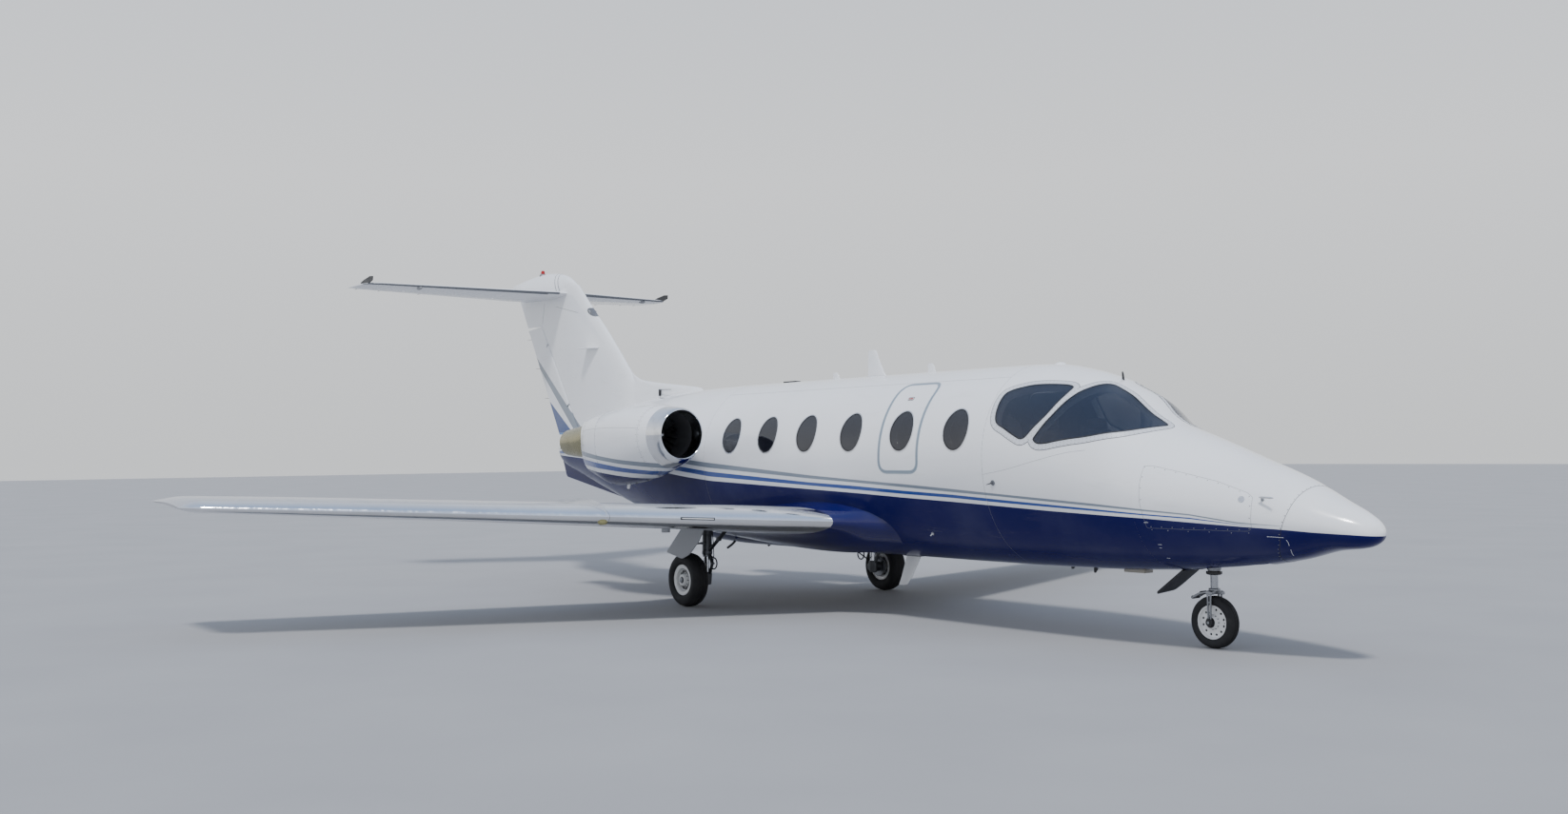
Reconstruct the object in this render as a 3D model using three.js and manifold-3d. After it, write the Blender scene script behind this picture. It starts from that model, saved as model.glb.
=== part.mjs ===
// Business jet: low swept wing, two engines on the rear fuselage, T-tail and a three-wheel landing gear.
// Millimetres. +X points forward, +Y to port and +Z up, with the origin on the ground under mid-length.
// A station is a distance aft of the nose tip.
import * as THREE from "three";
import { mergeVertices } from "three/addons/utils/BufferGeometryUtils.js";
import Module from "manifold-3d";

const wasm = await Module();
wasm.setup();

// Overall sizes
const LENGTH = 14750;
const SPAN = 13250;
const TAIL_SPAN = 5000;

// Clearances: between pieces that are fastened, between pieces that move, and at a hinge's faces
const SEAM = 0.3;
const RUNNING = 7;

// Fuselage: wall, floor and the stations where its sections meet
const WALL = 90;
const FLOOR_TOP = 940;
const PANE = 16;
const CROWN_EDGE = 2345;
const COCKPIT_FRONT = 1840;
const CABIN_FRONT = 3430;
const CABIN_REAR = 7950;
const BODY_END = 12960;
const PANEL_FRONT = 1960;
const BAY_REAR = 11900;

// Fuselage sections: station, half width, top, bottom, height of the widest point
const BODY_ROWS = [
  [0, 20, 1030, 990, 1010],
  [30, 95, 1085, 945, 1010],
  [120, 175, 1155, 900, 1020],
  [350, 290, 1270, 868, 1060],
  [660, 400, 1430, 785, 1100],
  [1140, 535, 1615, 700, 1170],
  [1600, 635, 1789, 655, 1240],
  [1830, 680, 1873, 637, 1280],
  [2000, 710, 1970, 628, 1320],
  [2210, 742, 2157, 616, 1380],
  [2400, 767, 2248, 608, 1430],
  [2520, 780, 2306, 604, 1460],
  [2800, 806, 2392, 598, 1520],
  [3220, 832, 2466, 591, 1580],
  [3600, 840, 2477, 588, 1600],
  [8000, 840, 2477, 590, 1600],
  [8600, 825, 2470, 610, 1600],
  [9400, 775, 2445, 720, 1630],
  [10200, 690, 2390, 900, 1680],
  [11000, 570, 2290, 1100, 1720],
  [11800, 430, 2085, 1310, 1740],
  [12400, 306, 1912, 1475, 1740],
  [12650, 185, 1900, 1580, 1755],
  [12850, 84, 1885, 1655, 1775],
  [BODY_END, 34, 1865, 1730, 1800],
];

// The radome's joint leans aft towards the belly: station, height
const RADOME_JOINT = [
  [523, 3000],
  [523, 1400],
  [578, 1170],
  [663, 931],
  [800, 740],
  [800, -500],
];

// Glass outlines seen from the side: station, height
const WINDSHIELD = [
  [1852, 1868],
  [1800, 1960],
  [2350, 2400],
  [2398, 2262],
  [2440, 2243],
  [2476, 2232],
  [2551, 2002],
  [2840, 1763],
  [2726, 1721],
  [2174, 1786],
];
const SIDE_WINDOW = [
  [3340, 1960],
  [3355, 2184],
  [3300, 2250],
  [2867, 2252],
  [2676, 2221],
  [2966, 1771],
  [3026, 1772],
];
const CENTRE_POST = 90;

// Cabin windows: centre stations, from the front; the exit is at the second, the door replaces the first
const WINDOW_STATIONS = [3800, 4560, 5330, 6066, 6754, 7440];
const WINDOW_HEIGHT_AT = 1865;
const WINDOW_WIDE = 315;
const WINDOW_TALL = 378;
const EXIT_WINDOW = 1;
const BELT_TALL = 70;
const BELT_THICK = 6;

// Emergency exit and entry door: front and rear stations, bottom and top heights, corner radius
const EXIT = { front: 4302, rear: 4859, low: 1469, high: 2330, corner: 90 };
const DOOR = { front: 3500, rear: 4210, low: 960, high: 2230, corner: 110, hingeOut: 862 };
const KNUCKLE_RADIUS = 14;
// Door hinge barrels: centre height, length, whether the door carries it
const KNUCKLES = [
  [1540, 80 - 2 * SEAM, true],
  [1620, 80, false],
  [1700, 80 - 2 * SEAM, true],
];

// Wing: leading and trailing edges as station at the centreline and sweep per millimetre outboard
const WING = {
  rib: 950,
  leading: 5050,
  leadingSlope: 0.4175,
  trailing: 7380,
  trailingSlope: 0.2465,
  kink: 1900,
  rootTrailing: 7990,
  height: 923,
  dihedral: 0.0445,
};
// Wing sections: distance outboard, share of the chord kept, thickness ratio, incidence in degrees
const WING_ROWS = [
  [950, 1, 0.112, 3],
  [1900, 1, 0.13, 1.9],
  [4200, 1, 0.122, -0.4],
  [6450, 1, 0.11, -2.5],
  [6570, 0.93, 0.075, -2.5],
  [SPAN / 2, 0.78, 0.02, -2.5],
];
// Root fairing sections: distance outboard, length added ahead and behind, thickness ratio
const FAIRING_ROWS = [
  [420, 520, 380, 0.17],
  [640, 380, 260, 0.15],
  [820, 120, 90, 0.122],
];
// Flap front edge: distance outboard, station
const FLAP_FRONT = [
  [1010, 7560],
  [1600, 7560],
  [1900, 7400],
  [5400, 8345],
];

// Jacking pad under each wing
const JACK_PAD = { station: 6700, side: 2150, face: 860, top: 1000, radius: 45 };

// Fin and rudder sections: height, leading station, half thickness
const FIN_ROWS = [
  [1960, 10150, 95],
  [2540, 10700, 100],
  [3053, 11220, 98],
  [3400, 11590, 92],
  [3727, 11975, 86],
  [4090, 12375, 78],
];
const DORSAL_ROWS = [
  [2250, 8900, 75],
  [2490, 9250, 60],
  [2540, 9650, 48],
  [2600, 10250, 40],
  [2660, 10680, 34],
  [2790, 10960, 24],
];
const RUDDER = {
  low: 1962,
  high: 3568,
  highAtTrailing: 3538,
  hingeStation: 12330,
  hingeSlope: 0.7,
  trailing: 12965,
  trailingSlope: 0.6,
};
const FIN_OVER_RUDDER = 3585;
// Bullet on the fin top: station, top, bottom, half width
const BULLET_ROWS = [
  [12400, 4090, 4040, 14],
  [12560, 4188, 4000, 58],
  [12700, 4252, 3975, 80],
  [13000, 4316, 3950, 102],
  [13400, 4342, 3930, 112],
  [13900, 4312, 3960, 98],
  [14200, 4282, 4060, 60],
  [14410, 4262, 4200, 14],
];
// Tailplane sections: distance outboard, leading station, trailing station, height, half thickness
const TAILPLANE_ROWS = [
  [0, 12560, 14050, 3985, 52],
  [170, 12620, 14075, 3992, 50],
  [2320, 13870, 14700, 4118, 28],
  [2440, 13980, 14730, 4125, 22],
  [TAIL_SPAN / 2, 14130, LENGTH, 4129, 8],
];
const ELEVATOR = { inner: 178, outer: 2425, hingeInner: 13640, hingeOuter: 14468 };
// Ventral fin seen from the side: station, height
const VENTRAL_FIN = [
  [10000, 1250],
  [10250, 915],
  [10800, 1030],
  [12700, 1356],
  [12860, 1690],
  [12500, 1690],
];
const VENTRAL_THICK = 60;

// Engines: centre, stations and radii
const ENGINE = { side: 1330, height: 1885, lip: 7643, seam: 7860, rear: 9550 };
// Nacelle sections: station, radius up, radius down, radius sideways, and how full the section is:
// 1 is an ellipse, less is squarer
const NACELLE_ROWS = [
  [ENGINE.seam, 320, 378, 342, 1],
  [8150, 350, 465, 384, 0.95],
  [8500, 340, 541, 401, 0.86],
  [8950, 308, 580, 370, 0.82],
  [9300, 262, 500, 304, 0.82],
  [ENGINE.rear, 232, 440, 222, 0.82],
];
const LIP_ROWS = [
  [ENGINE.lip, 280, 280, 272, 1],
  [7665, 293, 300, 286, 1],
  [7720, 305, 335, 305, 1],
  [7800, 315, 362, 328, 1],
  [ENGINE.seam - SEAM, 320, 378, 342, 1],
];
// Intake inside the lip: station, radius
const THROAT_ROWS = [
  [ENGINE.lip, 271],
  [7665, 266],
  [7720, 262],
  [ENGINE.seam, 270],
];
// Duct profile inside the nacelle: station, radius
const DUCT_ROWS = [
  [ENGINE.seam, 270],
  [8050, 285],
  [8700, 285],
  [9300, 226],
  [ENGINE.rear, 194],
];
// Exhaust nozzle: station, drop below the engine's centre line, radius
const NOZZLE_ROWS = [
  [ENGINE.rear + SEAM, 20, 206],
  [9750, 50, 200],
  [10000, 62, 182],
  [10200, 65, 160],
];
const FAN = { station: 8190, depth: 90, hub: 85, tip: 271, spinner: 150 };
const BLADE = { count: 16, chord: 76, thick: 7, pitch: 38, buried: 20 };
const CORE = { front: 8300, rear: 9480, radius: 215, mountFront: 8900, mountRear: 8980 };
const NOZZLE_WALL = 10;
// How far a bore's cutting shape runs past the end it opens
const CUT_PAST = 5;
const PYLON = { inner: 450, outer: 1180, front: 8180, rear: 9480, height: 1800, half: 62 };

// Landing gear: wheel centres and tyres
const NOSE_GEAR = { station: 1543, tyre: 218, wide: 112, rim: 140, bore: 26, hubHalf: 64 };
const MAIN_GEAR = { station: 7403, side: 1420, tyre: 290, wide: 196, rim: 164, bore: 36, hubHalf: 84 };
const MAIN_LEG = { inboard: 225, ahead: 40, radius: 58 };
// Main gear door seen from the side: station, height
const MAIN_DOOR = [
  [7260, 930],
  [6890, 890],
  [7017, 718],
  [7194, 578],
  [7332, 525],
  [7653, 584],
];
const WELL = { front: 930, rear: 1670, half: 125, top: 985 };
// Rear door of the nose well: hinge station and height, how far it hangs down, thickness
const NOSE_DOOR = { hinge: 1768, height: 640, hang: 37, thick: 10 };
// Its outline: distance aft of the hinge, y
const NOSE_DOOR_OUTLINE = [
  [0, -110],
  [368, -110],
  [322, 96],
  [240, 110],
  [0, 110],
];

// Points round the fuselage, the engines' turned pieces and the wheels
const AROUND = 24;
const ENGINE_AROUND = 20;
const WHEEL_AROUND = 24;

const X = (station) => LENGTH / 2 - station;
const radians = THREE.MathUtils.degToRad;
const lerp = THREE.MathUtils.lerp;

// Colours and finishes
const finish = (color, roughness, metalness) =>
  new THREE.MeshStandardMaterial({ color, roughness, metalness });
const WHITE_PAINT = finish(0xf2f3f4, 0.22, 0.1);
const NAVY_PAINT = finish(0x14195c, 0.18, 0.1);
const GREY_PAINT = finish(0x9a9da2, 0.4, 0.2);
const POLISHED = finish(0xd8dade, 0.12, 1);
const STEEL = finish(0x8d9094, 0.35, 0.9);
const NOZZLE_METAL = finish(0x7a7458, 0.35, 0.9);
const BLACK_TYRE = finish(0x15161a, 0.85, 0);
const CABIN_TRIM = finish(0xb9b2a4, 0.8, 0);
const DARK_PANEL = finish(0x1c1d20, 0.6, 0);
const GLASS = finish(0x1c2a38, 0.05, 0);
GLASS.transparent = true;
GLASS.opacity = 0.5;

const jet = new THREE.Group();

// A closed geometry as a solid with its faces outward.
function solidOf(geometry) {
  const bare = new THREE.BufferGeometry().setAttribute("position", geometry.getAttribute("position"));
  if (geometry.index) bare.setIndex(geometry.index);
  const merged = mergeVertices(bare, 1e-3);
  const corners = merged.index.array;
  const kept = [];
  for (let i = 0; i < corners.length; i += 3) {
    const [a, b, c] = [corners[i], corners[i + 1], corners[i + 2]];
    if (a !== b && b !== c && c !== a) kept.push(a, b, c);
  }
  const vertProperties = merged.getAttribute("position").array;
  const build = (order) =>
    new wasm.Manifold(new wasm.Mesh({ numProp: 3, vertProperties, triVerts: new Uint32Array(order) }));
  const made = build(kept);
  return made.volume() < 0 ? build(kept.reverse()) : made;
}

// A solid as a named mesh in a group.
function addPart(name, solid, material, group = jet) {
  const { vertProperties, triVerts } = solid.getMesh();
  const geometry = new THREE.BufferGeometry();
  geometry.setAttribute("position", new THREE.BufferAttribute(vertProperties, 3));
  geometry.setIndex(new THREE.BufferAttribute(triVerts, 1));
  geometry.computeVertexNormals();
  const mesh = new THREE.Mesh(geometry, material);
  mesh.name = name;
  group.add(mesh);
  return mesh;
}

// A closed body through rings that have equal counts of points, with a flat cap at each end.
function loft(rings) {
  const count = rings[0].length;
  const points = rings.flat();
  const faces = [];
  for (let r = 0; r + 1 < rings.length; r++) {
    for (let k = 0; k < count; k++) {
      const a = r * count + k;
      const b = r * count + ((k + 1) % count);
      faces.push(a, b, b + count, a, b + count, a + count);
    }
  }
  for (const r of [0, rings.length - 1]) {
    const middle = points.length;
    const centre = new THREE.Vector3();
    rings[r].forEach((p) => centre.addScaledVector(p, 1 / count));
    points.push(centre);
    for (let k = 0; k < count; k++) {
      const a = r * count + k;
      const b = r * count + ((k + 1) % count);
      faces.push(...(r ? [a, b, middle] : [b, a, middle]));
    }
  }
  const geometry = new THREE.BufferGeometry().setFromPoints(points);
  geometry.setIndex(faces);
  return solidOf(geometry);
}

// An outline turned about a vertical line: the outline's x is the radius and its y the height.
function turnedUpright(profile, segments, x = 0, y = 0) {
  const geometry = new THREE.LatheGeometry(profile.map(([r, z]) => new THREE.Vector2(r, z)), segments);
  return solidOf(geometry.rotateX(Math.PI / 2).translate(x, y, 0));
}

// An outline turned about the X axis: the outline is radius and x.
function turnedAlongX(profile, segments) {
  const geometry = new THREE.LatheGeometry(profile.map(([r, x]) => new THREE.Vector2(r, x)), segments);
  return solidOf(geometry.rotateZ(-Math.PI / 2));
}

// An outline turned about the Y axis: the outline is radius and y.
function turnedAlongY(profile, segments) {
  return solidOf(new THREE.LatheGeometry(profile.map(([r, y]) => new THREE.Vector2(r, y)), segments));
}

function box(x0, x1, y0, y1, z0, z1) {
  const geometry = new THREE.BoxGeometry(Math.abs(x1 - x0), Math.abs(y1 - y0), Math.abs(z1 - z0));
  return solidOf(geometry.translate((x0 + x1) / 2, (y0 + y1) / 2, (z0 + z1) / 2));
}

// A round bar between two points.
function bar(from, to, radius, segments = 16) {
  const start = new THREE.Vector3(...from);
  const along = new THREE.Vector3(...to).sub(start);
  const geometry = new THREE.CylinderGeometry(radius, radius, along.length(), segments);
  geometry.translate(0, along.length() / 2, 0);
  const turn = new THREE.Quaternion().setFromUnitVectors(new THREE.Vector3(0, 1, 0), along.normalize());
  return solidOf(geometry.applyQuaternion(turn).translate(start.x, start.y, start.z));
}

// An outline of [station, height] points, extruded from one y to another.
function sidePrism(outline, y0, y1) {
  const shape = new THREE.Shape(outline.map(([s, z]) => new THREE.Vector2(X(s), z)));
  const geometry = new THREE.ExtrudeGeometry(shape, { depth: Math.abs(y1 - y0), bevelEnabled: false });
  return solidOf(geometry.rotateX(Math.PI / 2).translate(0, Math.max(y0, y1), 0));
}

// An outline of [station, y] points, extruded from one height to another.
function topPrism(outline, z0, z1) {
  const shape = new THREE.Shape(outline.map(([s, y]) => new THREE.Vector2(X(s), y)));
  const geometry = new THREE.ExtrudeGeometry(shape, { depth: z1 - z0, bevelEnabled: false });
  return solidOf(geometry.translate(0, 0, z0));
}

// A closed outline moved inward by a distance, or outward by a negative one.
function inset(outline, distance) {
  const area = outline.reduce((sum, [x, y], i) => {
    const [u, v] = outline[(i + 1) % outline.length];
    return sum + x * v - u * y;
  }, 0);
  const sign = Math.sign(area) * distance;
  return outline.map(([x, y], i) => {
    const [px, py] = outline[(i + outline.length - 1) % outline.length];
    const [nx, ny] = outline[(i + 1) % outline.length];
    const before = new THREE.Vector2(x - px, y - py).normalize();
    const after = new THREE.Vector2(nx - x, ny - y).normalize();
    const normal = new THREE.Vector2(-before.y - after.y, before.x + after.x).normalize();
    const reach = sign / Math.max(0.4, normal.dot(new THREE.Vector2(-after.y, after.x)));
    return [x + normal.x * reach, y + normal.y * reach];
  });
}

// A rounded rectangle as a closed outline.
function roundedOutline({ front, rear, low, high, corner }, steps = 4) {
  const corners = [
    [rear - corner, high - corner, 0],
    [front + corner, high - corner, 90],
    [front + corner, low + corner, 180],
    [rear - corner, low + corner, 270],
  ];
  return corners.flatMap(([s, z, start]) =>
    Array.from({ length: steps + 1 }, (_, k) => {
      const angle = radians(start + (90 * k) / steps);
      return [s + corner * Math.cos(angle), z + corner * Math.sin(angle)];
    }),
  );
}

// The oval of a cabin window: a rounded shape between an ellipse and a rectangle.
function windowOutline(station, count = 16) {
  const bulge = (value) => Math.sign(value) * Math.abs(value) ** 0.8;
  return Array.from({ length: count }, (_, k) => {
    const angle = ((k + 0.5) * 2 * Math.PI) / count;
    const wide = (WINDOW_WIDE / 2) * bulge(Math.cos(angle));
    const tall = (WINDOW_TALL / 2) * bulge(Math.sin(angle));
    return [station + wide, WINDOW_HEIGHT_AT + tall];
  });
}

// A value of a table's column at a place between two rows.
function columnAt(rows, place, column) {
  const next = rows.findIndex((row) => row[0] >= place);
  if (next === 0) return rows[0][column];
  if (next < 0) return rows[rows.length - 1][column];
  const [low, high] = [rows[next - 1], rows[next]];
  return lerp(low[column], high[column], (place - low[0]) / (high[0] - low[0]));
}

// One section of the fuselage, made smaller all round by an inset.
function bodyRing([station, half, top, bottom, widest], smaller) {
  return Array.from({ length: AROUND }, (_, k) => {
    const angle = (k * 2 * Math.PI) / AROUND;
    const rise = Math.sin(angle) > 0 ? top - widest : widest - bottom;
    const y = Math.max(half - smaller, 4) * Math.cos(angle);
    return new THREE.Vector3(X(station), y, widest + Math.max(rise - smaller, 4) * Math.sin(angle));
  });
}

function bodyLoft(smaller, from, to) {
  const rows = BODY_ROWS.filter((row) => row[0] > from && row[0] < to);
  const rowAt = (station) => [station, ...[1, 2, 3, 4].map((column) => columnAt(BODY_ROWS, station, column))];
  return loft([rowAt(from), ...rows, rowAt(to)].map((row) => bodyRing(row, smaller)));
}

// The part of a solid between two stations, with half a seam left at each end.
function between(solid, from, to) {
  const reach = 3000;
  return solid.intersect(box(X(from + SEAM / 2), X(to - SEAM / 2), -reach, reach, -reach, 2 * reach));
}

// Closed shapes of the fuselage that several pieces are cut from
const hull = bodyLoft(0, 0, BODY_END);
const hullSeat = bodyLoft(-SEAM - 0.1, 0, BODY_END);
const interior = bodyLoft(WALL, PANEL_FRONT, CABIN_REAR - WALL).intersect(
  box(X(PANEL_FRONT), X(CABIN_REAR - WALL), -SPAN, SPAN, FLOOR_TOP, LENGTH),
);
const paneBack = bodyLoft(PANE, 1500, CABIN_REAR + 200);
const shell = hull.subtract(interior);
const STARBOARD = { name: "starboard", sign: -1 };
const PORT = { name: "port", sign: 1 };
const SIDES = [STARBOARD, PORT];

// A side outline as a prism that reaches through one side of the fuselage only.
const throughSide = (outline, sign, inner = 200) => sidePrism(outline, sign * inner, sign * 1500);

// The space ahead of the radome's joint, with the joint moved aft by a distance.
function aheadOfJoint(aft) {
  const joint = RADOME_JOINT.map(([s, z]) => [s + aft, z]);
  const front = [
    [-200, -500],
    [-200, 3000],
  ];
  return sidePrism([...front, ...joint], -2000, 2000);
}

function buildNose() {
  addPart("radome", hull.intersect(aheadOfJoint(-SEAM / 2)), WHITE_PAINT);
  const well = box(X(WELL.front), X(WELL.rear), -WELL.half, WELL.half, 0, WELL.top);
  const nose = between(hull, -RUNNING, COCKPIT_FRONT).subtract(aheadOfJoint(SEAM / 2));
  addPart("nose_section", nose.subtract(well), WHITE_PAINT);
}

function buildCockpit() {
  let section = between(shell, COCKPIT_FRONT, CABIN_FRONT);
  for (const { name, sign } of SIDES) {
    section = section.subtract(throughSide(WINDSHIELD, sign, CENTRE_POST / 2));
    section = section.subtract(throughSide(SIDE_WINDOW, sign));
    const skin = between(hull, COCKPIT_FRONT, CABIN_FRONT).subtract(paneBack);
    const front = skin.intersect(throughSide(inset(WINDSHIELD, SEAM), sign, CENTRE_POST / 2 + SEAM));
    const side = skin.intersect(throughSide(inset(SIDE_WINDOW, SEAM), sign));
    addPart("windshield_" + name, front, GLASS);
    addPart("cockpit_side_window_" + name, side, GLASS);
  }
  addPart("cockpit_section", section, WHITE_PAINT);
}

// The space that the entry door sweeps round its hinge line, larger by a clearance.
function doorSweep(clear) {
  const reach = DOOR.rear - DOOR.front + clear;
  const corner = DOOR.corner;
  const arc = (start, z) =>
    [0, 1, 2, 3].map((k) => {
      const angle = radians(start + 30 * k);
      return [reach - corner + corner * Math.cos(angle), z + corner * Math.sin(angle)];
    });
  const [low, high] = [DOOR.low - clear, DOOR.high + clear];
  const profile = [[0, low], ...arc(-90, low + corner), ...arc(0, high - corner), [0, high]];
  return turnedUpright(profile, 96, X(DOOR.front), DOOR.hingeOut);
}

// The door's share of the side wall, or the hole it needs when a clearance is given.
function doorTool(clear) {
  const outline = roundedOutline({
    front: DOOR.front + RUNNING - clear,
    rear: DOOR.rear + 400,
    low: DOOR.low - clear,
    high: DOOR.high + clear,
    corner: DOOR.corner,
  });
  return throughSide(outline, 1).intersect(doorSweep(clear));
}

// One barrel of the door hinge with the plate that carries it.
function knuckle([height, length, onDoor]) {
  const x = X(DOOR.front);
  const away = onDoor ? -1 : 1;
  const low = height - length / 2;
  const high = height + length / 2;
  const barrel = bar([x, DOOR.hingeOut, low], [x, DOOR.hingeOut, high], KNUCKLE_RADIUS);
  const plate = box(x, x + away * 56, 846, 858, low, high);
  const root = box(x + away * 16, x + away * 56, 800, 858, low, high);
  return barrel.add(plate).add(root);
}

function buildCabin() {
  const cabin = between(shell, CABIN_FRONT, CABIN_REAR);
  const reach = 2 * LENGTH;
  const layer = (low, high) => cabin.intersect(box(-reach, reach, -reach, reach, low, high));
  addPart("cabin_crown", layer(CROWN_EDGE + SEAM, LENGTH), WHITE_PAINT);
  addPart("cabin_belly", layer(-100, FLOOR_TOP), NAVY_PAINT);
  const ring = layer(FLOOR_TOP + SEAM, CROWN_EDGE);
  const half = (sign) => ring.intersect(box(-reach, reach, 0, sign * reach, -100, LENGTH));
  const exitOutline = roundedOutline(EXIT);
  const beltSpace = bodyLoft(WALL - 1, CABIN_FRONT, CABIN_REAR - WALL).subtract(
    bodyLoft(WALL + BELT_THICK, CABIN_FRONT - 1, CABIN_REAR - WALL + 1),
  );
  // Panes of several windows with the trim belt that carries them
  const glazing = (stations, sign) => {
    const low = WINDOW_HEIGHT_AT - BELT_TALL / 2;
    const ends = [stations[0], stations[stations.length - 1]];
    const insideWall = bodyLoft(WALL + SEAM, CABIN_FRONT - 1, CABIN_REAR + 1);
    const wall = bodyLoft(-1, CABIN_FRONT, CABIN_REAR).subtract(insideWall);
    const level = box(X(ends[0]), X(ends[1]), sign * 400, sign * 1000, low, low + BELT_TALL);
    const belt = beltSpace.subtract(wall).intersect(level);
    const panes = stations.map((s) => {
      const outline = inset(windowOutline(s), SEAM);
      const depth = hull.subtract(bodyLoft(WALL + BELT_THICK, CABIN_FRONT, CABIN_REAR - WALL));
      return depth.intersect(throughSide(outline, sign));
    });
    return stations.length > 1 ? panes.reduce((sum, pane) => sum.add(pane), belt) : panes[0];
  };
  for (const { name, sign } of SIDES) {
    let side = half(sign);
    const starboard = sign < 0;
    const stations = WINDOW_STATIONS.slice(starboard ? 0 : 1);
    stations.forEach((s) => (side = side.subtract(throughSide(windowOutline(s), sign))));
    if (starboard) {
      side = side.subtract(throughSide(exitOutline, sign));
      const exit = shell.intersect(throughSide(inset(exitOutline, SEAM), sign));
      const exitPane = throughSide(windowOutline(WINDOW_STATIONS[EXIT_WINDOW]), sign);
      addPart("emergency_exit", exit.subtract(exitPane), WHITE_PAINT);
      addPart("exit_window", glazing([WINDOW_STATIONS[EXIT_WINDOW]], sign), GLASS);
      addPart("forward_window_starboard", glazing([WINDOW_STATIONS[0]], sign), GLASS);
    } else {
      side = side.subtract(doorTool(RUNNING));
      const door = shell.intersect(doorTool(0));
      const carried = (onDoor) => KNUCKLES.filter((row) => row[2] === onDoor).map(knuckle);
      addPart("entry_door", carried(true).reduce((sum, piece) => sum.add(piece), door), WHITE_PAINT);
      side = carried(false).reduce((sum, piece) => sum.add(piece), side);
    }
    addPart("cabin_side_" + name, side, WHITE_PAINT);
    const row = WINDOW_STATIONS.slice(starboard ? EXIT_WINDOW + 1 : EXIT_WINDOW);
    addPart("cabin_windows_" + name, glazing(row, sign), GLASS);
  }
}

// A seat: its front edge station, its middle y and which way it faces (1 forward, -1 aft).
function seat(station, y, facing) {
  const base = FLOOR_TOP + SEAM;
  const at = (offset) => X(station + facing * offset);
  const cushion = box(at(0), at(460), y - 210, y + 210, base + 300, base + 430);
  const back = box(at(400), at(520), y - 210, y + 210, base + 300, base + 1010);
  const stand = box(at(80), at(400), y - 110, y + 110, base, base + 310);
  return cushion.add(back).add(stand);
}

// Seats that share a floor rail, given as rows of station, y and facing.
function seatRow(rows, railY) {
  const base = FLOOR_TOP + SEAM;
  const stations = rows.map((row) => row[0]);
  const ends = [Math.min(...stations) - 200, Math.max(...stations) + 200];
  const rail = box(X(ends[0]), X(ends[1]), railY - 40, railY + 40, base, base + 20);
  return rows.map((row) => seat(...row)).reduce((sum, piece) => sum.add(piece), rail);
}

function buildFurnishings() {
  const base = FLOOR_TOP + SEAM;
  const crossRail = box(X(2860), X(2960), -330, 330, base, base + 40);
  const pilots = [-330, 330].map((y) => seat(2620, y, 1)).reduce((sum, piece) => sum.add(piece), crossRail);
  addPart("cockpit_seats", pilots, CABIN_TRIM);
  for (const { name, sign } of SIDES) {
    const rows = [
      [5000, sign * 400, -1],
      [5560, sign * 400, 1],
      [6500, sign * 400, 1],
    ];
    addPart("cabin_seats_" + name, seatRow(rows, sign * 400), CABIN_TRIM);
  }
  const dash = box(X(PANEL_FRONT + 30), X(2150), -450, 450, 1330, 1640);
  const shield = box(X(PANEL_FRONT + 30), X(2260), -430, 430, 1630, 1680);
  const pedestal = box(X(2100), X(2560), -110, 110, base, 1400);
  addPart("instrument_panel", dash.add(shield).add(pedestal), DARK_PANEL);
}

function buildRearFuselage() {
  const bay = bodyLoft(WALL, CABIN_REAR - WALL, BAY_REAR);
  addPart("rear_fuselage", between(hull, CABIN_REAR, BODY_END + RUNNING).subtract(bay), WHITE_PAINT);
  const plate = sidePrism(VENTRAL_FIN, -VENTRAL_THICK / 2, VENTRAL_THICK / 2);
  addPart("ventral_fin", plate.subtract(hullSeat), NAVY_PAINT);
}

// Half thickness of a symmetric aerofoil as a share of its greatest, at a share of the chord.
function aerofoilHalf(share) {
  const u = Math.min(1, Math.max(0, share));
  const shape = 0.2969 * Math.sqrt(u) - 0.126 * u - 0.3516 * u ** 2 + 0.2843 * u ** 3 - 0.1015 * u ** 4;
  return Math.max(shape * 10, 0.02);
}

const CHORD_STEPS = 8;
const CAMBER = 0.015;
const chordShares = Array.from({ length: CHORD_STEPS + 1 }, (_, k) => {
  return (1 - Math.cos((k * Math.PI) / CHORD_STEPS)) / 2;
});

function wingEdges(y) {
  const leading = WING.leading + WING.leadingSlope * y;
  const straight = WING.trailing + WING.trailingSlope * y;
  const kinked = WING.trailing + WING.trailingSlope * WING.kink;
  const t = (WING.kink - y) / (WING.kink - WING.rib);
  return { leading, trailing: y < WING.kink ? lerp(kinked, WING.rootTrailing, t) : straight };
}

// One section of the wing: its leading edge, chord, thickness ratio and incidence.
function wingRing(y, sign, leading, chord, ratio, incidence) {
  const height = WING.height + WING.dihedral * y;
  const tilt = radians(incidence);
  const place = (u, w) =>
    new THREE.Vector3(
      X(leading + chord * (u * Math.cos(tilt) + w * Math.sin(tilt))),
      sign * y,
      height + chord * (w * Math.cos(tilt) - u * Math.sin(tilt)),
    );
  const camber = (u) => 4 * CAMBER * u * (1 - u);
  const half = (u) => (ratio / 2) * aerofoilHalf(u);
  const upper = chordShares.map((u) => place(u, camber(u) + half(u) + (u ? 0 : 1e-3)));
  const lower = chordShares.slice(1).reverse().map((u) => place(u, camber(u) - half(u)));
  return [...upper, ...lower];
}

function wingRow([y, kept, ratio, incidence], sign) {
  const { leading, trailing } = wingEdges(y);
  const chord = trailing - leading;
  return wingRing(y, sign, leading + (chord * (1 - kept)) / 2, chord * kept, ratio, incidence);
}

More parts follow.
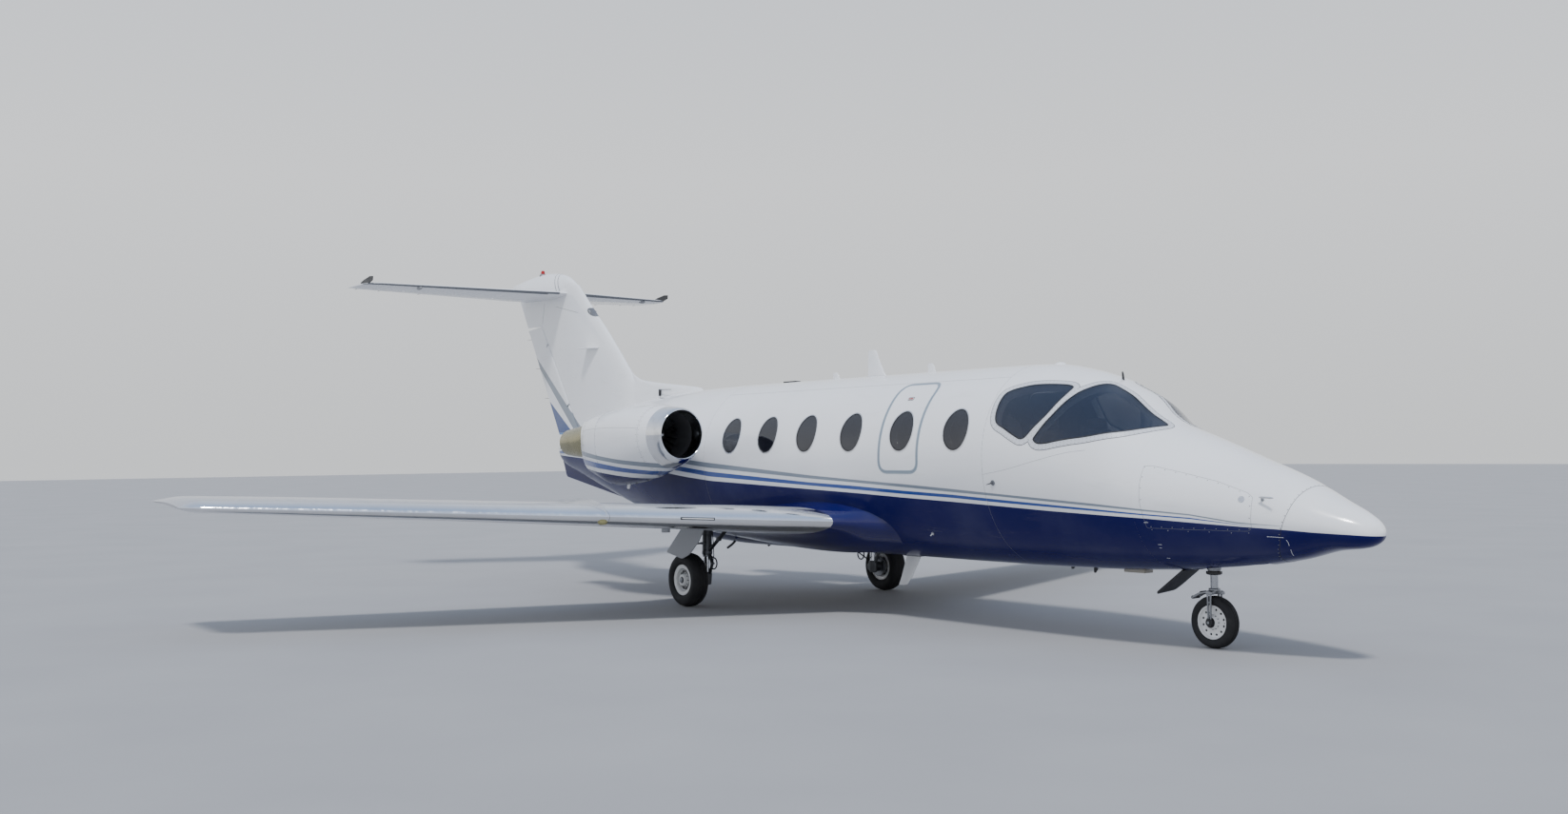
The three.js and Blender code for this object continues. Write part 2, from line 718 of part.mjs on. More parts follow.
function flapRegion(sign, grow) {
  const front = FLAP_FRONT.map(([y, s], i) => {
    const end = i === 0 ? -grow : i === FLAP_FRONT.length - 1 ? grow : 0;
    return [s - grow, sign * (y + end)];
  });
  const [inner, outer] = [FLAP_FRONT[0][0] - grow, FLAP_FRONT[FLAP_FRONT.length - 1][0] + grow];
  return topPrism([...front, [9300, sign * outer], [9300, sign * inner]], 300, 1700);
}

function buildWing({ name, sign }) {
  const whole = loft(WING_ROWS.map((row) => wingRow(row, sign)));
  const flap = whole.intersect(flapRegion(sign, 0));
  const [padX, padY] = [X(JACK_PAD.station), sign * JACK_PAD.side];
  const pad = bar([padX, padY, JACK_PAD.face], [padX, padY, JACK_PAD.top], JACK_PAD.radius, 24);
  addPart("wing_" + name, whole.subtract(flapRegion(sign, SEAM)).add(pad), GREY_PAINT);
  addPart("flap_" + name, flap, GREY_PAINT);
  const rib = wingRow([WING.rib, 1, WING_ROWS[0][2], WING_ROWS[0][3]], sign);
  rib.forEach((p) => (p.y -= sign * SEAM));
  const fairing = FAIRING_ROWS.map(([y, ahead, behind, ratio]) => {
    const { leading, trailing } = wingEdges(y);
    return wingRing(y, sign, leading - ahead, trailing - leading + ahead + behind, ratio, WING_ROWS[0][3]);
  });
  addPart("wing_fairing_" + name, loft([...fairing, rib]).subtract(hullSeat), NAVY_PAINT);
}

// Fin and rudder share one outline: leading edge from a table, trailing edge and hinge as straight lines.
const rudderHinge = (z) => RUDDER.hingeStation + RUDDER.hingeSlope * (z - RUDDER.low);
const rudderTrailing = (z) => RUDDER.trailing + RUDDER.trailingSlope * (z - RUDDER.low);
const HINGE_LEAN = Math.atan(RUDDER.hingeSlope);

// Half thickness of the fin at a station and height.
function finHalf(rows, station, z) {
  const leading = columnAt(rows, z, 1);
  const greatest = columnAt(rows, z, 2);
  return greatest * aerofoilHalf((station - leading) / (rudderTrailing(z) - leading));
}

// A level section of the fin between two stations.
function finRing(rows, z, from, to) {
  const stations = chordShares.map((u) => lerp(from, to, u));
  const side = (sign) => stations.map((s) => new THREE.Vector3(X(s), sign * finHalf(rows, s, z), z));
  return [...side(1), ...side(-1).reverse()];
}

const noseRadius = (z) => finHalf(FIN_ROWS, rudderHinge(z), z);

// A level section of the rudder: a round nose about the hinge line, then a taper to the trailing edge.
function rudderRing(z, heightAt) {
  const steps = 6;
  const hinge = rudderHinge(z);
  const radius = noseRadius(z);
  const lift = (s) => heightAt((s - hinge) / (rudderTrailing(z) - hinge));
  const nose = Array.from({ length: steps + 1 }, (_, k) => {
    const angle = Math.PI / 2 + (k * Math.PI) / steps;
    const s = hinge + (radius / Math.cos(HINGE_LEAN)) * Math.cos(angle);
    return new THREE.Vector3(X(s), radius * Math.sin(angle), lift(s));
  });
  const tail = (sign) =>
    [0.5, 1].map((share) => {
      const s = lerp(hinge, rudderTrailing(z), share);
      return new THREE.Vector3(X(s), sign * lerp(radius, 5, share), lift(s));
    });
  return [...nose, ...tail(-1), ...tail(1).reverse()];
}

// A solid made about the Z axis, moved so that Z lies along a line from a point.
function alongLine(solid, point, direction) {
  const upright = new THREE.Vector3(0, 0, 1);
  const turn = new THREE.Quaternion().setFromUnitVectors(upright, direction.clone().normalize());
  const matrix = new THREE.Matrix4().compose(point, turn, new THREE.Vector3(1, 1, 1));
  return solid.transform(matrix.toArray());
}

// Hinge lugs and the notches they stand in, along a hinge line. The lug reaches from ahead of the line.
const LUG = { half: 16, thick: 22, barrel: 15, behind: 46 };
function lugs(places, direction, reach) {
  return places.map((point) => {
    const plate = box(0, reach, -LUG.thick / 2, LUG.thick / 2, -LUG.half, LUG.half);
    const barrel = solidOf(
      new THREE.CylinderGeometry(LUG.barrel, LUG.barrel, 2 * LUG.half, 16).rotateX(Math.PI / 2),
    );
    return alongLine(plate.add(barrel), point, direction);
  });
}
function notches(places, direction, ahead, wide) {
  return places.map((point) =>
    alongLine(box(-LUG.behind, ahead, -wide, wide, -LUG.half - SEAM, LUG.half + SEAM), point, direction),
  );
}

const unionOf = (solids) => solids.reduce((sum, piece) => sum.add(piece));
const cutBy = (solid, tools) => tools.reduce((left, tool) => left.subtract(tool), solid);

// The tailplane's sections; the height and thickness grow to make the slot it sits in.
function tailRing([y, leading, trailing, height, half], sign, grow) {
  const place = (u, side) => {
    const s = lerp(leading - grow, trailing + grow, u);
    return new THREE.Vector3(X(s), sign * y, height + side * (half * aerofoilHalf(u) + grow));
  };
  const upper = chordShares.map((u) => place(u, 1));
  const lower = chordShares.slice().reverse().map((u) => place(u, -1));
  return [...upper, ...lower];
}

function tailplaneLoft(grow) {
  const starboard = TAILPLANE_ROWS.slice(1).reverse().map((row) => tailRing(row, -1, grow));
  const port = TAILPLANE_ROWS.map((row) => tailRing(row, 1, grow));
  return loft([...starboard, ...port]);
}

const hingeShare = (y) => (y - ELEVATOR.inner) / (ELEVATOR.outer - ELEVATOR.inner);
const elevatorHinge = (y) => lerp(ELEVATOR.hingeInner, ELEVATOR.hingeOuter, hingeShare(y));
const tailColumn = (y, column) => columnAt(TAILPLANE_ROWS, y, column);

// Half thickness of the tailplane at a station and a distance outboard.
function tailHalf(station, y) {
  const [leading, trailing] = [tailColumn(y, 1), tailColumn(y, 2)];
  return tailColumn(y, 4) * aerofoilHalf((station - leading) / (trailing - leading));
}

// A section of an elevator: a round nose about the hinge line and a taper to the trailing edge.
function elevatorRing(y, sign, lean) {
  const steps = 6;
  const hinge = elevatorHinge(y);
  const radius = tailHalf(hinge, y);
  const height = tailColumn(y, 3);
  const trailing = tailColumn(y, 2);
  const nose = Array.from({ length: steps + 1 }, (_, k) => {
    const angle = Math.PI / 2 + (k * Math.PI) / steps;
    const s = hinge + (radius / Math.cos(lean)) * Math.cos(angle);
    return new THREE.Vector3(X(s), sign * y, height + radius * Math.sin(angle));
  });
  const tail = (side) =>
    [0.5, 1].map((share) => {
      const s = lerp(hinge, trailing, share);
      return new THREE.Vector3(X(s), sign * y, height + side * lerp(radius, 4, share));
    });
  return [...nose, ...tail(-1), ...tail(1).reverse()];
}

function buildTail() {
  const rudderGap = (z) => (noseRadius(z) + RUNNING) / Math.cos(HINGE_LEAN);
  const finLow = FIN_ROWS.map(([z]) => z).filter((z) => z < FIN_OVER_RUDDER);
  const behindHinge = [...finLow, FIN_OVER_RUDDER].map((z) =>
    finRing(FIN_ROWS, z, columnAt(FIN_ROWS, z, 1), rudderHinge(z) - rudderGap(z)),
  );
  const overRudder = [FIN_OVER_RUDDER, 3727, 4090].map((z) =>
    finRing(FIN_ROWS, z, columnAt(FIN_ROWS, z, 1), rudderTrailing(z)),
  );
  const dorsal = loft(DORSAL_ROWS.map(([z, leading]) => finRing(DORSAL_ROWS, z, leading, 11400)));
  const bullet = loft(
    BULLET_ROWS.map(([s, top, bottom, half]) =>
      Array.from({ length: 12 }, (_, k) => {
        const angle = (k * Math.PI) / 6;
        const [y, z] = [half * Math.cos(angle), lerp(bottom, top, 0.5 + 0.5 * Math.sin(angle))];
        return new THREE.Vector3(X(s), y, z);
      }),
    ),
  );
  const hingeUp = new THREE.Vector3(-RUDDER.hingeSlope, 0, 1);
  const places = [2380, 3280].map((z) => new THREE.Vector3(X(rudderHinge(z)), 0, z));
  const fin = unionOf([
    loft(behindHinge),
    loft(overRudder),
    dorsal,
    bullet,
    ...lugs(places, hingeUp, 130),
  ]);
  addPart("fin", fin.subtract(hullSeat).subtract(tailplaneLoft(SEAM)), WHITE_PAINT);

  const level = (z) => () => z;
  const rudder = loft([
    rudderRing(RUDDER.low, level(RUDDER.low)),
    rudderRing(2540, level(2540)),
    rudderRing(3053, level(3053)),
    rudderRing(RUDDER.high, (share) => lerp(RUDDER.high, RUDDER.highAtTrailing, Math.max(share, 0))),
  ]);
  addPart("rudder", cutBy(rudder, notches(places, hingeUp, 400, 200)), WHITE_PAINT);

  const long = ELEVATOR.outer - ELEVATOR.inner;
  const rake = (ELEVATOR.hingeOuter - ELEVATOR.hingeInner) / long;
  const lean = Math.atan(rake);
  const rise = (tailColumn(ELEVATOR.outer, 3) - tailColumn(ELEVATOR.inner, 3)) / long;
  let stabilizer = tailplaneLoft(0);
  for (const { name, sign } of SIDES) {
    const rings = [ELEVATOR.inner, ELEVATOR.outer].map((y) => elevatorRing(y, sign, lean));
    const line = new THREE.Vector3(-rake, sign, rise);
    const at = (y) => new THREE.Vector3(X(elevatorHinge(y)), sign * y, tailColumn(y, 3));
    const hinges = [650, 1850].map(at);
    // Space behind the hinge line, from the nose of the elevator with its running clearance
    const ahead = (y) => elevatorHinge(y) - (tailHalf(elevatorHinge(y), y) + RUNNING) / Math.cos(lean);
    const [from, to] = [ELEVATOR.inner - RUNNING, ELEVATOR.outer + 2 * RUNNING];
    const region = topPrism(
      [
        [ahead(ELEVATOR.inner), sign * from],
        [ahead(ELEVATOR.inner), sign * ELEVATOR.inner],
        [ahead(ELEVATOR.outer), sign * ELEVATOR.outer],
        [ahead(ELEVATOR.outer), sign * to],
        [15500, sign * to],
        [15500, sign * from],
      ],
      3700,
      4400,
    );
    stabilizer = unionOf([stabilizer.subtract(region), ...lugs(hinges, line, 110)]);
    const elevator = cutBy(loft(rings), notches(hinges, line, 400, 200));
    addPart("elevator_" + name, elevator, WHITE_PAINT);
  }
  addPart("stabilizer", stabilizer, WHITE_PAINT);
}

// Radius of the duct inside the nacelle at a station.
const ductRadius = (station) => columnAt(DUCT_ROWS, station, 1);

// A share from -1 to 1 raised to a power with its sign kept.
const fuller = (share, power) => Math.sign(share) * Math.abs(share) ** power;

function nacelleLoft(rows, grow) {
  return loft(
    rows.map(([s, up, down, across, power]) =>
      Array.from({ length: ENGINE_AROUND }, (_, k) => {
        const angle = (k * 2 * Math.PI) / ENGINE_AROUND;
        const [c, t] = [Math.cos(angle), Math.sin(angle)].map((share) => fuller(share, power));
        return new THREE.Vector3(X(s), (across + grow) * c, ((t > 0 ? up : down) + grow) * t);
      }),
    ),
  );
}

// A plug about the engine's centre line that runs a little past the ends of its rows.
function boreAlongX(rows) {
  const [first, last] = [rows[0], rows[rows.length - 1]];
  return turnedAlongX(
    [
      [0, X(first[0] - CUT_PAST)],
      [first[1], X(first[0] - CUT_PAST)],
      ...rows.map(([s, r]) => [r, X(s)]),
      [last[1], X(last[0] + CUT_PAST)],
      [0, X(last[0] + CUT_PAST)],
    ],
    ENGINE_AROUND,
  );
}

// The nozzle's outside, or its bore when it is made smaller; the bore runs past both ends.
function nozzleSolid(smaller) {
  const past = smaller ? CUT_PAST : 0;
  const last = NOZZLE_ROWS.length - 1;
  const ends = (s, row) => s + (row === last ? past : 0) - (row === 0 ? past : 0);
  return loft(
    NOZZLE_ROWS.map(([s, drop, radius], row) =>
      Array.from({ length: ENGINE_AROUND }, (_, k) => {
        const angle = (k * 2 * Math.PI) / ENGINE_AROUND;
        const r = radius - smaller;
        return new THREE.Vector3(X(ends(s, row)), r * Math.cos(angle), r * Math.sin(angle) - drop);
      }),
    ),
  );
}

// One engine in its own frame: the engine's centre line is y = 0, z = 0.
function buildEngine({ name, sign }) {
  const engine = new THREE.Group();
  engine.position.set(0, sign * ENGINE.side, ENGINE.height);
  jet.add(engine);

  const nacelle = nacelleLoft(NACELLE_ROWS, 0).subtract(boreAlongX(DUCT_ROWS));
  addPart("nacelle_" + name, nacelle, WHITE_PAINT, engine);
  const lip = nacelleLoft(LIP_ROWS, 0).subtract(boreAlongX(THROAT_ROWS));
  addPart("inlet_lip_" + name, lip, POLISHED, engine);

  const fanX = X(FAN.station);
  const hub = turnedAlongX(
    [
      [0, fanX - FAN.depth],
      [26, fanX - FAN.depth],
      [30, fanX - 50],
      [FAN.hub, fanX - 50],
      [FAN.hub, fanX + 40],
      [62, fanX + 80],
      [30, fanX + 125],
      [0, fanX + FAN.spinner],
    ],
    24,
  );
  const blades = Array.from({ length: BLADE.count }, (_, k) => {
    const root = FAN.hub - BLADE.buried;
    const blade = new THREE.BoxGeometry(BLADE.chord, BLADE.thick, FAN.tip - root);
    blade.translate(0, 0, (FAN.tip + root) / 2).rotateZ(radians(BLADE.pitch));
    return solidOf(blade.rotateX((k * 2 * Math.PI) / BLADE.count).translate(fanX, 0, 0));
  });
  addPart("fan_" + name, unionOf([hub, ...blades]), STEEL, engine);

  // The core's mount ring seats on the duct wall
  const mount = ductRadius(CORE.mountRear) - SEAM;
  const core = turnedAlongX(
    [
      [0, X(CORE.rear)],
      [90, X(CORE.rear)],
      [CORE.radius, X(9120)],
      [CORE.radius, X(CORE.mountRear)],
      [mount, X(CORE.mountRear)],
      [mount, X(CORE.mountFront)],
      [CORE.radius, X(CORE.mountFront)],
      [CORE.radius, X(CORE.front + 60)],
      [150, X(CORE.front)],
      [60, fanX - FAN.depth - SEAM],
      [0, fanX - FAN.depth - SEAM],
    ],
    ENGINE_AROUND,
  );
  addPart("engine_core_" + name, core, STEEL, engine);

  const nozzle = nozzleSolid(0).subtract(nozzleSolid(NOZZLE_WALL));
  addPart("exhaust_nozzle_" + name, nozzle, NOZZLE_METAL, engine);

  // Stub wing between the fuselage and the nacelle
  const around = [
    ...chordShares.map((u) => [u, 1]),
    ...chordShares.slice(1).reverse().map((u) => [u, -1]),
  ];
  const pylonRing = (y) =>
    around.map(([u, side]) => {
      const height = PYLON.height + side * PYLON.half * aerofoilHalf(u) + (u ? 0 : 1e-3);
      return new THREE.Vector3(X(lerp(PYLON.front, PYLON.rear, u)), sign * y, height);
    });
  const pylon = loft([PYLON.inner, PYLON.outer].map(pylonRing));
  const nacelleSeat = nacelleLoft(NACELLE_ROWS, SEAM + 0.1).translate([0, sign * ENGINE.side, ENGINE.height]);
  addPart("engine_pylon_" + name, pylon.subtract(hullSeat).subtract(nacelleSeat), WHITE_PAINT);
}

// Tyre and rim about the Y axis, centred on the axle.
function tyreSolid({ tyre, wide, rim }) {
  const half = wide / 2;
  return turnedAlongY(
    [
      [rim + 3, -half * 0.72],
      [rim + 25, -half * 0.9],
      [lerp(rim, tyre, 0.55), -half],
      [tyre - half * 0.55, -half * 0.94],
      [tyre - half * 0.14, -half * 0.66],
      [tyre, -half * 0.28],
      [tyre, half * 0.28],
      [tyre - half * 0.14, half * 0.66],
      [tyre - half * 0.55, half * 0.94],
      [lerp(rim, tyre, 0.55), half],
      [rim + 25, half * 0.9],
      [rim + 3, half * 0.72],
      [rim + 3, -half * 0.72],
    ],
    WHEEL_AROUND,
  );
}

function rimSolid({ wide, rim, bore, hubHalf }) {
  const half = wide / 2;
  return turnedAlongY(
    [
      [bore, -hubHalf],
      [bore + 26, -hubHalf],
      [rim - 26, -half * 0.45],
      [rim - 16, -half * 0.8],
      [rim + 2.4, -half * 0.8],
      [rim + 2.4, half * 0.8],
      [rim - 16, half * 0.8],
      [rim - 26, half * 0.45],
      [bore + 26, hubHalf],
      [bore, hubHalf],
      [bore, -hubHalf],
    ],
    WHEEL_AROUND,
  );
}

function buildNoseGear() {
  const { station, tyre, bore, hubHalf } = NOSE_GEAR;
  const gear = new THREE.Group();
  gear.position.set(X(station), 0, 0);
  jet.add(gear);
  const collar = 500;
  const leg = unionOf([
    bar([0, 0, collar + SEAM], [0, 0, 640], 36, 24),
    bar([0, 0, 640], [0, 0, WELL.top - SEAM], 52, 24),
    bar([0, 0, 690], [430, 0, WELL.top - 20], 18),
    box(380, 450, -30, 30, WELL.top - 60, WELL.top - SEAM),
  ]);
  addPart("nose_leg", leg, STEEL, gear);

  const crown = tyre * 2 + 14;
  const armInner = hubHalf + SEAM;
  const arms = [-1, 1].map((sign) =>
    unionOf([
      box(-20, 20, sign * armInner, sign * (armInner + 18), tyre - 20, crown + 20),
      bar([0, sign * armInner, tyre], [0, sign * (armInner + 24), tyre], 32),
    ]),
  );
  const fork = unionOf([
    ...arms,
    box(-34, 34, -armInner - 18, armInner + 18, crown, crown + 34),
    bar([0, 0, crown + 20], [0, 0, collar], 44, 24),
    bar([0, -armInner - 2, tyre], [0, armInner + 2, tyre], bore - 1, 24),
    box(-70, -30, -14, 14, crown + 4, crown + 28),
    box(30, 90, -16, 16, crown + 4, crown + 28),
  ]);
  addPart("nose_fork", fork, STEEL, gear);

  const wheel = new THREE.Group();
  wheel.position.set(0, 0, tyre);
  gear.add(wheel);
  addPart("nose_tyre", tyreSolid(NOSE_GEAR), BLACK_TYRE, wheel);
  addPart("nose_rim", rimSolid(NOSE_GEAR), WHITE_PAINT, wheel);

  // The rear door hangs aft and down from its hinge edge
  const flat = topPrism(NOSE_DOOR_OUTLINE.map(([aft, y]) => [LENGTH / 2 + aft, y]), 0, NOSE_DOOR.thick);
  const hung = new THREE.Matrix4().makeTranslation(X(NOSE_DOOR.hinge), 0, NOSE_DOOR.height);
  hung.multiply(new THREE.Matrix4().makeRotationY(radians(-NOSE_DOOR.hang)));
  addPart("nose_gear_door", flat.transform(hung.toArray()).subtract(hullSeat), NAVY_PAINT);
}

function buildMainGear({ name, sign }) {
  const { station, side, tyre, bore, hubHalf } = MAIN_GEAR;
  const x = X(station);
  const legX = x + MAIN_LEG.ahead;
  const legY = side - MAIN_LEG.inboard;
  const gear = new THREE.Group();
  gear.position.set(x, sign * side, tyre);
  jet.add(gear);
  addPart("main_tyre_" + name, tyreSolid(MAIN_GEAR), BLACK_TYRE, gear);
  addPart("main_rim_" + name, rimSolid(MAIN_GEAR), WHITE_PAINT, gear);

  const innerWing = loft(WING_ROWS.slice(0, 3).map((row) => wingRow(row, sign)));
  const wingUnder = innerWing.translate([0, 0, -SEAM - 0.1]);
  const onSide = (y) => sign * y;
  const strut = [
    [0, tyre - 66],
    [44, tyre - 60],
    [52, tyre + 60],
    [38, tyre + 75],
    [38, 540],
    [MAIN_LEG.radius, 555],
    [MAIN_LEG.radius, 900],
    [0, 900],
  ];
  const axle = [
    [0, legY - 30],
    [48, legY - 24],
    [60, side - hubHalf - SEAM],
    [bore - 1, side - hubHalf - SEAM],
    [bore - 1, side + hubHalf],
    [0, side + hubHalf],
  ];
  const leg = unionOf([
    turnedUpright(strut, WHEEL_AROUND, legX, onSide(legY)),
    turnedAlongY(axle.map(([r, y]) => [r, onSide(y)]), WHEEL_AROUND).translate([x, 0, tyre]),
    bar([legX + 5, onSide(legY), 570], [legX + 430, onSide(legY - 20), 900], 24, 12),
    box(legX + 30, legX + 92, onSide(legY - 15), onSide(legY + 17), 366, 572),
  ]);
  addPart("main_leg_" + name, cutBy(leg, [wingUnder]), STEEL);

  // The door stands outboard of the tyre on a link whose inner end seats on the leg
  const plate = sidePrism(MAIN_DOOR, onSide(side + 112), onSide(side + 124));
  const link = box(legX - 25, legX + 25, onSide(legY + 30), onSide(side + 116), 660, 700);
  const legSeat = bar(
    [legX, onSide(legY), 500],
    [legX, onSide(legY), 950],
    MAIN_LEG.radius + SEAM,
    WHEEL_AROUND,
  );
  addPart("main_gear_door_" + name, cutBy(plate.add(link), [legSeat, wingUnder]), GREY_PAINT);
}

buildNose();
buildCockpit();
buildCabin();
buildFurnishings();
buildRearFuselage();
SIDES.forEach(buildWing);
buildTail();
SIDES.forEach(buildEngine);
buildNoseGear();
SIDES.forEach(buildMainGear);

export default jet;
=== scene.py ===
import logging
import math
from collections.abc import Callable, Iterator, Sequence
from contextlib import contextmanager
from dataclasses import dataclass
from enum import Enum

import bmesh
import bpy
import numpy as np
from mathutils import Matrix, Vector


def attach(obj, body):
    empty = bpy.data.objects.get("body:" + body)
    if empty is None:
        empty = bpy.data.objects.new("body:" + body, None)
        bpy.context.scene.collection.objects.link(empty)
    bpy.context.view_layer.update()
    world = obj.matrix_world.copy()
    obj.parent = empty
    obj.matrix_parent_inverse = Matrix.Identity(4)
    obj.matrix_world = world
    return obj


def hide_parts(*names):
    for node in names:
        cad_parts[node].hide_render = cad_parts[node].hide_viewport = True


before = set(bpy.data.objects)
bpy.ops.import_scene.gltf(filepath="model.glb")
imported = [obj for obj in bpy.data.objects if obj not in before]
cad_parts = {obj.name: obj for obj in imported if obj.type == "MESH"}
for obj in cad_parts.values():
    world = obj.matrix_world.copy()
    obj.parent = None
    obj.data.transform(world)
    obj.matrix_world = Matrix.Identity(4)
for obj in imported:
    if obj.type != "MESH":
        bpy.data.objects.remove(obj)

LOG = logging.getLogger("business_jet")
LENGTH = 14750.0
METRE = 0.001
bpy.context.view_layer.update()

Solid = bpy.types.Object
Material = bpy.types.Material
Socket = bpy.types.NodeSocket
Point = tuple[float, float, float]
Outline = Sequence[tuple[float, float]]


class Side(Enum):
    """The two sides of the aircraft, with the sign of their y."""

    STARBOARD = -1
    PORT = 1

    @property
    def label(self) -> str:
        """The side's name as the nodes spell it."""
        return self.name.lower()


class Cut(Enum):
    """What a solid does to another."""

    REMOVE = "DIFFERENCE"
    KEEP = "INTERSECT"
    JOIN = "UNION"


def place(station: float, y: float, z: float) -> Vector:
    """A point in metres from a station, a y and a height in millimetres."""
    return Vector(((LENGTH / 2 - station) * METRE, y * METRE, z * METRE))


def station_of(point: Vector) -> float:
    """The station of a point in metres."""
    return LENGTH / 2 - point.x / METRE


def turns(count: int) -> list[float]:
    """Angles at even steps round a full turn."""
    return [2 * math.pi * k / count for k in range(count)]


class Profile:
    """Rows of numbers against a key, read along a smooth curve that never overshoots."""

    def __init__(self, rows: Sequence[Sequence[float]]) -> None:
        """Keeps the rows and finds a slope for each.

        Args:
            rows: the key first, then the columns, in rising order of the key.
        """
        table = np.array(rows, float)
        self.keys = table[:, 0]
        self.values = table[:, 1:]
        step = np.diff(self.keys)[:, None]
        secant = np.diff(self.values, axis=0) / step
        slopes = np.zeros_like(self.values)
        slopes[0], slopes[-1] = secant[0], secant[-1]
        for i in range(1, len(self.keys) - 1):
            before, after = secant[i - 1], secant[i]
            weight_a = 2 * step[i] + step[i - 1]
            weight_b = step[i] + 2 * step[i - 1]
            same = before * after > 0
            safe_a = np.where(same, before, 1.0)
            safe_b = np.where(same, after, 1.0)
            mean = (weight_a + weight_b) / (weight_a / safe_a + weight_b / safe_b)
            slopes[i] = np.where(same, mean, 0.0)
        self.slopes = slopes

    def at(self, key: float) -> np.ndarray:
        """The columns at a key.

        Args:
            key: the place along the curve.

        Returns:
            One number a column.
        """
        key = float(np.clip(key, self.keys[0], self.keys[-1]))
        i = int(np.clip(np.searchsorted(self.keys, key) - 1, 0, len(self.keys) - 2))
        width = self.keys[i + 1] - self.keys[i]
        t = (key - self.keys[i]) / width
        a, b = self.values[i], self.values[i + 1]
        return (
            (1 + 2 * t) * (1 - t) ** 2 * a
            + t * (1 - t) ** 2 * width * self.slopes[i]
            + t * t * (3 - 2 * t) * b
            + t * t * (t - 1) * width * self.slopes[i + 1]
        )


# Meshes and solids


@contextmanager
def editing(mesh: bpy.types.Mesh) -> Iterator[bmesh.types.BMesh]:
    """Opens a mesh for changes and writes them back.

    Args:
        mesh: the mesh.

    Yields:
        Its editable form.
    """
    work = bmesh.new()
    work.from_mesh(mesh)
    yield work
    work.to_mesh(mesh)
    work.free()


def link(name: str, data: bpy.types.ID) -> Solid:
    """A new object in the scene that shows some data.

    Args:
        name: the object's name.
        data: its mesh, light or camera.

    Returns:
        The object.
    """
    made = bpy.data.objects.new(name, data)
    bpy.context.scene.collection.objects.link(made)
    return made


def new_object(
    name: str,
    vertices: Sequence[Sequence[float]],
    faces: Sequence[Sequence[int]],
    merge: float = 1e-6,
    dissolve: bool = False,
) -> Solid:
    """A mesh object with its doubles merged and its faces turned outward.

    Args:
        name: the object's name.
        vertices: the points, in metres.
        faces: the corners of each face.
        merge: how close two points are when they become one.
        dissolve: whether faces without area are dissolved.

    Returns:
        The new object.
    """
    mesh = bpy.data.meshes.new(name)
    mesh.from_pydata([tuple(v) for v in vertices], [], [tuple(f) for f in faces])
    with editing(mesh) as work:
        bmesh.ops.remove_doubles(work, verts=work.verts, dist=merge)
        if dissolve:
            bmesh.ops.dissolve_degenerate(work, dist=1e-8, edges=work.edges)
        bmesh.ops.recalc_face_normals(work, faces=work.faces)
    return link(name, mesh)


def discard(*spares: Solid) -> None:
    """Removes objects and their meshes.

    Args:
        spares: the objects.
    """
    for spare in spares:
        mesh = spare.data
        bpy.data.objects.remove(spare)
        if not mesh.users:
            bpy.data.meshes.remove(mesh)


def bake_modifiers(made: Solid) -> Solid:
    """Puts the result of an object's modifiers into its mesh and removes them.

    Args:
        made: the object.

    Returns:
        The same object.
    """
    bpy.context.view_layer.update()
    graph = bpy.context.evaluated_depsgraph_get()
    mesh = bpy.data.meshes.new_from_object(made.evaluated_get(graph))
    made.modifiers.clear()
    old = made.data
    made.data = mesh
    mesh.name = made.name
    if not old.users:
        bpy.data.meshes.remove(old)
    return made


def cut(made: Solid, tool: Solid, how: Cut = Cut.REMOVE, keep_tool: bool = False) -> Solid:
    """Cuts one solid by another.

    Args:
        made: the solid that changes.
        tool: the solid that cuts.
        how: what the tool does.
        keep_tool: whether the tool is used again.

    Returns:
        The changed solid.
    """
    modifier = made.modifiers.new("cut", "BOOLEAN")
    modifier.operation = how.value
    modifier.solver = "MANIFOLD"
    modifier.object = tool
    bake_modifiers(made)
    if not keep_tool:
        discard(tool)
    return made


def copy_of(made: Solid, name: str) -> Solid:
    """A copy of an object with its own mesh."""
    return link(name, made.data.copy())


def join(name: str, parts: Sequence[Solid]) -> Solid:
    """Several objects as one mesh, without cutting them.

    Args:
        name: the new object's name.
        parts: the objects, which are removed.

    Returns:
        The new object.
    """
    work = bmesh.new()
    slots: list[Material] = []
    for part in parts:
        start = len(work.faces)
        work.from_mesh(part.data)
        work.faces.ensure_lookup_table()
        slots += [m for m in part.data.materials if m not in slots]
        index = [slots.index(m) for m in part.data.materials]
        for face in work.faces[start:]:
            face.material_index = index[face.material_index] if index else 0
    mesh = bpy.data.meshes.new(name)
    work.to_mesh(mesh)
    work.free()
    for material in slots:
        mesh.materials.append(material)
    discard(*parts)
    return link(name, mesh)


def smooth(made: Solid, angle: float) -> None:
    """Shades an object smooth, apart from edges that are sharper than an angle.

    Args:
        made: the object.
        angle: the angle in degrees.
    """
    with editing(made.data) as work:
        for face in work.faces:
            face.smooth = True
        for edge in work.edges:
            edge.smooth = len(edge.link_faces) == 2 and edge.calc_face_angle(0.0) < math.radians(angle)


def loft(name: str, rings: Sequence[Sequence[Sequence[float]]]) -> Solid:
    """A closed body through rings that have equal counts of points.

    Args:
        name: the object's name.
        rings: the sections in order.

    Returns:
        The body.
    """
    count = len(rings[0])
    vertices = [point for ring in rings for point in ring]
    faces: list[tuple[int, ...]] = []
    for r in range(len(rings) - 1):
        for k in range(count):
            a, b = r * count + k, r * count + (k + 1) % count
            faces.append((a, b, b + count, a + count))
    for r in (0, len(rings) - 1):
        middle = len(vertices)
        vertices.append(tuple(np.mean(np.array([tuple(p) for p in rings[r]]), axis=0)))
        faces += [(r * count + k, r * count + (k + 1) % count, middle) for k in range(count)]
    return new_object(name, vertices, faces)


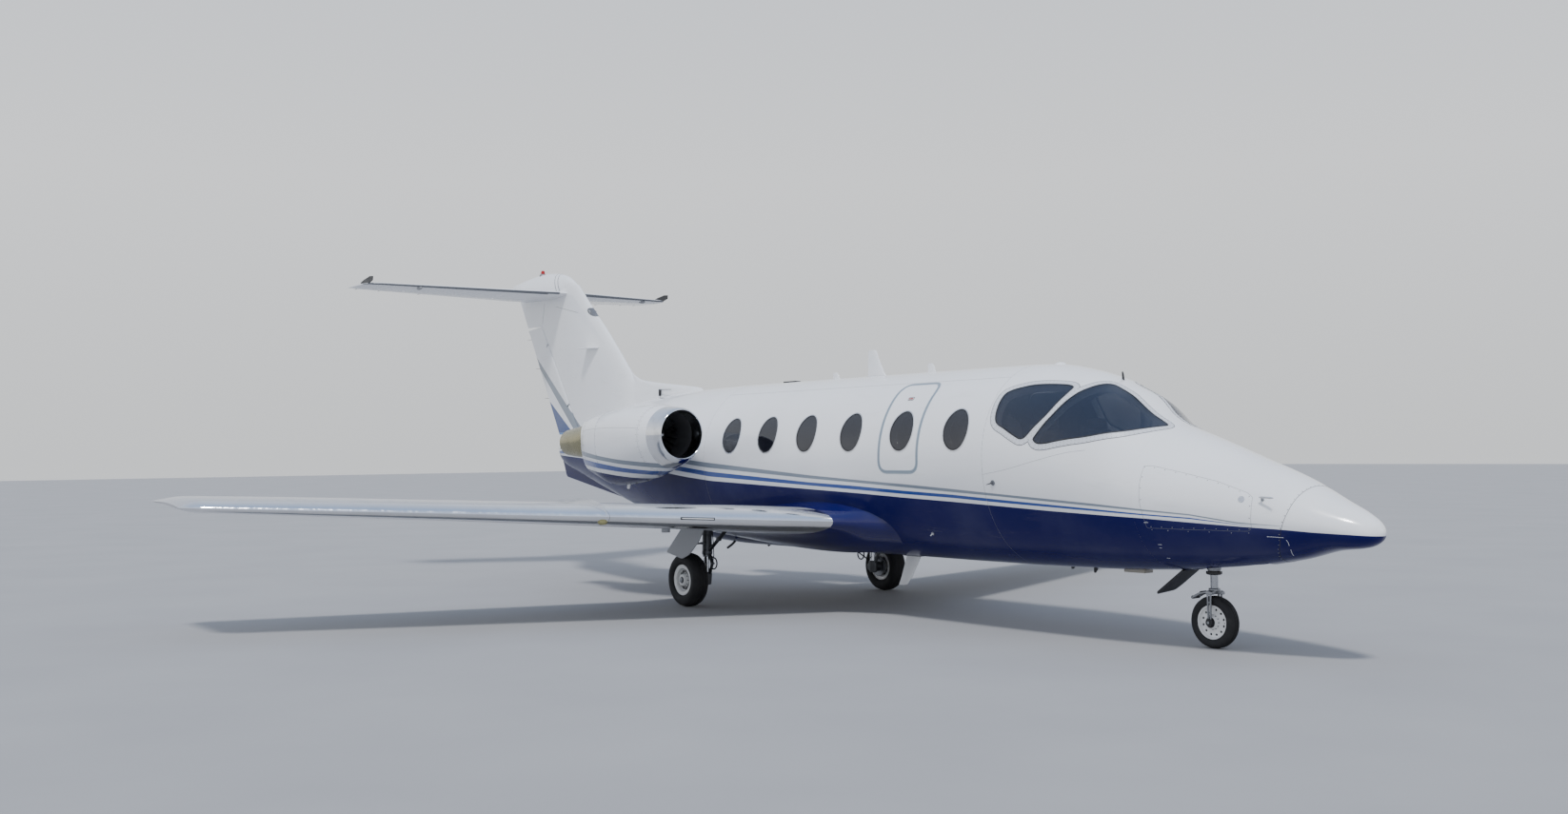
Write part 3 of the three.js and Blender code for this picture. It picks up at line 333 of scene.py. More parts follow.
def closed_strip(name: str, sections: Sequence[Sequence[Vector]]) -> Solid:
    """A ring made of equal sections, the last joined to the first.

    Args:
        name: the object's name.
        sections: the sections in order, each a closed outline.

    Returns:
        The ring.
    """
    count = len(sections[0])
    faces = []
    for i in range(len(sections)):
        n = (i + 1) % len(sections)
        for k in range(count):
            m = (k + 1) % count
            faces.append((i * count + k, i * count + m, n * count + m, n * count + k))
    return new_object(name, [p for section in sections for p in section], faces)


def tube(name: str, path: Sequence[Sequence[float]], radius: float | Sequence[float], sides: int = 12) -> Solid:
    """A round bar along a path.

    Args:
        name: the object's name.
        path: the middle line, in metres.
        radius: one radius or one for each point, in metres.
        sides: the points round it.

    Returns:
        The bar.
    """
    points = [Vector(p) for p in path]
    radii = [radius] * len(points) if isinstance(radius, (int, float)) else list(radius)
    rings = []
    frame_x = None
    for i, point in enumerate(points):
        along = (points[min(i + 1, len(points) - 1)] - points[max(i - 1, 0)]).normalized()
        if frame_x is None:
            frame_x = along.orthogonal().normalized()
        frame_x = (frame_x - along * frame_x.dot(along)).normalized()
        frame_y = along.cross(frame_x)
        rings.append([point + radii[i] * (math.cos(t) * frame_x + math.sin(t) * frame_y) for t in turns(sides)])
    return loft(name, rings)


def turned(name: str, profile: Outline, segments: int, axis: str, at: Sequence[float] = (0, 0, 0)) -> Solid:
    """An outline turned about an axis.

    Args:
        name: the object's name.
        profile: radius and place along the axis, in millimetres; it closes itself, or ends on the axis.
        segments: the points round it.
        axis: X, Y or Z.
        at: a point in metres that moves the result.

    Returns:
        The turned solid.
    """
    spin = {
        "X": lambda r, a, t: (a, r * math.cos(t), r * math.sin(t)),
        "Y": lambda r, a, t: (r * math.sin(t), a, r * math.cos(t)),
        "Z": lambda r, a, t: (r * math.cos(t), r * math.sin(t), a),
    }[axis]
    count = len(profile)
    last = count - 1 if profile[0][0] == 0 and profile[-1][0] == 0 else count
    vertices, faces = [], []
    for k, angle in enumerate(turns(segments)):
        for r, a in profile:
            vertices.append([c + shift for c, shift in zip(spin(r * METRE, a * METRE, angle), at)])
        following = (k + 1) % segments * count
        for i in range(last):
            n = (i + 1) % count
            faces.append((k * count + i, k * count + n, following + n, following + i))
    return new_object(name, vertices, faces, 1e-7, True)


def block(name: str, low: Sequence[float], high: Sequence[float], bevel: float = 0.0) -> Solid:
    """A box between two corners, with rounded edges where a bevel is given.

    Args:
        name: the object's name.
        low: one corner, in metres.
        high: the opposite corner, in metres.
        bevel: the width of the rounding, in metres.

    Returns:
        The box.
    """
    work = bmesh.new()
    bmesh.ops.create_cube(work, size=1.0)
    middle = [(a + b) / 2 for a, b in zip(low, high)]
    size = [abs(b - a) for a, b in zip(low, high)]
    bmesh.ops.transform(work, matrix=Matrix.Translation(middle) @ Matrix.Diagonal((*size, 1)), verts=work.verts)
    if bevel:
        edges = work.edges[:] + work.verts[:]
        bmesh.ops.bevel(work, geom=edges, offset=bevel, segments=3, profile=0.5, affect="EDGES")
    mesh = bpy.data.meshes.new(name)
    work.to_mesh(mesh)
    work.free()
    return link(name, mesh)


def prism(name: str, first: Sequence[Vector], second: Sequence[Vector]) -> Solid:
    """A solid with flat ends between two equal outlines.

    Args:
        name: the object's name.
        first: one end's points.
        second: the other end's points.

    Returns:
        The prism.
    """
    count = len(first)
    sides = [(k, (k + 1) % count, (k + 1) % count + count, k + count) for k in range(count)]
    return new_object(name, [*first, *second], [range(count), range(count, 2 * count), *sides])


def side_prism(name: str, outline: Outline, y0: float, y1: float) -> Solid:
    """An outline of station and height, drawn out from one y to another, in millimetres."""
    return prism(name, *[[place(s, y, z) for s, z in outline] for y in (y0, y1)])


def top_prism(name: str, outline: Outline, z0: float, z1: float) -> Solid:
    """An outline of station and y, drawn out from one height to another, in millimetres."""
    return prism(name, *[[place(s, y, z) for s, y in outline] for z in (z0, z1)])


def grown(outline: Outline, distance: float) -> list[tuple[float, float]]:
    """A closed outline moved outward by a distance.

    Args:
        outline: its points.
        distance: how far, negative for inward.

    Returns:
        The moved points.
    """
    points = [Vector(p) for p in outline]
    count = len(points)
    area = sum(points[i].x * points[(i + 1) % count].y - points[(i + 1) % count].x * points[i].y for i in range(count))
    turn = -1.0 if area > 0 else 1.0
    moved = []
    for i in range(count):
        before = (points[i] - points[i - 1]).normalized()
        after = (points[(i + 1) % count] - points[i]).normalized()
        normal = Vector((-before.y - after.y, before.x + after.x)).normalized()
        reach = turn * distance / max(0.4, normal.dot(Vector((-after.y, after.x))))
        moved.append((points[i].x + normal.x * reach, points[i].y + normal.y * reach))
    return moved


def rounded(outline: Outline, radius: float, steps: int = 5) -> list[tuple[float, float]]:
    """A closed outline with its corners rounded.

    Args:
        outline: its corners.
        radius: how far from each corner the rounding starts, at most.
        steps: the points on each corner.

    Returns:
        The rounded outline.
    """
    points = [Vector(p) for p in outline]
    made = []
    for i, corner in enumerate(points):
        before, after = points[i - 1], points[(i + 1) % len(points)]
        reach_a = min(radius, (before - corner).length * 0.45)
        reach_b = min(radius, (after - corner).length * 0.45)
        start = corner + (before - corner).normalized() * reach_a
        end = corner + (after - corner).normalized() * reach_b
        for k in range(steps + 1):
            t = k / steps
            made.append(tuple((1 - t) ** 2 * start + 2 * t * (1 - t) * corner + t * t * end))
    return made


def box_outline(front: float, rear: float, low: float, high: float, corner: float) -> list[tuple[float, float]]:
    """A rectangle between two stations and two heights, with rounded corners."""
    return rounded([(front, low), (rear, low), (rear, high), (front, high)], corner * 1.2, 6)


def resampled(outline: Outline, step: float, closed: bool = True) -> list[tuple[float, float]]:
    """Points at even steps along an outline.

    Args:
        outline: its corners.
        step: the spacing.
        closed: whether the last corner joins the first.

    Returns:
        The points.
    """
    points = [Vector(p) for p in outline]
    if closed:
        points.append(points[0])
    lengths = [0.0]
    for a, b in zip(points, points[1:]):
        lengths.append(lengths[-1] + (b - a).length)
    count = max(4, round(lengths[-1] / step))
    places = np.linspace(0, lengths[-1], count + 1)
    xs = np.interp(places, lengths, [p.x for p in points])
    zs = np.interp(places, lengths, [p.y for p in points])
    made = list(zip(xs.tolist(), zs.tolist()))
    return made[:-1] if closed else made


def second_material(made: Solid, test: Callable[[Vector, Vector], bool], index: int = 1) -> None:
    """Gives another of an object's materials to some of its faces.

    Args:
        made: the object.
        test: tells from a face's middle and normal whether it changes.
        index: the material's place in the object's list.
    """
    for face in made.data.polygons:
        if test(face.center, face.normal):
            face.material_index = index


# Finishes


class Graph:
    """A material's nodes, with short calls for the usual ones."""

    def __init__(self, name: str) -> None:
        """Starts an empty material.

        Args:
            name: the material's name.
        """
        self.material = bpy.data.materials.new(name)
        self.material.use_nodes = True
        self.tree = self.material.node_tree
        self.tree.nodes.clear()
        self.output = self.tree.nodes.new("ShaderNodeOutputMaterial")
        coordinates = self.tree.nodes.new("ShaderNodeTexCoord")
        self.position = coordinates.outputs["Object"]
        split = self.tree.nodes.new("ShaderNodeSeparateXYZ")
        self.tree.links.new(self.position, split.inputs[0])
        self.x, self.y, self.z = split.outputs

    def put(self, socket: Socket, value: object) -> None:
        """Links a socket or writes a constant into it.

        Args:
            socket: the socket.
            value: another socket, a number or a colour.
        """
        if isinstance(value, Socket):
            self.tree.links.new(value, socket)
        elif isinstance(value, (tuple, list)) and len(value) == 3 and socket.type == "RGBA":
            socket.default_value = (*value, 1.0)
        else:
            socket.default_value = value

    def math(self, operation: str, *values: object, clamp: bool = False) -> Socket:
        """A sum, product or the like of up to three values.

        Args:
            operation: its name in Blender.
            values: sockets or numbers.
            clamp: whether the result is held between 0 and 1.

        Returns:
            The result.
        """
        node = self.tree.nodes.new("ShaderNodeMath")
        node.operation = operation
        node.use_clamp = clamp
        for socket, value in zip(node.inputs, values):
            self.put(socket, value)
        return node.outputs[0]

    def span(self, value: object, low: float, high: float, out_low: float = 0.0, out_high: float = 1.0) -> Socket:
        """A value turned from one range to another and held inside it.

        Args:
            value: the value.
            low: the first range's start.
            high: its end.
            out_low: the second range's start.
            out_high: its end.

        Returns:
            The turned value.
        """
        node = self.tree.nodes.new("ShaderNodeMapRange")
        node.interpolation_type = "SMOOTHSTEP"
        for name, number in zip(("From Min", "From Max", "To Min", "To Max"), (low, high, out_low, out_high)):
            node.inputs[name].default_value = number
        self.put(node.inputs["Value"], value)
        return node.outputs[0]

    def mix(self, factor: object, first: object, second: object) -> Socket:
        """One colour laid over another by a factor.

        Args:
            factor: how much of the second shows.
            first: the lower colour.
            second: the upper colour.

        Returns:
            The colour.
        """
        node = self.tree.nodes.new("ShaderNodeMix")
        node.data_type = "RGBA"
        self.put(node.inputs["Factor"], factor)
        for socket, colour in zip(node.inputs[6:8], (first, second)):
            self.put(socket, colour)
        return node.outputs[2]

    def noise(self, scale: float, detail: float = 3.0, stretch: Point = (1, 1, 1), rough: float = 0.5) -> Socket:
        """Cloudy noise in the object's own space.

        Args:
            scale: how fine it is.
            detail: how many finer layers it has.
            stretch: its scale along each axis.
            rough: how strong the finer layers are.

        Returns:
            The noise.
        """
        mapping = self.tree.nodes.new("ShaderNodeMapping")
        mapping.inputs["Scale"].default_value = stretch
        self.tree.links.new(self.position, mapping.inputs["Vector"])
        node = self.tree.nodes.new("ShaderNodeTexNoise")
        node.inputs["Scale"].default_value = scale
        node.inputs["Detail"].default_value = detail
        node.inputs["Roughness"].default_value = rough
        self.tree.links.new(mapping.outputs[0], node.inputs["Vector"])
        return node.outputs["Fac"]

    def ramp(self, factor: object, stops: Sequence[tuple[float, Sequence[float]]]) -> bpy.types.Node:
        """A colour ramp with straight steps between its stops.

        Args:
            factor: where the ramp is read.
            stops: the place and the colour of each stop.

        Returns:
            The ramp's node.
        """
        node = self.tree.nodes.new("ShaderNodeValToRGB")
        self.put(node.inputs[0], factor)
        elements = node.color_ramp.elements
        while len(elements) > 1:
            elements.remove(elements[-1])
        for i, (at, colour) in enumerate(stops):
            element = elements[0] if i == 0 else elements.new(at)
            element.position = at
            element.color = (*colour, 1.0) if len(colour) == 3 else tuple(colour)
        return node

    def attribute(self, name: str) -> Socket:
        """A number that the mesh carries.

        Args:
            name: the attribute's name.

        Returns:
            The number.
        """
        node = self.tree.nodes.new("ShaderNodeAttribute")
        node.attribute_name = name
        return node.outputs["Fac"]

    def bump(self, height: object, strength: float, distance: float) -> Socket:
        """A surface relief from a height.

        Args:
            height: the height.
            strength: how strong it is.
            distance: its depth, in metres.

        Returns:
            The normal.
        """
        node = self.tree.nodes.new("ShaderNodeBump")
        node.inputs["Strength"].default_value = strength
        node.inputs["Distance"].default_value = distance
        self.put(node.inputs["Height"], height)
        return node.outputs[0]

    def surface(self, **inputs: object) -> Material:
        """Finishes the material with one principled surface."""
        node = self.tree.nodes.new("ShaderNodeBsdfPrincipled")
        for name, value in inputs.items():
            self.put(node.inputs[name.replace("_", " ").title().replace("Ior", "IOR")], value)
        self.tree.links.new(node.outputs[0], self.output.inputs[0])
        return self.material

    def line(self, along: Socket, start: tuple[float, float], end: tuple[float, float]) -> Socket:
        """The height of a straight line between two points of station and height."""
        slope = (end[1] - start[1]) / (end[0] - start[0])
        return self.math("MULTIPLY_ADD", along, slope, start[1] - slope * start[0])


WHITE = (0.90, 0.91, 0.93)
NAVY = (0.003, 0.004, 0.085)
BLUE = (0.012, 0.060, 0.30)
GREY = (0.22, 0.26, 0.31)

# Paint bands on the side: station, then heights of the navy's top, the blue's two edges and the grey's two edges
BANDS = (
    (0, 993, 0, 0, 0, 0),
    (150, 1004, 0, 0, 0, 0),
    (400, 1017, 0, 0, 0, 0),
    (560, 1030, 1036, 1036, 1058, 1058),
    (664, 1037, 1046, 1046, 1062, 1066),
    (955, 1052, 1066, 1070, 1075, 1086),
    (1340, 1074, 1102, 1113, 1131, 1142),
    (1755, 1098, 1123, 1135, 1159, 1173),
    (2210, 1117, 1147, 1165, 1189, 1211),
    (2715, 1138, 1172, 1195, 1220, 1244),
    (3265, 1166, 1198, 1226, 1255, 1278),
    (3875, 1194, 1230, 1262, 1286, 1316),
    (4530, 1220, 1255, 1288, 1322, 1353),
    (5235, 1253, 1287, 1325, 1359, 1388),
    (6010, 1283, 1321, 1356, 1396, 1431),
    (7850, 1354, 1403, 1458, 1503, 1561),
    (8400, 1398, 1455, 1510, 1553, 1603),
    (8800, 1440, 1491, 1555, 1593, 1643),
    (9150, 1470, 1520, 1589, 1627, 1681),
    (10400, 1560, 1612, 1690, 1730, 1790),
    (11400, 1618, 1672, 1752, 1792, 1852),
    (13200, 1700, 1702, 1702, 1704, 1704),
)
BAND_REAR, BAND_SCALE = 13200.0, 2500.0


@dataclass(frozen=True)
class Finish:
    """A named finish with its main colour."""

    name: str
    colour: Point

    def inputs(self, graph: "Graph") -> dict[str, object]:
        """The surface's inputs, which each kind of finish gives."""
        raise NotImplementedError

    def darker(self, share: float) -> Point:
        """The colour at a share of its brightness."""
        return tuple(c * share for c in self.colour)

    def build(self) -> Material:
        """The finish as a new material."""
        graph = Graph(self.name)
        return graph.surface(**self.inputs(graph))


@dataclass(frozen=True)
class GlossPaint(Finish):
    """Aircraft paint: a clear gloss over a colour that changes a little from place to place."""

    roughness: float = 0.16
    shade: float = 0.06
    coat: float = 0.6

    def over(self, graph: Graph, colour: object) -> dict[str, object]:
        """The inputs that every gloss paint shares.

        Args:
            graph: the material's nodes.
            colour: the clean paint's colour.

        Returns:
            The inputs by name.
        """
        cloud = graph.noise(1.3, 4.0)
        grime = graph.noise(9.0, 5.0, (0.25, 1, 1.4), 0.6)
        toned = graph.mix(graph.span(cloud, 0.35, 0.7, 0.0, self.shade), colour, (0.35, 0.36, 0.40))
        return {
            "base_color": graph.mix(graph.span(grime, 0.56, 0.8, 0.0, 0.10), toned, (0.16, 0.15, 0.14)),
            "roughness": graph.span(grime, 0.4, 0.8, self.roughness, self.roughness + 0.14),
            "coat_weight": self.coat,
            "coat_roughness": 0.05,
            "normal": graph.bump(graph.noise(2.2, 2.0, (0.6, 1, 1)), 0.12, 0.01),
        }

    def inputs(self, graph: Graph) -> dict[str, object]:
        """The paint in its own colour."""
        return self.over(graph, self.colour)


@dataclass(frozen=True)
class LiveryPaint(GlossPaint):
    """White over navy with a blue and a grey line between them."""

    soft: float = 0.0009

    def inputs(self, graph: Graph) -> dict[str, object]:
        """The paint with its bands, read from two colour ramps along the stations.

        Args:
            graph: the material's nodes.

        Returns:
            The inputs by name.
        """
        station = graph.math("MULTIPLY_ADD", graph.x, -1000.0, LENGTH / 2)
        share = graph.math("DIVIDE", station, BAND_REAR)
        rows = [(row[0] / BAND_REAR, [v / BAND_SCALE for v in row[1:]]) for row in BANDS]
        low = graph.ramp(share, [(at, (r[0], r[1], r[2])) for at, r in rows])
        high = graph.ramp(share, [(at, (r[3], r[4], 0.0)) for at, r in rows])
        height = graph.math("DIVIDE", graph.math("MULTIPLY", graph.z, 1000.0), BAND_SCALE)
        under = []
        for ramp, count in ((low, 3), (high, 2)):
            split = graph.tree.nodes.new("ShaderNodeSeparateColor")
            graph.tree.links.new(ramp.outputs["Color"], split.inputs[0])
            for edge in split.outputs[:count]:
                under.append(graph.span(graph.math("SUBTRACT", edge, height), -self.soft, self.soft))
        navy, blue_low, blue_high, grey_low, grey_high = under
        colour = graph.mix(graph.math("SUBTRACT", grey_high, grey_low, clamp=True), self.colour, GREY)
        colour = graph.mix(graph.math("SUBTRACT", blue_high, blue_low, clamp=True), colour, BLUE)
        inputs = self.over(graph, graph.mix(navy, colour, NAVY))
        inputs["coat_weight"] = graph.math("MULTIPLY_ADD", navy, -0.55, self.coat)
        inputs["specular_ior_level"] = graph.math("MULTIPLY_ADD", navy, -0.36, 0.5)
        return inputs


@dataclass(frozen=True)
class FinPaint(GlossPaint):
    """White with a grey and a blue sweep across the foot of the rudder."""

    foot: tuple[float, float] = (1985.0, 1992.0)

    def inputs(self, graph: Graph) -> dict[str, object]:
        """The paint with its sweeps, each between straight lines of station and height.

        Args:
            graph: the material's nodes.

        Returns:
            The inputs by name.
        """
        station = graph.math("MULTIPLY_ADD", graph.x, -1000.0, LENGTH / 2)
        height = graph.math("MULTIPLY", graph.z, 1000.0)
        sweeps = (((12247, 2067), (13511, 3011)), ((12516, 2064), (13405, 2816)), ((12618, 2050), (13139, 2381)))
        grey_front, grey_rear, blue_front = [
            graph.span(graph.math("SUBTRACT", graph.line(station, start, end), height), -3.0, 3.0)
            for start, end in sweeps
        ]
        low, high = self.foot
        colour = graph.mix(graph.math("SUBTRACT", grey_front, grey_rear, clamp=True), self.colour, GREY)
        colour = graph.mix(graph.math("MULTIPLY", blue_front, graph.span(height, low, high)), colour, (0.02, 0.06, 0.22))
        bright = graph.math("MULTIPLY", blue_front, graph.span(height, high, low))
        return self.over(graph, graph.mix(bright, colour, (0.06, 0.22, 0.52)))


@dataclass(frozen=True)
class WingPaint(GlossPaint):
    """Grey paint behind a polished leading edge, told apart by the mesh's share of the chord."""

    polished: float = 0.11

    def inputs(self, graph: Graph) -> dict[str, object]:
        """The paint, and the bare metal ahead of it.

        Args:
            graph: the material's nodes.

        Returns:
            The inputs by name.
        """
        bare = graph.span(graph.attribute("chord"), self.polished - 0.001, self.polished + 0.001, 1.0, 0.0)
        inputs = self.over(graph, graph.mix(bare, self.colour, (0.86, 0.87, 0.89)))
        metal_rough = graph.span(graph.noise(26.0, 5.0, (0.2, 1, 1)), 0.3, 0.75, 0.07, 0.2)
        painted = inputs["roughness"]
        inputs["roughness"] = graph.math("MULTIPLY_ADD", bare, graph.math("SUBTRACT", metal_rough, painted), painted)
        inputs["metallic"] = bare
        inputs["coat_weight"] = graph.math("MULTIPLY", graph.math("SUBTRACT", 1.0, bare), 0.5)
        return inputs


@dataclass(frozen=True)
class BareMetal(Finish):
    """Bare or polished metal with fine scratches."""

    roughness: float = 0.25
    spread: float = 0.15
    relief: float = 0.1
    stretch: Point = (0.3, 1.0, 1.0)

    def inputs(self, graph: Graph) -> dict[str, object]:
        """The metal with its stains and scratches.

        Args:
            graph: the material\'s nodes.

        Returns:
            The inputs by name.
        """
        scratch = graph.noise(60.0, 6.0, self.stretch, 0.65)
        stain = graph.span(graph.noise(5.0, 4.0), 0.45, 0.8, 0.0, 0.55)
        return {
            "base_color": graph.mix(stain, self.colour, self.darker(0.55)),
            "metallic": 1.0,
            "roughness": graph.span(scratch, 0.3, 0.75, self.roughness, self.roughness + self.spread),
            "normal": graph.bump(scratch, self.relief, 0.002),
        }


@dataclass(frozen=True)
class Matte(Finish):
    """Rubber, plastic, trim and near-black painted shade: dull, mottled and finely grained."""

    roughness: float = 0.7
    grain: float = 180.0
    relief: float = 0.3
    wear: Point = (0.2, 0.19, 0.18)
    worn: float = 0.2

    def inputs(self, graph: Graph) -> dict[str, object]:
        """The dull surface with its wear and grain.

        Args:
            graph: the material\'s nodes.

        Returns:
            The inputs by name.
        """
        wide = graph.noise(7.0, 5.0, rough=0.6)
        return {
            "base_color": graph.mix(graph.span(wide, 0.5, 0.85, 0.0, self.worn), self.colour, self.wear),
            "roughness": graph.span(wide, 0.3, 0.8, self.roughness - 0.1, self.roughness + 0.12),
            "normal": graph.bump(graph.noise(self.grain, 4.0), self.relief, 0.003),
        }


@dataclass(frozen=True)
class Leather(Finish):
    """Grained leather with a soft sheen."""

    grain: float = 260.0

    def inputs(self, graph: Graph) -> dict[str, object]:
        """The leather with its creases and grain.

        Args:
            graph: the material\'s nodes.

        Returns:
            The inputs by name.
        """
        cells = graph.tree.nodes.new("ShaderNodeTexVoronoi")
        cells.inputs["Scale"].default_value = self.grain
        graph.tree.links.new(graph.position, cells.inputs["Vector"])
        wide = graph.noise(6.0, 4.0)
        return {
            "base_color": graph.mix(graph.span(wide, 0.4, 0.75, 0.0, 0.7), self.colour, self.darker(0.6)),
            "roughness": graph.span(wide, 0.3, 0.8, 0.42, 0.6),
            "sheen_weight": 0.15,
            "normal": graph.bump(cells.outputs["Distance"], 0.25, 0.002),
        }


@dataclass(frozen=True)
class TintedGlass(Finish):
    """A thin dark pane that shows a little of what is behind it."""

    alpha: float = 0.6

    def inputs(self, graph: Graph) -> dict[str, object]:
        """The pane with a light haze.

        Args:
            graph: the material\'s nodes.

        Returns:
            The inputs by name.
        """
        haze = graph.noise(3.0, 3.0)
        return {
            "base_color": self.colour,
            "roughness": graph.span(haze, 0.3, 0.8, 0.02, 0.07),
            "alpha": graph.span(haze, 0.3, 0.8, self.alpha - 0.04, self.alpha + 0.05),
            "specular_ior_level": 0.6,
            "coat_weight": 0.5,
            "coat_roughness": 0.02,
        }


@dataclass(frozen=True)
class Lens(Finish):
    """A coloured lamp glass."""

    clear: float = 0.35

    def inputs(self, graph: Graph) -> dict[str, object]:
        """The glass with its ribs."""
        ribs = graph.bump(graph.noise(120.0, 2.0, (1, 1, 3)), 0.3, 0.002)
        return {"base_color": self.colour, "roughness": 0.12, "transmission_weight": self.clear, "normal": ribs}


FINISHES = (
    LiveryPaint("livery_paint", WHITE),
    FinPaint("fin_paint", WHITE),
    GlossPaint("white_paint", WHITE),
    GlossPaint("navy_paint", NAVY, 0.14, 0.01, 0.15),
    GlossPaint("frame_paint", (0.68, 0.70, 0.74), 0.3, 0.2),
    GlossPaint("exit_band_paint", (0.27, 0.34, 0.41), 0.3, 0.1),
    GlossPaint("grey_paint", (0.30, 0.31, 0.33), 0.35, 0.2),
    GlossPaint("antenna_tan", (0.34, 0.31, 0.24), 0.35, 0.2),
    Matte("red_paint", (0.35, 0.02, 0.02), 0.4, 140.0, 0.2),
    Matte("joint_grey", (0.16, 0.17, 0.19), 0.6),
    BareMetal("dull_metal", (0.30, 0.31, 0.33), 0.4, 0.2, 0.1),
    BareMetal("rim_metal", (0.74, 0.75, 0.78), 0.22, 0.15, 0.1),
    WingPaint("wing_paint", (0.36, 0.37, 0.39), 0.3, 0.2),
    BareMetal("polished_metal", (0.88, 0.89, 0.91), 0.06, 0.10, 0.03),
    BareMetal("chrome_metal", (0.82, 0.83, 0.84), 0.08, 0.1, 0.03),
    BareMetal("gear_metal", (0.34, 0.35, 0.37), 0.35, 0.25, 0.2),
    # Main gear metal, darkened to paint in the shade that the legs stand in
    BareMetal("leg_metal", (0.13, 0.135, 0.145), 0.4, 0.25, 0.2),
    BareMetal("strut_chrome", (0.42, 0.43, 0.45), 0.16, 0.15, 0.05),
    BareMetal("nozzle_metal", (0.20, 0.19, 0.11), 0.30, 0.25, 0.2),
    BareMetal("fan_metal", (0.40, 0.41, 0.42), 0.25, 0.2, 0.1),
    BareMetal("core_metal", (0.22, 0.20, 0.18), 0.45, 0.25, 0.3),
    # Near-black grey: painted shade inside the intake ducts and in the main wheels' recesses
    Matte("duct_grey", (0.055, 0.055, 0.06), 0.5, 90.0, 0.2),
    # Bare metal with an olive tint that paints in the ground reflected by the exhaust nozzles
    BareMetal("tinted_metal", (0.36, 0.33, 0.20), 0.18, 0.2, 0.12),
    Matte("tyre_rubber", (0.013, 0.013, 0.015), 0.78, 220.0, 0.45, (0.10, 0.095, 0.09), 0.35),
    # Black rubber, which also stands as painted shade inside the wheels' holes
    Matte("seal_rubber", (0.012, 0.012, 0.014), 0.6),
    Matte("black_paint", (0.015, 0.015, 0.018), 0.45, 140.0, 0.2),
    Matte("cabin_lining", (0.52, 0.49, 0.43), 0.75, 300.0, 0.2, (0.35, 0.32, 0.28), 0.3),
    Matte("carpet", (0.09, 0.08, 0.07), 0.9, 500.0, 0.8),
    Matte("panel_plastic", (0.02, 0.02, 0.022), 0.55),
    GlossPaint("rim_paint", (0.86, 0.86, 0.85), 0.35, 0.2),
    Leather("seat_leather", (0.46, 0.40, 0.31)),
    TintedGlass("windshield_glass", (0.012, 0.02, 0.045), 0.62),
    TintedGlass("cabin_glass", (0.012, 0.013, 0.02), 0.8),
    Lens("red_lens", (0.5, 0.01, 0.01)),
    Lens("amber_lens", (0.45, 0.42, 0.2)),
    Lens("clear_lens", (0.8, 0.85, 0.9)),
)


# Fuselage's form

BODY_ROWS = (
    (0, 20, 1030, 990, 1010),
    (30, 95, 1085, 945, 1010),
    (120, 175, 1155, 900, 1020),
    (350, 290, 1270, 868, 1060),
    (660, 400, 1430, 785, 1100),
    (1140, 535, 1615, 700, 1170),
    (1600, 635, 1789, 655, 1240),
    (1830, 680, 1873, 637, 1280),
    (2000, 710, 1970, 628, 1320),
    (2210, 742, 2157, 616, 1380),
    (2400, 767, 2248, 608, 1430),
    (2520, 780, 2306, 604, 1460),
    (2800, 806, 2392, 598, 1520),
    (3220, 832, 2466, 591, 1580),
    (3600, 840, 2477, 588, 1600),
    (8000, 840, 2477, 590, 1600),
    (8600, 825, 2470, 610, 1600),
    (9400, 775, 2445, 720, 1630),
    (10200, 690, 2390, 900, 1680),
    (11000, 570, 2290, 1100, 1720),
    (11800, 430, 2085, 1310, 1740),
    (12400, 306, 1912, 1475, 1740),
    (12650, 185, 1900, 1580, 1755),
    (12850, 84, 1885, 1655, 1775),
    (12960, 34, 1865, 1730, 1800),
)
BODY = Profile(BODY_ROWS)
BODY_END = 12960.0


def hull_point(station: float, angle: float, inset: float = 0.0) -> Vector:
    """The skin at a station and an angle round its section.

    Args:
        station: the station.
        angle: the ellipse's own angle, with 0 at port.
        inset: how much smaller the hull is all round.

    Returns:
        The point in metres.
    """
    half, top, bottom, widest = BODY.at(station)
    rise = top - widest if math.sin(angle) > 0 else widest - bottom
    return place(station, max(half - inset, 4) * math.cos(angle), widest + max(rise - inset, 4) * math.sin(angle))


def body_loft(name: str, inset: float, front: float, rear: float, around: int = 96, step: float = 60.0) -> Solid:
    """The fuselage between two stations, made smaller all round by an inset.

    Args:
        name: the object's name.
        inset: how much smaller it is.
        front: the front station.
        rear: the rear station.
        around: the points round it.
        step: the spacing of its sections.

    Returns:
        The body.
    """
    tip = [700 * (k / 24) ** 2 for k in range(25)]
    middle = np.arange(760, BODY_END - 30, step).tolist()
    stations = [front, *[s for s in [*tip, *middle] if front + 2 < s < rear - 2], rear]
    return loft(name, [[hull_point(s, t, inset) for t in turns(around)] for s in stations])


def skin_at(station: float, y: float, z: float) -> tuple[Vector, Vector]:
    """The skin in the direction of a point of one section.

    Args:
        station: the section's station.
        y: the point's y.
        z: the point's height.

    Returns:
        The point of the skin in metres and the way out of it.
    """
    half, top, bottom, widest = BODY.at(station)
    rise = top - widest if z > widest else widest - bottom
    angle = math.atan2((z - widest) / rise, y / half)
    here = hull_point(station, angle)
    along = hull_point(station + 6, angle) - hull_point(station - 6, angle)
    around = hull_point(station, angle + 0.01) - hull_point(station, angle - 0.01)
    normal = along.cross(around).normalized()
    return here, normal if normal.dot(here - place(station, 0, widest)) >= 0 else -normal


def side_anchor(station: float, z: float) -> Point:
    """A point of the port skin at a station and height.

    Args:
        station: the station.
        z: the height.

    Returns:
        Station, y and height.
    """
    half, top, bottom, widest = BODY.at(station)
    rise = top - widest if z > widest else widest - bottom
    return station, half * math.sqrt(max(1 - ((z - widest) / rise) ** 2, 1e-4)), z


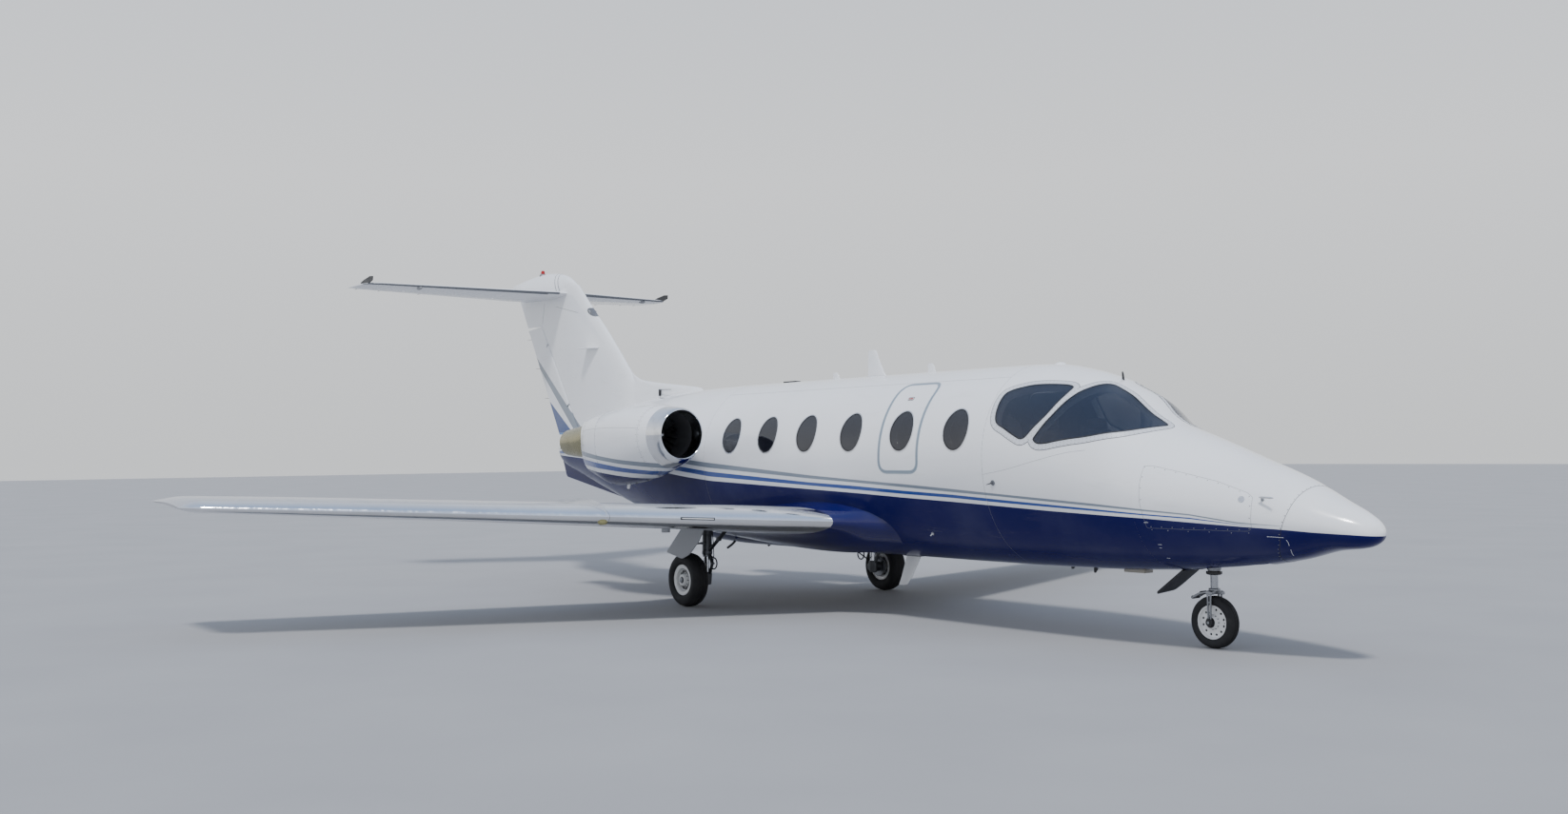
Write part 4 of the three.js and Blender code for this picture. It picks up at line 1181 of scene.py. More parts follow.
class SkinLine:
    """A line on the fuselage's skin through anchors of station, y and height."""

    def __init__(
        self, anchors: Sequence[Point], sign: int = 1, closed: bool = True, step: float = 22.0, curved: bool = True
    ) -> None:
        """Lays the line on the skin at even steps.

        Args:
            anchors: its points for the port side.
            sign: 1 for port, -1 to mirror it to starboard.
            closed: whether its ends join.
            step: the spacing of its points, in millimetres.
            curved: whether it runs smoothly through the anchors.
        """
        self.closed = closed
        points = [Vector((s, sign * y, z)) for s, y, z in anchors]
        self.rows = self.even(self.curve(points) if curved else points, step)
        self.places = [skin_at(*row) for row in self.rows]
        count = len(self.places)
        middle = sum((p for p, _ in self.places), Vector()) / count
        self.across = []
        for i, (point, normal) in enumerate(self.places):
            before = self.places[i - 1][0] if closed or i else point
            after = self.places[(i + 1) % count][0] if closed or i + 1 < count else point
            self.across.append(normal.cross((after - before).normalized()).normalized())
        if closed and sum(a.dot(p - middle) for a, (p, _) in zip(self.across, self.places)) < 0:
            self.across = [-a for a in self.across]

    def curve(self, points: Sequence[Vector]) -> list[Vector]:
        """Points on a smooth curve through the anchors.

        Args:
            points: the anchors.

        Returns:
            The curve's points.
        """
        count = len(points)
        made = []
        for i in range(count if self.closed else count - 1):
            a, b = points[i], points[(i + 1) % count]
            before = points[i - 1] if self.closed or i else a
            after = points[(i + 2) % count] if self.closed or i + 2 < count else b
            for k in range(8):
                t = k / 8
                square, cube = 2 * before - 5 * a + 4 * b - after, 3 * a - before - 3 * b + after
                made.append(0.5 * (2 * a + (b - before) * t + square * t * t + cube * t**3))
        return made if self.closed else [*made, points[-1]]

    def even(self, points: Sequence[Vector], step: float) -> list[Vector]:
        """The same line with its points evenly spaced.

        Args:
            points: the line's points.
            step: the spacing wanted, in millimetres.

        Returns:
            The new points.
        """
        loop = [*points, points[0]] if self.closed else list(points)
        table = np.array([tuple(p) for p in loop])
        lengths = np.concatenate([[0], np.cumsum(np.linalg.norm(np.diff(table, axis=0), axis=1))])
        count = max(3, round(lengths[-1] / step))
        places = np.linspace(0, lengths[-1], count + 1)
        made = np.stack([np.interp(places, lengths, table[:, k]) for k in range(3)], axis=1)
        return [Vector(row) for row in (made[:-1] if self.closed else made)]

    def moved(self, index: int, offset: float) -> tuple[Vector, Vector]:
        """A point moved across the line along the skin, outward where the line is closed."""
        target = self.places[index][0] + self.across[index] * offset * METRE
        return skin_at(station_of(target), target.y / METRE, target.z / METRE)

    def band(self, name: str, inner: float, outer: float, lift: float, depth: float = 2.0, columns: int = 2) -> Solid:
        """A thin band that lies along the line on the skin.

        Args:
            name: the object's name.
            inner: where it starts across the line, in millimetres.
            outer: where it ends.
            lift: how far its face stands off the skin.
            depth: how far it reaches into the skin.
            columns: the points across it.

        Returns:
            The band, a closed solid.
        """
        rings = []
        for i in range(len(self.places)):
            spots = [self.moved(i, offset) for offset in np.linspace(inner, outer, columns)]
            tops = [p + n * lift * METRE for p, n in spots]
            lows = [p - n * depth * METRE for p, n in spots]
            rings.append([*tops, *reversed(lows)])
        if not self.closed:
            return loft(name, rings)
        return closed_strip(name, rings)

    def plug(self, offset: float = 0.0, out: float = 60.0, inward: float = 140.0) -> Solid:
        """A cutting solid inside a closed line, from above the skin to below it.

        Args:
            offset: how far outside the line it reaches, in millimetres.
            out: how far it stands off the skin.
            inward: how deep it reaches.

        Returns:
            The solid.
        """
        rim = []
        for i in range(len(self.places)):
            point, _ = self.moved(i, offset)
            rim.append(Vector((station_of(point), point.y / METRE, point.z / METRE)))
        middle = sum(rim, Vector()) / len(rim)

        def ring(share: float, lift: float) -> list[Vector]:
            """The rim drawn in towards its middle and moved off the skin."""
            spots = [skin_at(*(middle + (p - middle) * share)) for p in rim]
            return [p + n * lift * METRE for p, n in spots]

        shares = (0.03, 0.35, 0.7, 1.0)
        return loft("tool", [*[ring(t, out) for t in shares], *[ring(t, -inward) for t in reversed(shares)]])

    def spots(self, offset: float, step: float, lift: float = 0.0) -> list[tuple[Vector, Vector]]:
        """Places for studs beside the line.

        Args:
            offset: how far from the line, in millimetres.
            step: the spacing.
            lift: how far off the skin.

        Returns:
            Each place and the way out of the skin.
        """
        made = []
        every = max(1, round(step / (self.rows[1] - self.rows[0]).length))
        for i in range(0, len(self.places), every):
            point, normal = self.moved(i, offset)
            made.append((point + normal * lift * METRE, normal))
        return made


class Studs:
    """A Geometry Nodes group that stands a small stud on each point of a mesh."""

    def __init__(self) -> None:
        """Builds the group."""
        group = bpy.data.node_groups.new("studs_on_points", "GeometryNodeTree")
        sockets = (("Points", "Geometry"), ("Stud", "Object"), ("Finish", "Material"))
        for name, kind in sockets:
            group.interface.new_socket(name=name, in_out="INPUT", socket_type="NodeSocket" + kind)
        group.interface.new_socket(name="Studs", in_out="OUTPUT", socket_type="NodeSocketGeometry")
        start, end, named, aim, info, stand, real, finish = [
            group.nodes.new(kind)
            for kind in (
                "NodeGroupInput", "NodeGroupOutput", "GeometryNodeInputNamedAttribute", "FunctionNodeAlignRotationToVector",
                "GeometryNodeObjectInfo", "GeometryNodeInstanceOnPoints", "GeometryNodeRealizeInstances", "GeometryNodeSetMaterial",
            )
        ]
        named.data_type = "FLOAT_VECTOR"
        named.inputs["Name"].default_value = "out"
        aim.axis = "Z"
        for source, out, target, into in (
            (start, "Stud", info, "Object"), (start, "Points", stand, "Points"), (info, "Geometry", stand, "Instance"),
            (named, "Attribute", aim, "Vector"), (aim, "Rotation", stand, "Rotation"), (stand, "Instances", real, "Geometry"),
            (real, "Geometry", finish, "Geometry"), (start, "Finish", finish, "Material"), (finish, "Geometry", end, "Studs"),
        ):
            group.links.new(source.outputs[out], target.inputs[into])
        self.group = group
        self.inputs = {item.name: item.identifier for item in group.interface.items_tree if item.in_out == "INPUT"}

    def stand(self, name: str, points: Sequence[tuple[Vector, Vector]], radius: float, finish: Material) -> Solid:
        """Studs on points.

        Args:
            name: the new object's name.
            points: each stud's place and direction.
            radius: the stud's radius, in millimetres.
            finish: its material.

        Returns:
            One mesh with every stud.
        """
        r = radius
        stud = turned("stud", [(0, -r * 0.3), (r, -r * 0.3), (r * 0.8, r * 0.25), (0, r * 0.45)], 8, "Z")
        mesh = bpy.data.meshes.new(name)
        mesh.from_pydata([tuple(p) for p, _ in points], [], [])
        out = mesh.attributes.new("out", "FLOAT_VECTOR", "POINT")
        out.data.foreach_set("vector", [c for _, n in points for c in n])
        made = link(name, mesh)
        modifier = made.modifiers.new("studs", "NODES")
        modifier.node_group = self.group
        modifier[self.inputs["Stud"]] = stud
        modifier[self.inputs["Finish"]] = finish
        bake_modifiers(made)
        discard(stud)
        return made


class Kit:
    """The materials and studs, and the way a piece is painted, shaded smooth and hung on its body."""

    def __init__(self) -> None:
        """Makes the materials and the group of studs."""
        self.finishes = {finish.name: finish.build() for finish in FINISHES}
        self.studs = Studs()

    def paint(self, made: Solid, *names: str) -> Solid:
        """Gives an object its materials, in the order of its material slots.

        Args:
            made: the object.
            names: the finishes.

        Returns:
            The same object.
        """
        made.data.materials.clear()
        for name in names:
            made.data.materials.append(self.finishes[name])
        return made

    def hand_in(
        self,
        made: Solid,
        slot: str,
        finish: str | Sequence[str] = (),
        body: str = "airframe",
        replaces: Sequence[str] = (),
        angle: float = 32.0,
    ) -> Solid:
        """Finishes a piece, hangs it on its body's empty, hides the nodes that it replaces, and logs it.

        Args:
            made: the piece.
            slot: the material slot's name; not used.
            finish: its finish or finishes, or none where it keeps those it has.
            body: the body that it rides on.
            replaces: the nodes that it stands for.
            angle: the sharpest edge that is shaded smooth, in degrees.

        Returns:
            The piece.
        """
        if finish:
            self.paint(made, *((finish,) if isinstance(finish, str) else finish))
        smooth(made, angle)
        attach(made, body)
        if replaces:
            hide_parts(*replaces)
        LOG.info("%s: %d faces on %s", made.name, len(made.data.polygons), body)
        return made


@dataclass
class Assembly:
    kit: Kit

    def at(self, station: float, y: float, z: float) -> Vector:
        """A point of the assembly's own frame, in metres."""
        return place(station, y, z)

    def rod(self, finish: str, radius: float, *points: Point, sides: int = 18) -> Solid:
        """A round bar through points."""
        return self.kit.paint(tube("rod", [self.at(*p) for p in points], radius * METRE, sides), finish)

    def bar(self, finish: str, radius: float | Sequence[float], *points: Vector, sides: int = 12) -> Solid:
        """A round bar through points in metres, with one radius or one for each."""
        return self.kit.paint(tube("bar", points, radius, sides), finish)

    def chunk(self, finish: str, low: Point, high: Point, bevel: float = 3.0) -> Solid:
        """A block with rounded edges between two corners."""
        return self.kit.paint(block("chunk", self.at(*low), self.at(*high), bevel * METRE), finish)

    def spun(self, finish: str, profile: Outline, axis: str, at: Sequence[float], segments: int = 40) -> Solid:
        """A profile of radius and place turned about an axis through a point."""
        return self.kit.paint(turned("spun", profile, segments, axis, at), finish)

    def studs(self, name: str, points: Sequence[tuple[Vector, Vector]], radius: float) -> None:
        """Builds a row of fasteners and hangs it on the airframe."""
        self.kit.hand_in(self.kit.studs.stand(name, points, radius, self.kit.finishes["dull_metal"]), "gear_metal")


# Fuselage


@dataclass
class Fuselage(Assembly):
    """The pressure hull, nose, tail cone and everything cut into them."""

    wall: float = 90.0
    floor: float = 940.0
    pane: float = 16.0
    crown_edge: float = 2345.0
    cockpit_front: float = 1840.0
    cabin_front: float = 3430.0
    cabin_rear: float = 7950.0
    panel_front: float = 1960.0
    window_height: float = 1865.0
    window_wide: float = 315.0
    window_tall: float = 378.0

    WINDSHIELD = (
        (2846, 779, 1762), (2826, 765, 1802), (2771, 725, 1891), (2703, 656, 1993), (2636, 542, 2112),
        (2589, 452, 2176),
        (2540, 365, 2215), (2494, 273, 2241), (2450, 205, 2246), (2402, 176, 2229), (2300, 182, 2180),
        (2172, 186, 2103),
        (2097, 176, 2037), (2020, 160, 1972), (1929, 150, 1912), (1868, 158, 1874), (1862, 205, 1858),
        (1953, 377, 1839),
        (2102, 551, 1811), (2302, 666, 1780), (2480, 721, 1759), (2619, 753, 1738), (2709, 771, 1723),
        (2794, 782, 1724),
    )
    SIDE_WINDOW = (
        (2985, 792, 1765), (3060, 795, 1795), (3180, 786, 1856), (3307, 769, 1927), (3344, 706, 2060),
        (3333, 622, 2177),
        (3270, 580, 2215), (3182, 553, 2238), (3056, 508, 2256), (2890, 460, 2256), (2740, 425, 2246),
        (2674, 430, 2222), (2676, 480, 2180),
        (2702, 562, 2114), (2769, 679, 1979), (2873, 755, 1853), (2930, 782, 1785),
    )
    NOSE_DOOR = (
        (1769, 597, 1528), (1773, 656, 1375), (1768, 666, 1231), (1745, 640, 1075), (1740, 607, 1018),
        (1556, 579, 1018), (1378, 549, 1015),
        (1198, 516, 1017), (1017, 476, 1014), (870, 444, 1016), (848, 446, 1040), (844, 452, 1172),
        (851, 415, 1280), (900, 400, 1310),
        (1150, 440, 1395), (1450, 520, 1475), (1700, 575, 1530),
    )
    LATCHES = ((1700, 607, 1000), (1556, 579, 1000), (1378, 549, 997), (1198, 516, 999), (1017, 476, 996), (878, 444, 1000))
    NOSE_MARKS = (
        ((746, 392, 977), (680, 372, 975), (624, 354, 972)),
        ((610, 340, 955), (606, 325, 930), (612, 305, 905)), ((622, 270, 872), (640, 220, 845), (653, 183, 822)),
        ((1755, 628, 1064), (1715, 620, 1066)), ((1705, 513, 882), (1672, 510, 880)),
        ((1712, 490, 852), (1690, 488, 850)), ((1724, 383, 760), (1694, 380, 757)),
    )
    UNDER_WINDSHIELD = ((3426, 828, 1452), (3124, 825, 1501), (2810, 804, 1573), (2492, 756, 1642), (2300, 730, 1668))
    WINDOWS = (3800, 4560, 5330, 6066, 6754, 7440)
    RADOME_JOINT = ((523, 3000), (523, 1400), (578, 1170), (663, 931), (800, 740), (800, -500))
    DOOR = (3500, 4210, 960, 2230, 110, 862)
    VENTRAL = ((10000, 1250), (10250, 915), (10800, 1030), (12700, 1356), (12860, 1690), (12500, 1690))

    def window(self, station: float) -> list[tuple[float, float]]:
        """The outline of a cabin window."""
        wide, tall, turn = self.window_wide / 2, self.window_tall / 2, math.pi / 40
        return [(station + wide * math.cos(t + turn), self.window_height + tall * math.sin(t + turn)) for t in turns(40)]

    def region(self, front: float | None, rear: float | None) -> Solid:
        """The space between two stations.

        Args:
            front: the front station, or None for the radome's leaning joint.
            rear: the rear station, or None for that joint.

        Returns:
            The space as a tool.
        """
        joint = [(s - 0.15, z) for s, z in self.RADOME_JOINT]
        if rear is None:
            outline = [(front, 3000), *joint, (front, -500)]
        elif front is None:
            outline = [*[(s + 0.3, z) for s, z in joint], (rear, -500), (rear, 3000)]
        else:
            outline = [(front, -500), (rear, -500), (rear, 3000), (front, 3000)]
        return side_prism("tool", outline, -2000, 2000)

    def through(self, outline: Outline, sign: int, inner: float = 200.0) -> Solid:
        """A side outline as a tool that reaches through one side only."""
        return side_prism("tool", outline, sign * inner, sign * 1500)

    def build(self) -> None:
        """Builds the hull's pieces."""
        hull = body_loft("hull", 0.0, 0.0, BODY_END)
        interior = body_loft("interior", self.wall, self.panel_front, self.cabin_rear - self.wall, 72, 120.0)
        cut(interior, block("tool", (-9, -3, self.floor * METRE), (9, 3, 5)), Cut.KEEP)
        shell = cut(copy_of(hull, "shell"), interior)
        self.build_nose(hull)
        self.build_nose_lines()
        self.build_cockpit(hull, shell)
        self.build_cabin(hull, shell)
        self.build_rear(hull)
        discard(hull, shell)

    def build_nose(self, hull: Solid) -> None:
        """Builds the radome and the nose section with its wheel well.

        Args:
            hull: the whole hull as a solid.
        """
        radome = cut(copy_of(hull, "radome_skin"), self.region(-200, None), Cut.KEEP)
        self.kit.hand_in(radome, "white_paint", "livery_paint", replaces=["radome"])
        nose = cut(copy_of(hull, "nose_skin"), self.region(None, self.cockpit_front - 0.15), Cut.KEEP)
        cut(nose, block("tool", place(1670, -125, 0), place(930, 125, 985)))
        self.kit.hand_in(nose, "white_paint", "livery_paint", replaces=["nose_section"])

    def joint_anchors(self) -> list[Point]:
        """Points of the radome's joint round the whole nose."""
        stations, heights = zip(*reversed(self.RADOME_JOINT))
        made = []
        for angle in turns(72):
            station = 560.0
            for _ in range(6):
                point = hull_point(station, angle)
                station = float(np.interp(point.z / METRE, heights, stations))
            made.append((station, point.y / METRE, point.z / METRE))
        return made

    def build_nose_lines(self) -> None:
        """Builds the radome's joint, the baggage doors' outlines, the skin's joints and their fasteners."""
        joint = SkinLine(self.joint_anchors(), 1, True, 26.0, False)
        self.kit.hand_in(joint.band("radome_joint_line", -1.8, 1.8, 0.5), "tyre_rubber", "seal_rubber")
        gaps, studs, marks = [], joint.spots(9, 52, 0.2), []
        crown = [side_anchor(s, self.crown_edge) for s in np.arange(3430, 7960, 150)]
        for sign in (-1, 1):
            door = SkinLine(self.NOSE_DOOR, sign, True, 24.0, False)
            gaps.append(door.band("gap", -1.1, 1.1, 0.4))
            studs += door.spots(-12, 95, 0.2)
            for station, y, z in self.LATCHES:
                point, normal = skin_at(station, sign * y, z)
                studs.append((point + normal * 0.0004, normal))
            gaps.append(SkinLine(self.UNDER_WINDSHIELD, sign, False, 40.0).band("gap", -1.0, 1.0, 0.3))
            for station in (3426, 7954):
                hoop = SkinLine(self.hoop(station, 0.06, 0.93), sign, False, 60.0, False)
                gaps.append(hoop.band("gap", -1.0, 1.0, 0.3))
            gaps.append(SkinLine(crown, sign, False, 120.0, False).band("gap", -0.9, 0.9, 0.3))
            marks += [SkinLine(anchors, sign, False, 14.0).band("mark", -1.6, 1.6, 0.5) for anchors in self.NOSE_MARKS]
        self.kit.hand_in(join("skin_joint_lines", gaps), "tyre_rubber", "joint_grey")
        self.studs("nose_fasteners", studs, 4.8)
        self.kit.hand_in(join("nose_belly_marks", marks), "white_paint", "white_paint")

    def hoop(self, station: float, low: float, high: float) -> list[Point]:
        """Points up the port side of one section.

        Args:
            station: the section's station.
            low: the share of the height where they start.
            high: the share where they end.

        Returns:
            The points.
        """
        points = [hull_point(station, math.pi * (t - 0.5)) for t in np.linspace(low, high, 28)]
        return [(station, p.y / METRE, p.z / METRE) for p in points]

    def build_cockpit(self, hull: Solid, shell: Solid) -> None:
        """Builds the cockpit's skin, panes and frames.

        Args:
            hull: the whole hull as a solid.
            shell: the hull without its interior.
        """
        front, rear = self.cockpit_front + 0.15, self.cabin_front - 0.15
        section = cut(copy_of(shell, "cockpit_skin"), self.region(front, rear), Cut.KEEP)
        glass = cut(copy_of(hull, "glass"), self.region(front, rear), Cut.KEEP)
        cut(glass, body_loft("pane_back", self.pane, 1500.0, self.cabin_rear + 200))
        for side in Side:
            for anchors, pane_name, node in (
                (self.WINDSHIELD, "windshield_pane_", "windshield_"),
                (self.SIDE_WINDOW, "side_pane_", "cockpit_side_window_"),
            ):
                line = SkinLine(anchors, side.value, step=18.0)
                cut(section, line.plug())
                pane = cut(copy_of(glass, pane_name + side.label), line.plug(-0.3), Cut.KEEP)
                self.kit.hand_in(pane, "glazing", "windshield_glass", replaces=[node + side.label])
                self.build_frame(line, node + side.label)
        self.line_inside(self.kit.hand_in(section, "white_paint", "livery_paint", replaces=["cockpit_section"]))
        discard(glass)

    def line_inside(self, made: Solid) -> None:
        """Gives the lining to the walls and the carpet to the floor of a piece of the shell.

        Args:
            made: the piece, which has its paint.
        """
        made.data.materials.append(self.kit.finishes["cabin_lining"])
        made.data.materials.append(self.kit.finishes["carpet"])

        def depth(point: Vector) -> float:
            """How deep a point is under the skin."""
            return (skin_at(station_of(point), point.y / METRE, point.z / METRE)[0] - point).length / METRE

        second_material(made, lambda p, n: depth(p) > 0.75 * self.wall, 1)
        second_material(made, lambda p, n: n.z > 0.9 and abs(p.z - self.floor * METRE) < 0.004, 2)

    def build_frame(self, line: SkinLine, name: str) -> None:
        """Builds the seal, the riveted frame and the dark outline round a cockpit window.

        Args:
            line: the window's outline.
            name: how the pieces' names start.
        """
        hand_in = self.kit.hand_in
        hand_in(line.band(name + "_seal", -9, 3, 1.6), "tyre_rubber", "seal_rubber")
        hand_in(line.band(name + "_frame", 3.2, 52, 1.3, columns=4), "white_paint", "frame_paint")
        hand_in(line.band(name + "_outline", 52.2, 57, 1.0), "tyre_rubber", "seal_rubber")
        self.studs(name + "_rivets", [*line.spots(14, 36, 1.3), *line.spots(43, 36, 1.3)], 4.2)

    def build_cabin(self, hull: Solid, shell: Solid) -> None:
        """Builds the cabin's panels, exit, door and windows.

        Args:
            hull: the whole hull as a solid.
            shell: the hull without its interior.
        """
        hand_in = self.kit.hand_in
        cabin = cut(copy_of(shell, "cabin"), self.region(self.cabin_front + 0.15, self.cabin_rear - 0.15), Cut.KEEP)

        def layer(name: str, low: float, high: float, y0: float = -2000, y1: float = 2000) -> Solid:
            """The cabin's shell between two heights and two sides."""
            tool = block("tool", (-9, y0 * METRE, low * METRE), (9, y1 * METRE, high * METRE))
            return cut(copy_of(cabin, name), tool, Cut.KEEP)

        crown = layer("cabin_crown_skin", self.crown_edge + 0.3, 4000)
        self.line_inside(hand_in(crown, "white_paint", "livery_paint", replaces=["cabin_crown"]))
        belly = layer("cabin_belly_skin", -200, self.floor)
        self.line_inside(hand_in(belly, "navy_paint", "livery_paint", replaces=["cabin_belly"]))
        exit_outline = box_outline(4302, 4859, 1469, 2330, 90)
        back = body_loft("back", self.wall + 6, self.cabin_front, self.cabin_rear - self.wall, 96, 120.0)
        deep = cut(copy_of(hull, "deep"), back)
        for side in Side:
            sign, starboard = side.value, side is Side.STARBOARD
            edges = (-2000, 0) if starboard else (0, 2000)
            skin = layer("cabin_side_skin_" + side.label, self.floor + 0.3, self.crown_edge, *edges)
            stations = self.WINDOWS if starboard else self.WINDOWS[1:]
            for station in stations:
                cut(skin, self.through(self.window(station), sign))
            if starboard:
                cut(skin, self.through(exit_outline, sign))
                door = cut(copy_of(cabin, "exit_skin"), self.through(grown(exit_outline, -0.3), sign), Cut.KEEP)
                cut(door, self.through(self.window(self.WINDOWS[1]), sign))
                self.line_inside(hand_in(door, "white_paint", "livery_paint", replaces=["emergency_exit"]))
            else:
                self.build_door(cabin, skin)
            self.line_inside(hand_in(skin, "white_paint", "livery_paint", replaces=["cabin_side_" + side.label]))
            tools = [self.through(grown(self.window(station), -0.3), sign) for station in stations]
            panes = [cut(copy_of(deep, "pane"), tool, Cut.KEEP) for tool in tools]
            if starboard:
                for name, node in (("forward_pane", "forward_window_starboard"), ("exit_pane", "exit_window")):
                    single = panes.pop(0)
                    single.name = name
                    hand_in(single, "glazing", "cabin_glass", replaces=[node])
            row = join("cabin_panes_" + side.label, panes)
            hand_in(row, "glazing", "cabin_glass", replaces=["cabin_windows_" + side.label])
            self.build_window_rims(side, stations)
        self.build_exit_band(exit_outline)
        discard(deep, cabin)

    def build_window_rims(self, side: Side, stations: Sequence[float]) -> None:
        """Builds the seal and the bright rim round each cabin window of a side.

        Args:
            side: the side.
            stations: the windows' stations.
        """
        loops = [[side_anchor(*p) for p in self.window(station)] for station in stations]
        lines = [SkinLine(loop, side.value, step=24.0, curved=False) for loop in loops]
        seals = join("cabin_window_seals_" + side.label, [line.band("seal", -7, 4, 1.2) for line in lines])
        rims = join("cabin_window_rims_" + side.label, [line.band("rim", 4.2, 15, 2.2, columns=3) for line in lines])
        self.kit.hand_in(seals, "tyre_rubber", "seal_rubber")
        self.kit.hand_in(rims, "polished_metal", "rim_metal")

    def build_exit_band(self, outline: Outline) -> None:
        """Builds the painted band round the emergency exit, its gap and its handle.

        Args:
            outline: the exit's outline.
        """
        line = SkinLine([side_anchor(*p) for p in resampled(outline, 30)], -1, step=28.0, curved=False)
        rim = [side_anchor(*p) for p in box_outline(4560, 4640, 2168, 2196, 10)]
        handle = SkinLine(rim, -1, step=8.0, curved=False)
        bar = SkinLine([side_anchor(4572, 2182), side_anchor(4628, 2182)], -1, False, 12.0, False)
        for band, slot, finish in (
            (line.band("exit_band", -18, 18, 0.7, columns=3), "grey_paint", "exit_band_paint"),
            (line.band("exit_gap", -1.2, 1.2, 0.9), "tyre_rubber", "seal_rubber"),
            (handle.band("exit_handle_frame", -2, 3, 1.4), "panel_plastic", "black_paint"),
            (bar.band("exit_handle_bar", -7, 7, 3.0, columns=3), "panel_plastic", "red_paint"),
        ):
            self.kit.hand_in(band, slot, finish)

    def door_sweep(self, clear: float) -> Solid:
        """The space that the entry door sweeps as it opens, less what lies ahead of its hinge.

        Args:
            clear: how much wider than the door it is.

        Returns:
            The space as a tool.
        """
        front, rear, low, high, corner, hinge = self.DOOR
        reach = rear - front + clear
        profile = [(0.0, low - clear)]
        for start, z in ((-90, low - clear + corner), (0, high + clear - corner)):
            angles = [math.radians(start + 15 * k) for k in range(7)]
            profile += [(reach - corner + corner * math.cos(t), z + corner * math.sin(t)) for t in angles]
        made = turned("tool", [*profile, (0.0, high + clear)], 128, "Z", place(front, hinge, 0))
        outline = box_outline(front + 7 - clear, rear + 400, low - clear, high + clear, corner)
        return cut(made, self.through(outline, 1), Cut.KEEP)

    def build_door(self, cabin: Solid, skin: Solid) -> None:
        """Builds the entry door with its hinge, and its opening.

        Args:
            cabin: the cabin's shell.
            skin: the port side's skin, which is cut.
        """
        front, hinge = self.DOOR[0], self.DOOR[-1]
        cut(skin, self.door_sweep(7))
        parts = [cut(copy_of(cabin, "entry_door_skin"), self.door_sweep(0), Cut.KEEP)]

        def barrel(low: float, high: float) -> Solid:
            """One barrel of the hinge."""
            return tube("barrel", [place(front, hinge, low), place(front, hinge, high)], 0.014, 16)

        for z in (1540, 1700):
            parts.append(barrel(z - 39.7, z + 39.7))
        for z in (1540, 1700):
            parts.append(block("plate", place(front + 56, 800, z - 39.7), place(front, 858, z + 39.7)))
        whole = join("entry_door_panel", parts)
        self.line_inside(self.kit.hand_in(whole, "white_paint", "livery_paint", "entry_door", ["entry_door"]))
        plate = block("plate", place(front, 800, 1580), place(front - 56, 858, 1660))
        self.kit.hand_in(join("door_hinge_fixed_leaf", [barrel(1580, 1660), plate]), "white_paint", "white_paint")

    def build_rear(self, hull: Solid) -> None:
        """Builds the rear fuselage and the ventral fin.

        Args:
            hull: the whole hull as a solid.
        """
        rear = cut(copy_of(hull, "rear_skin"), self.region(self.cabin_rear + 0.15, BODY_END + 100), Cut.KEEP)
        cut(rear, body_loft("tool", self.wall, self.cabin_rear - self.wall, 11900.0, 48, 240.0))
        self.kit.hand_in(rear, "white_paint", "livery_paint", replaces=["rear_fuselage"])
        fin = side_prism("ventral_fin_plate", rounded(self.VENTRAL, 40), -30, 30)
        cut(fin, copy_of(hull, "tool"))
        self.kit.hand_in(fin, "navy_paint", "navy_paint", replaces=["ventral_fin"])


# Wing


def aerofoil(share: float) -> float:
    """Half thickness of a symmetric aerofoil.

    Args:
        share: the place along the chord, as a share of it.

    Returns:
        The half thickness as a share of its greatest.
    """
    u = min(1.0, max(0.0, share))
    shape = 0.2969 * math.sqrt(u) - 0.126 * u - 0.3516 * u**2 + 0.2843 * u**3 - 0.1015 * u**4
    return max(shape * 10, 0.02)


def chord_shares(steps: int) -> list[float]:
    """Places along a chord, closer together at its ends."""
    return [(1 - math.cos(k * math.pi / steps)) / 2 for k in range(steps + 1)]


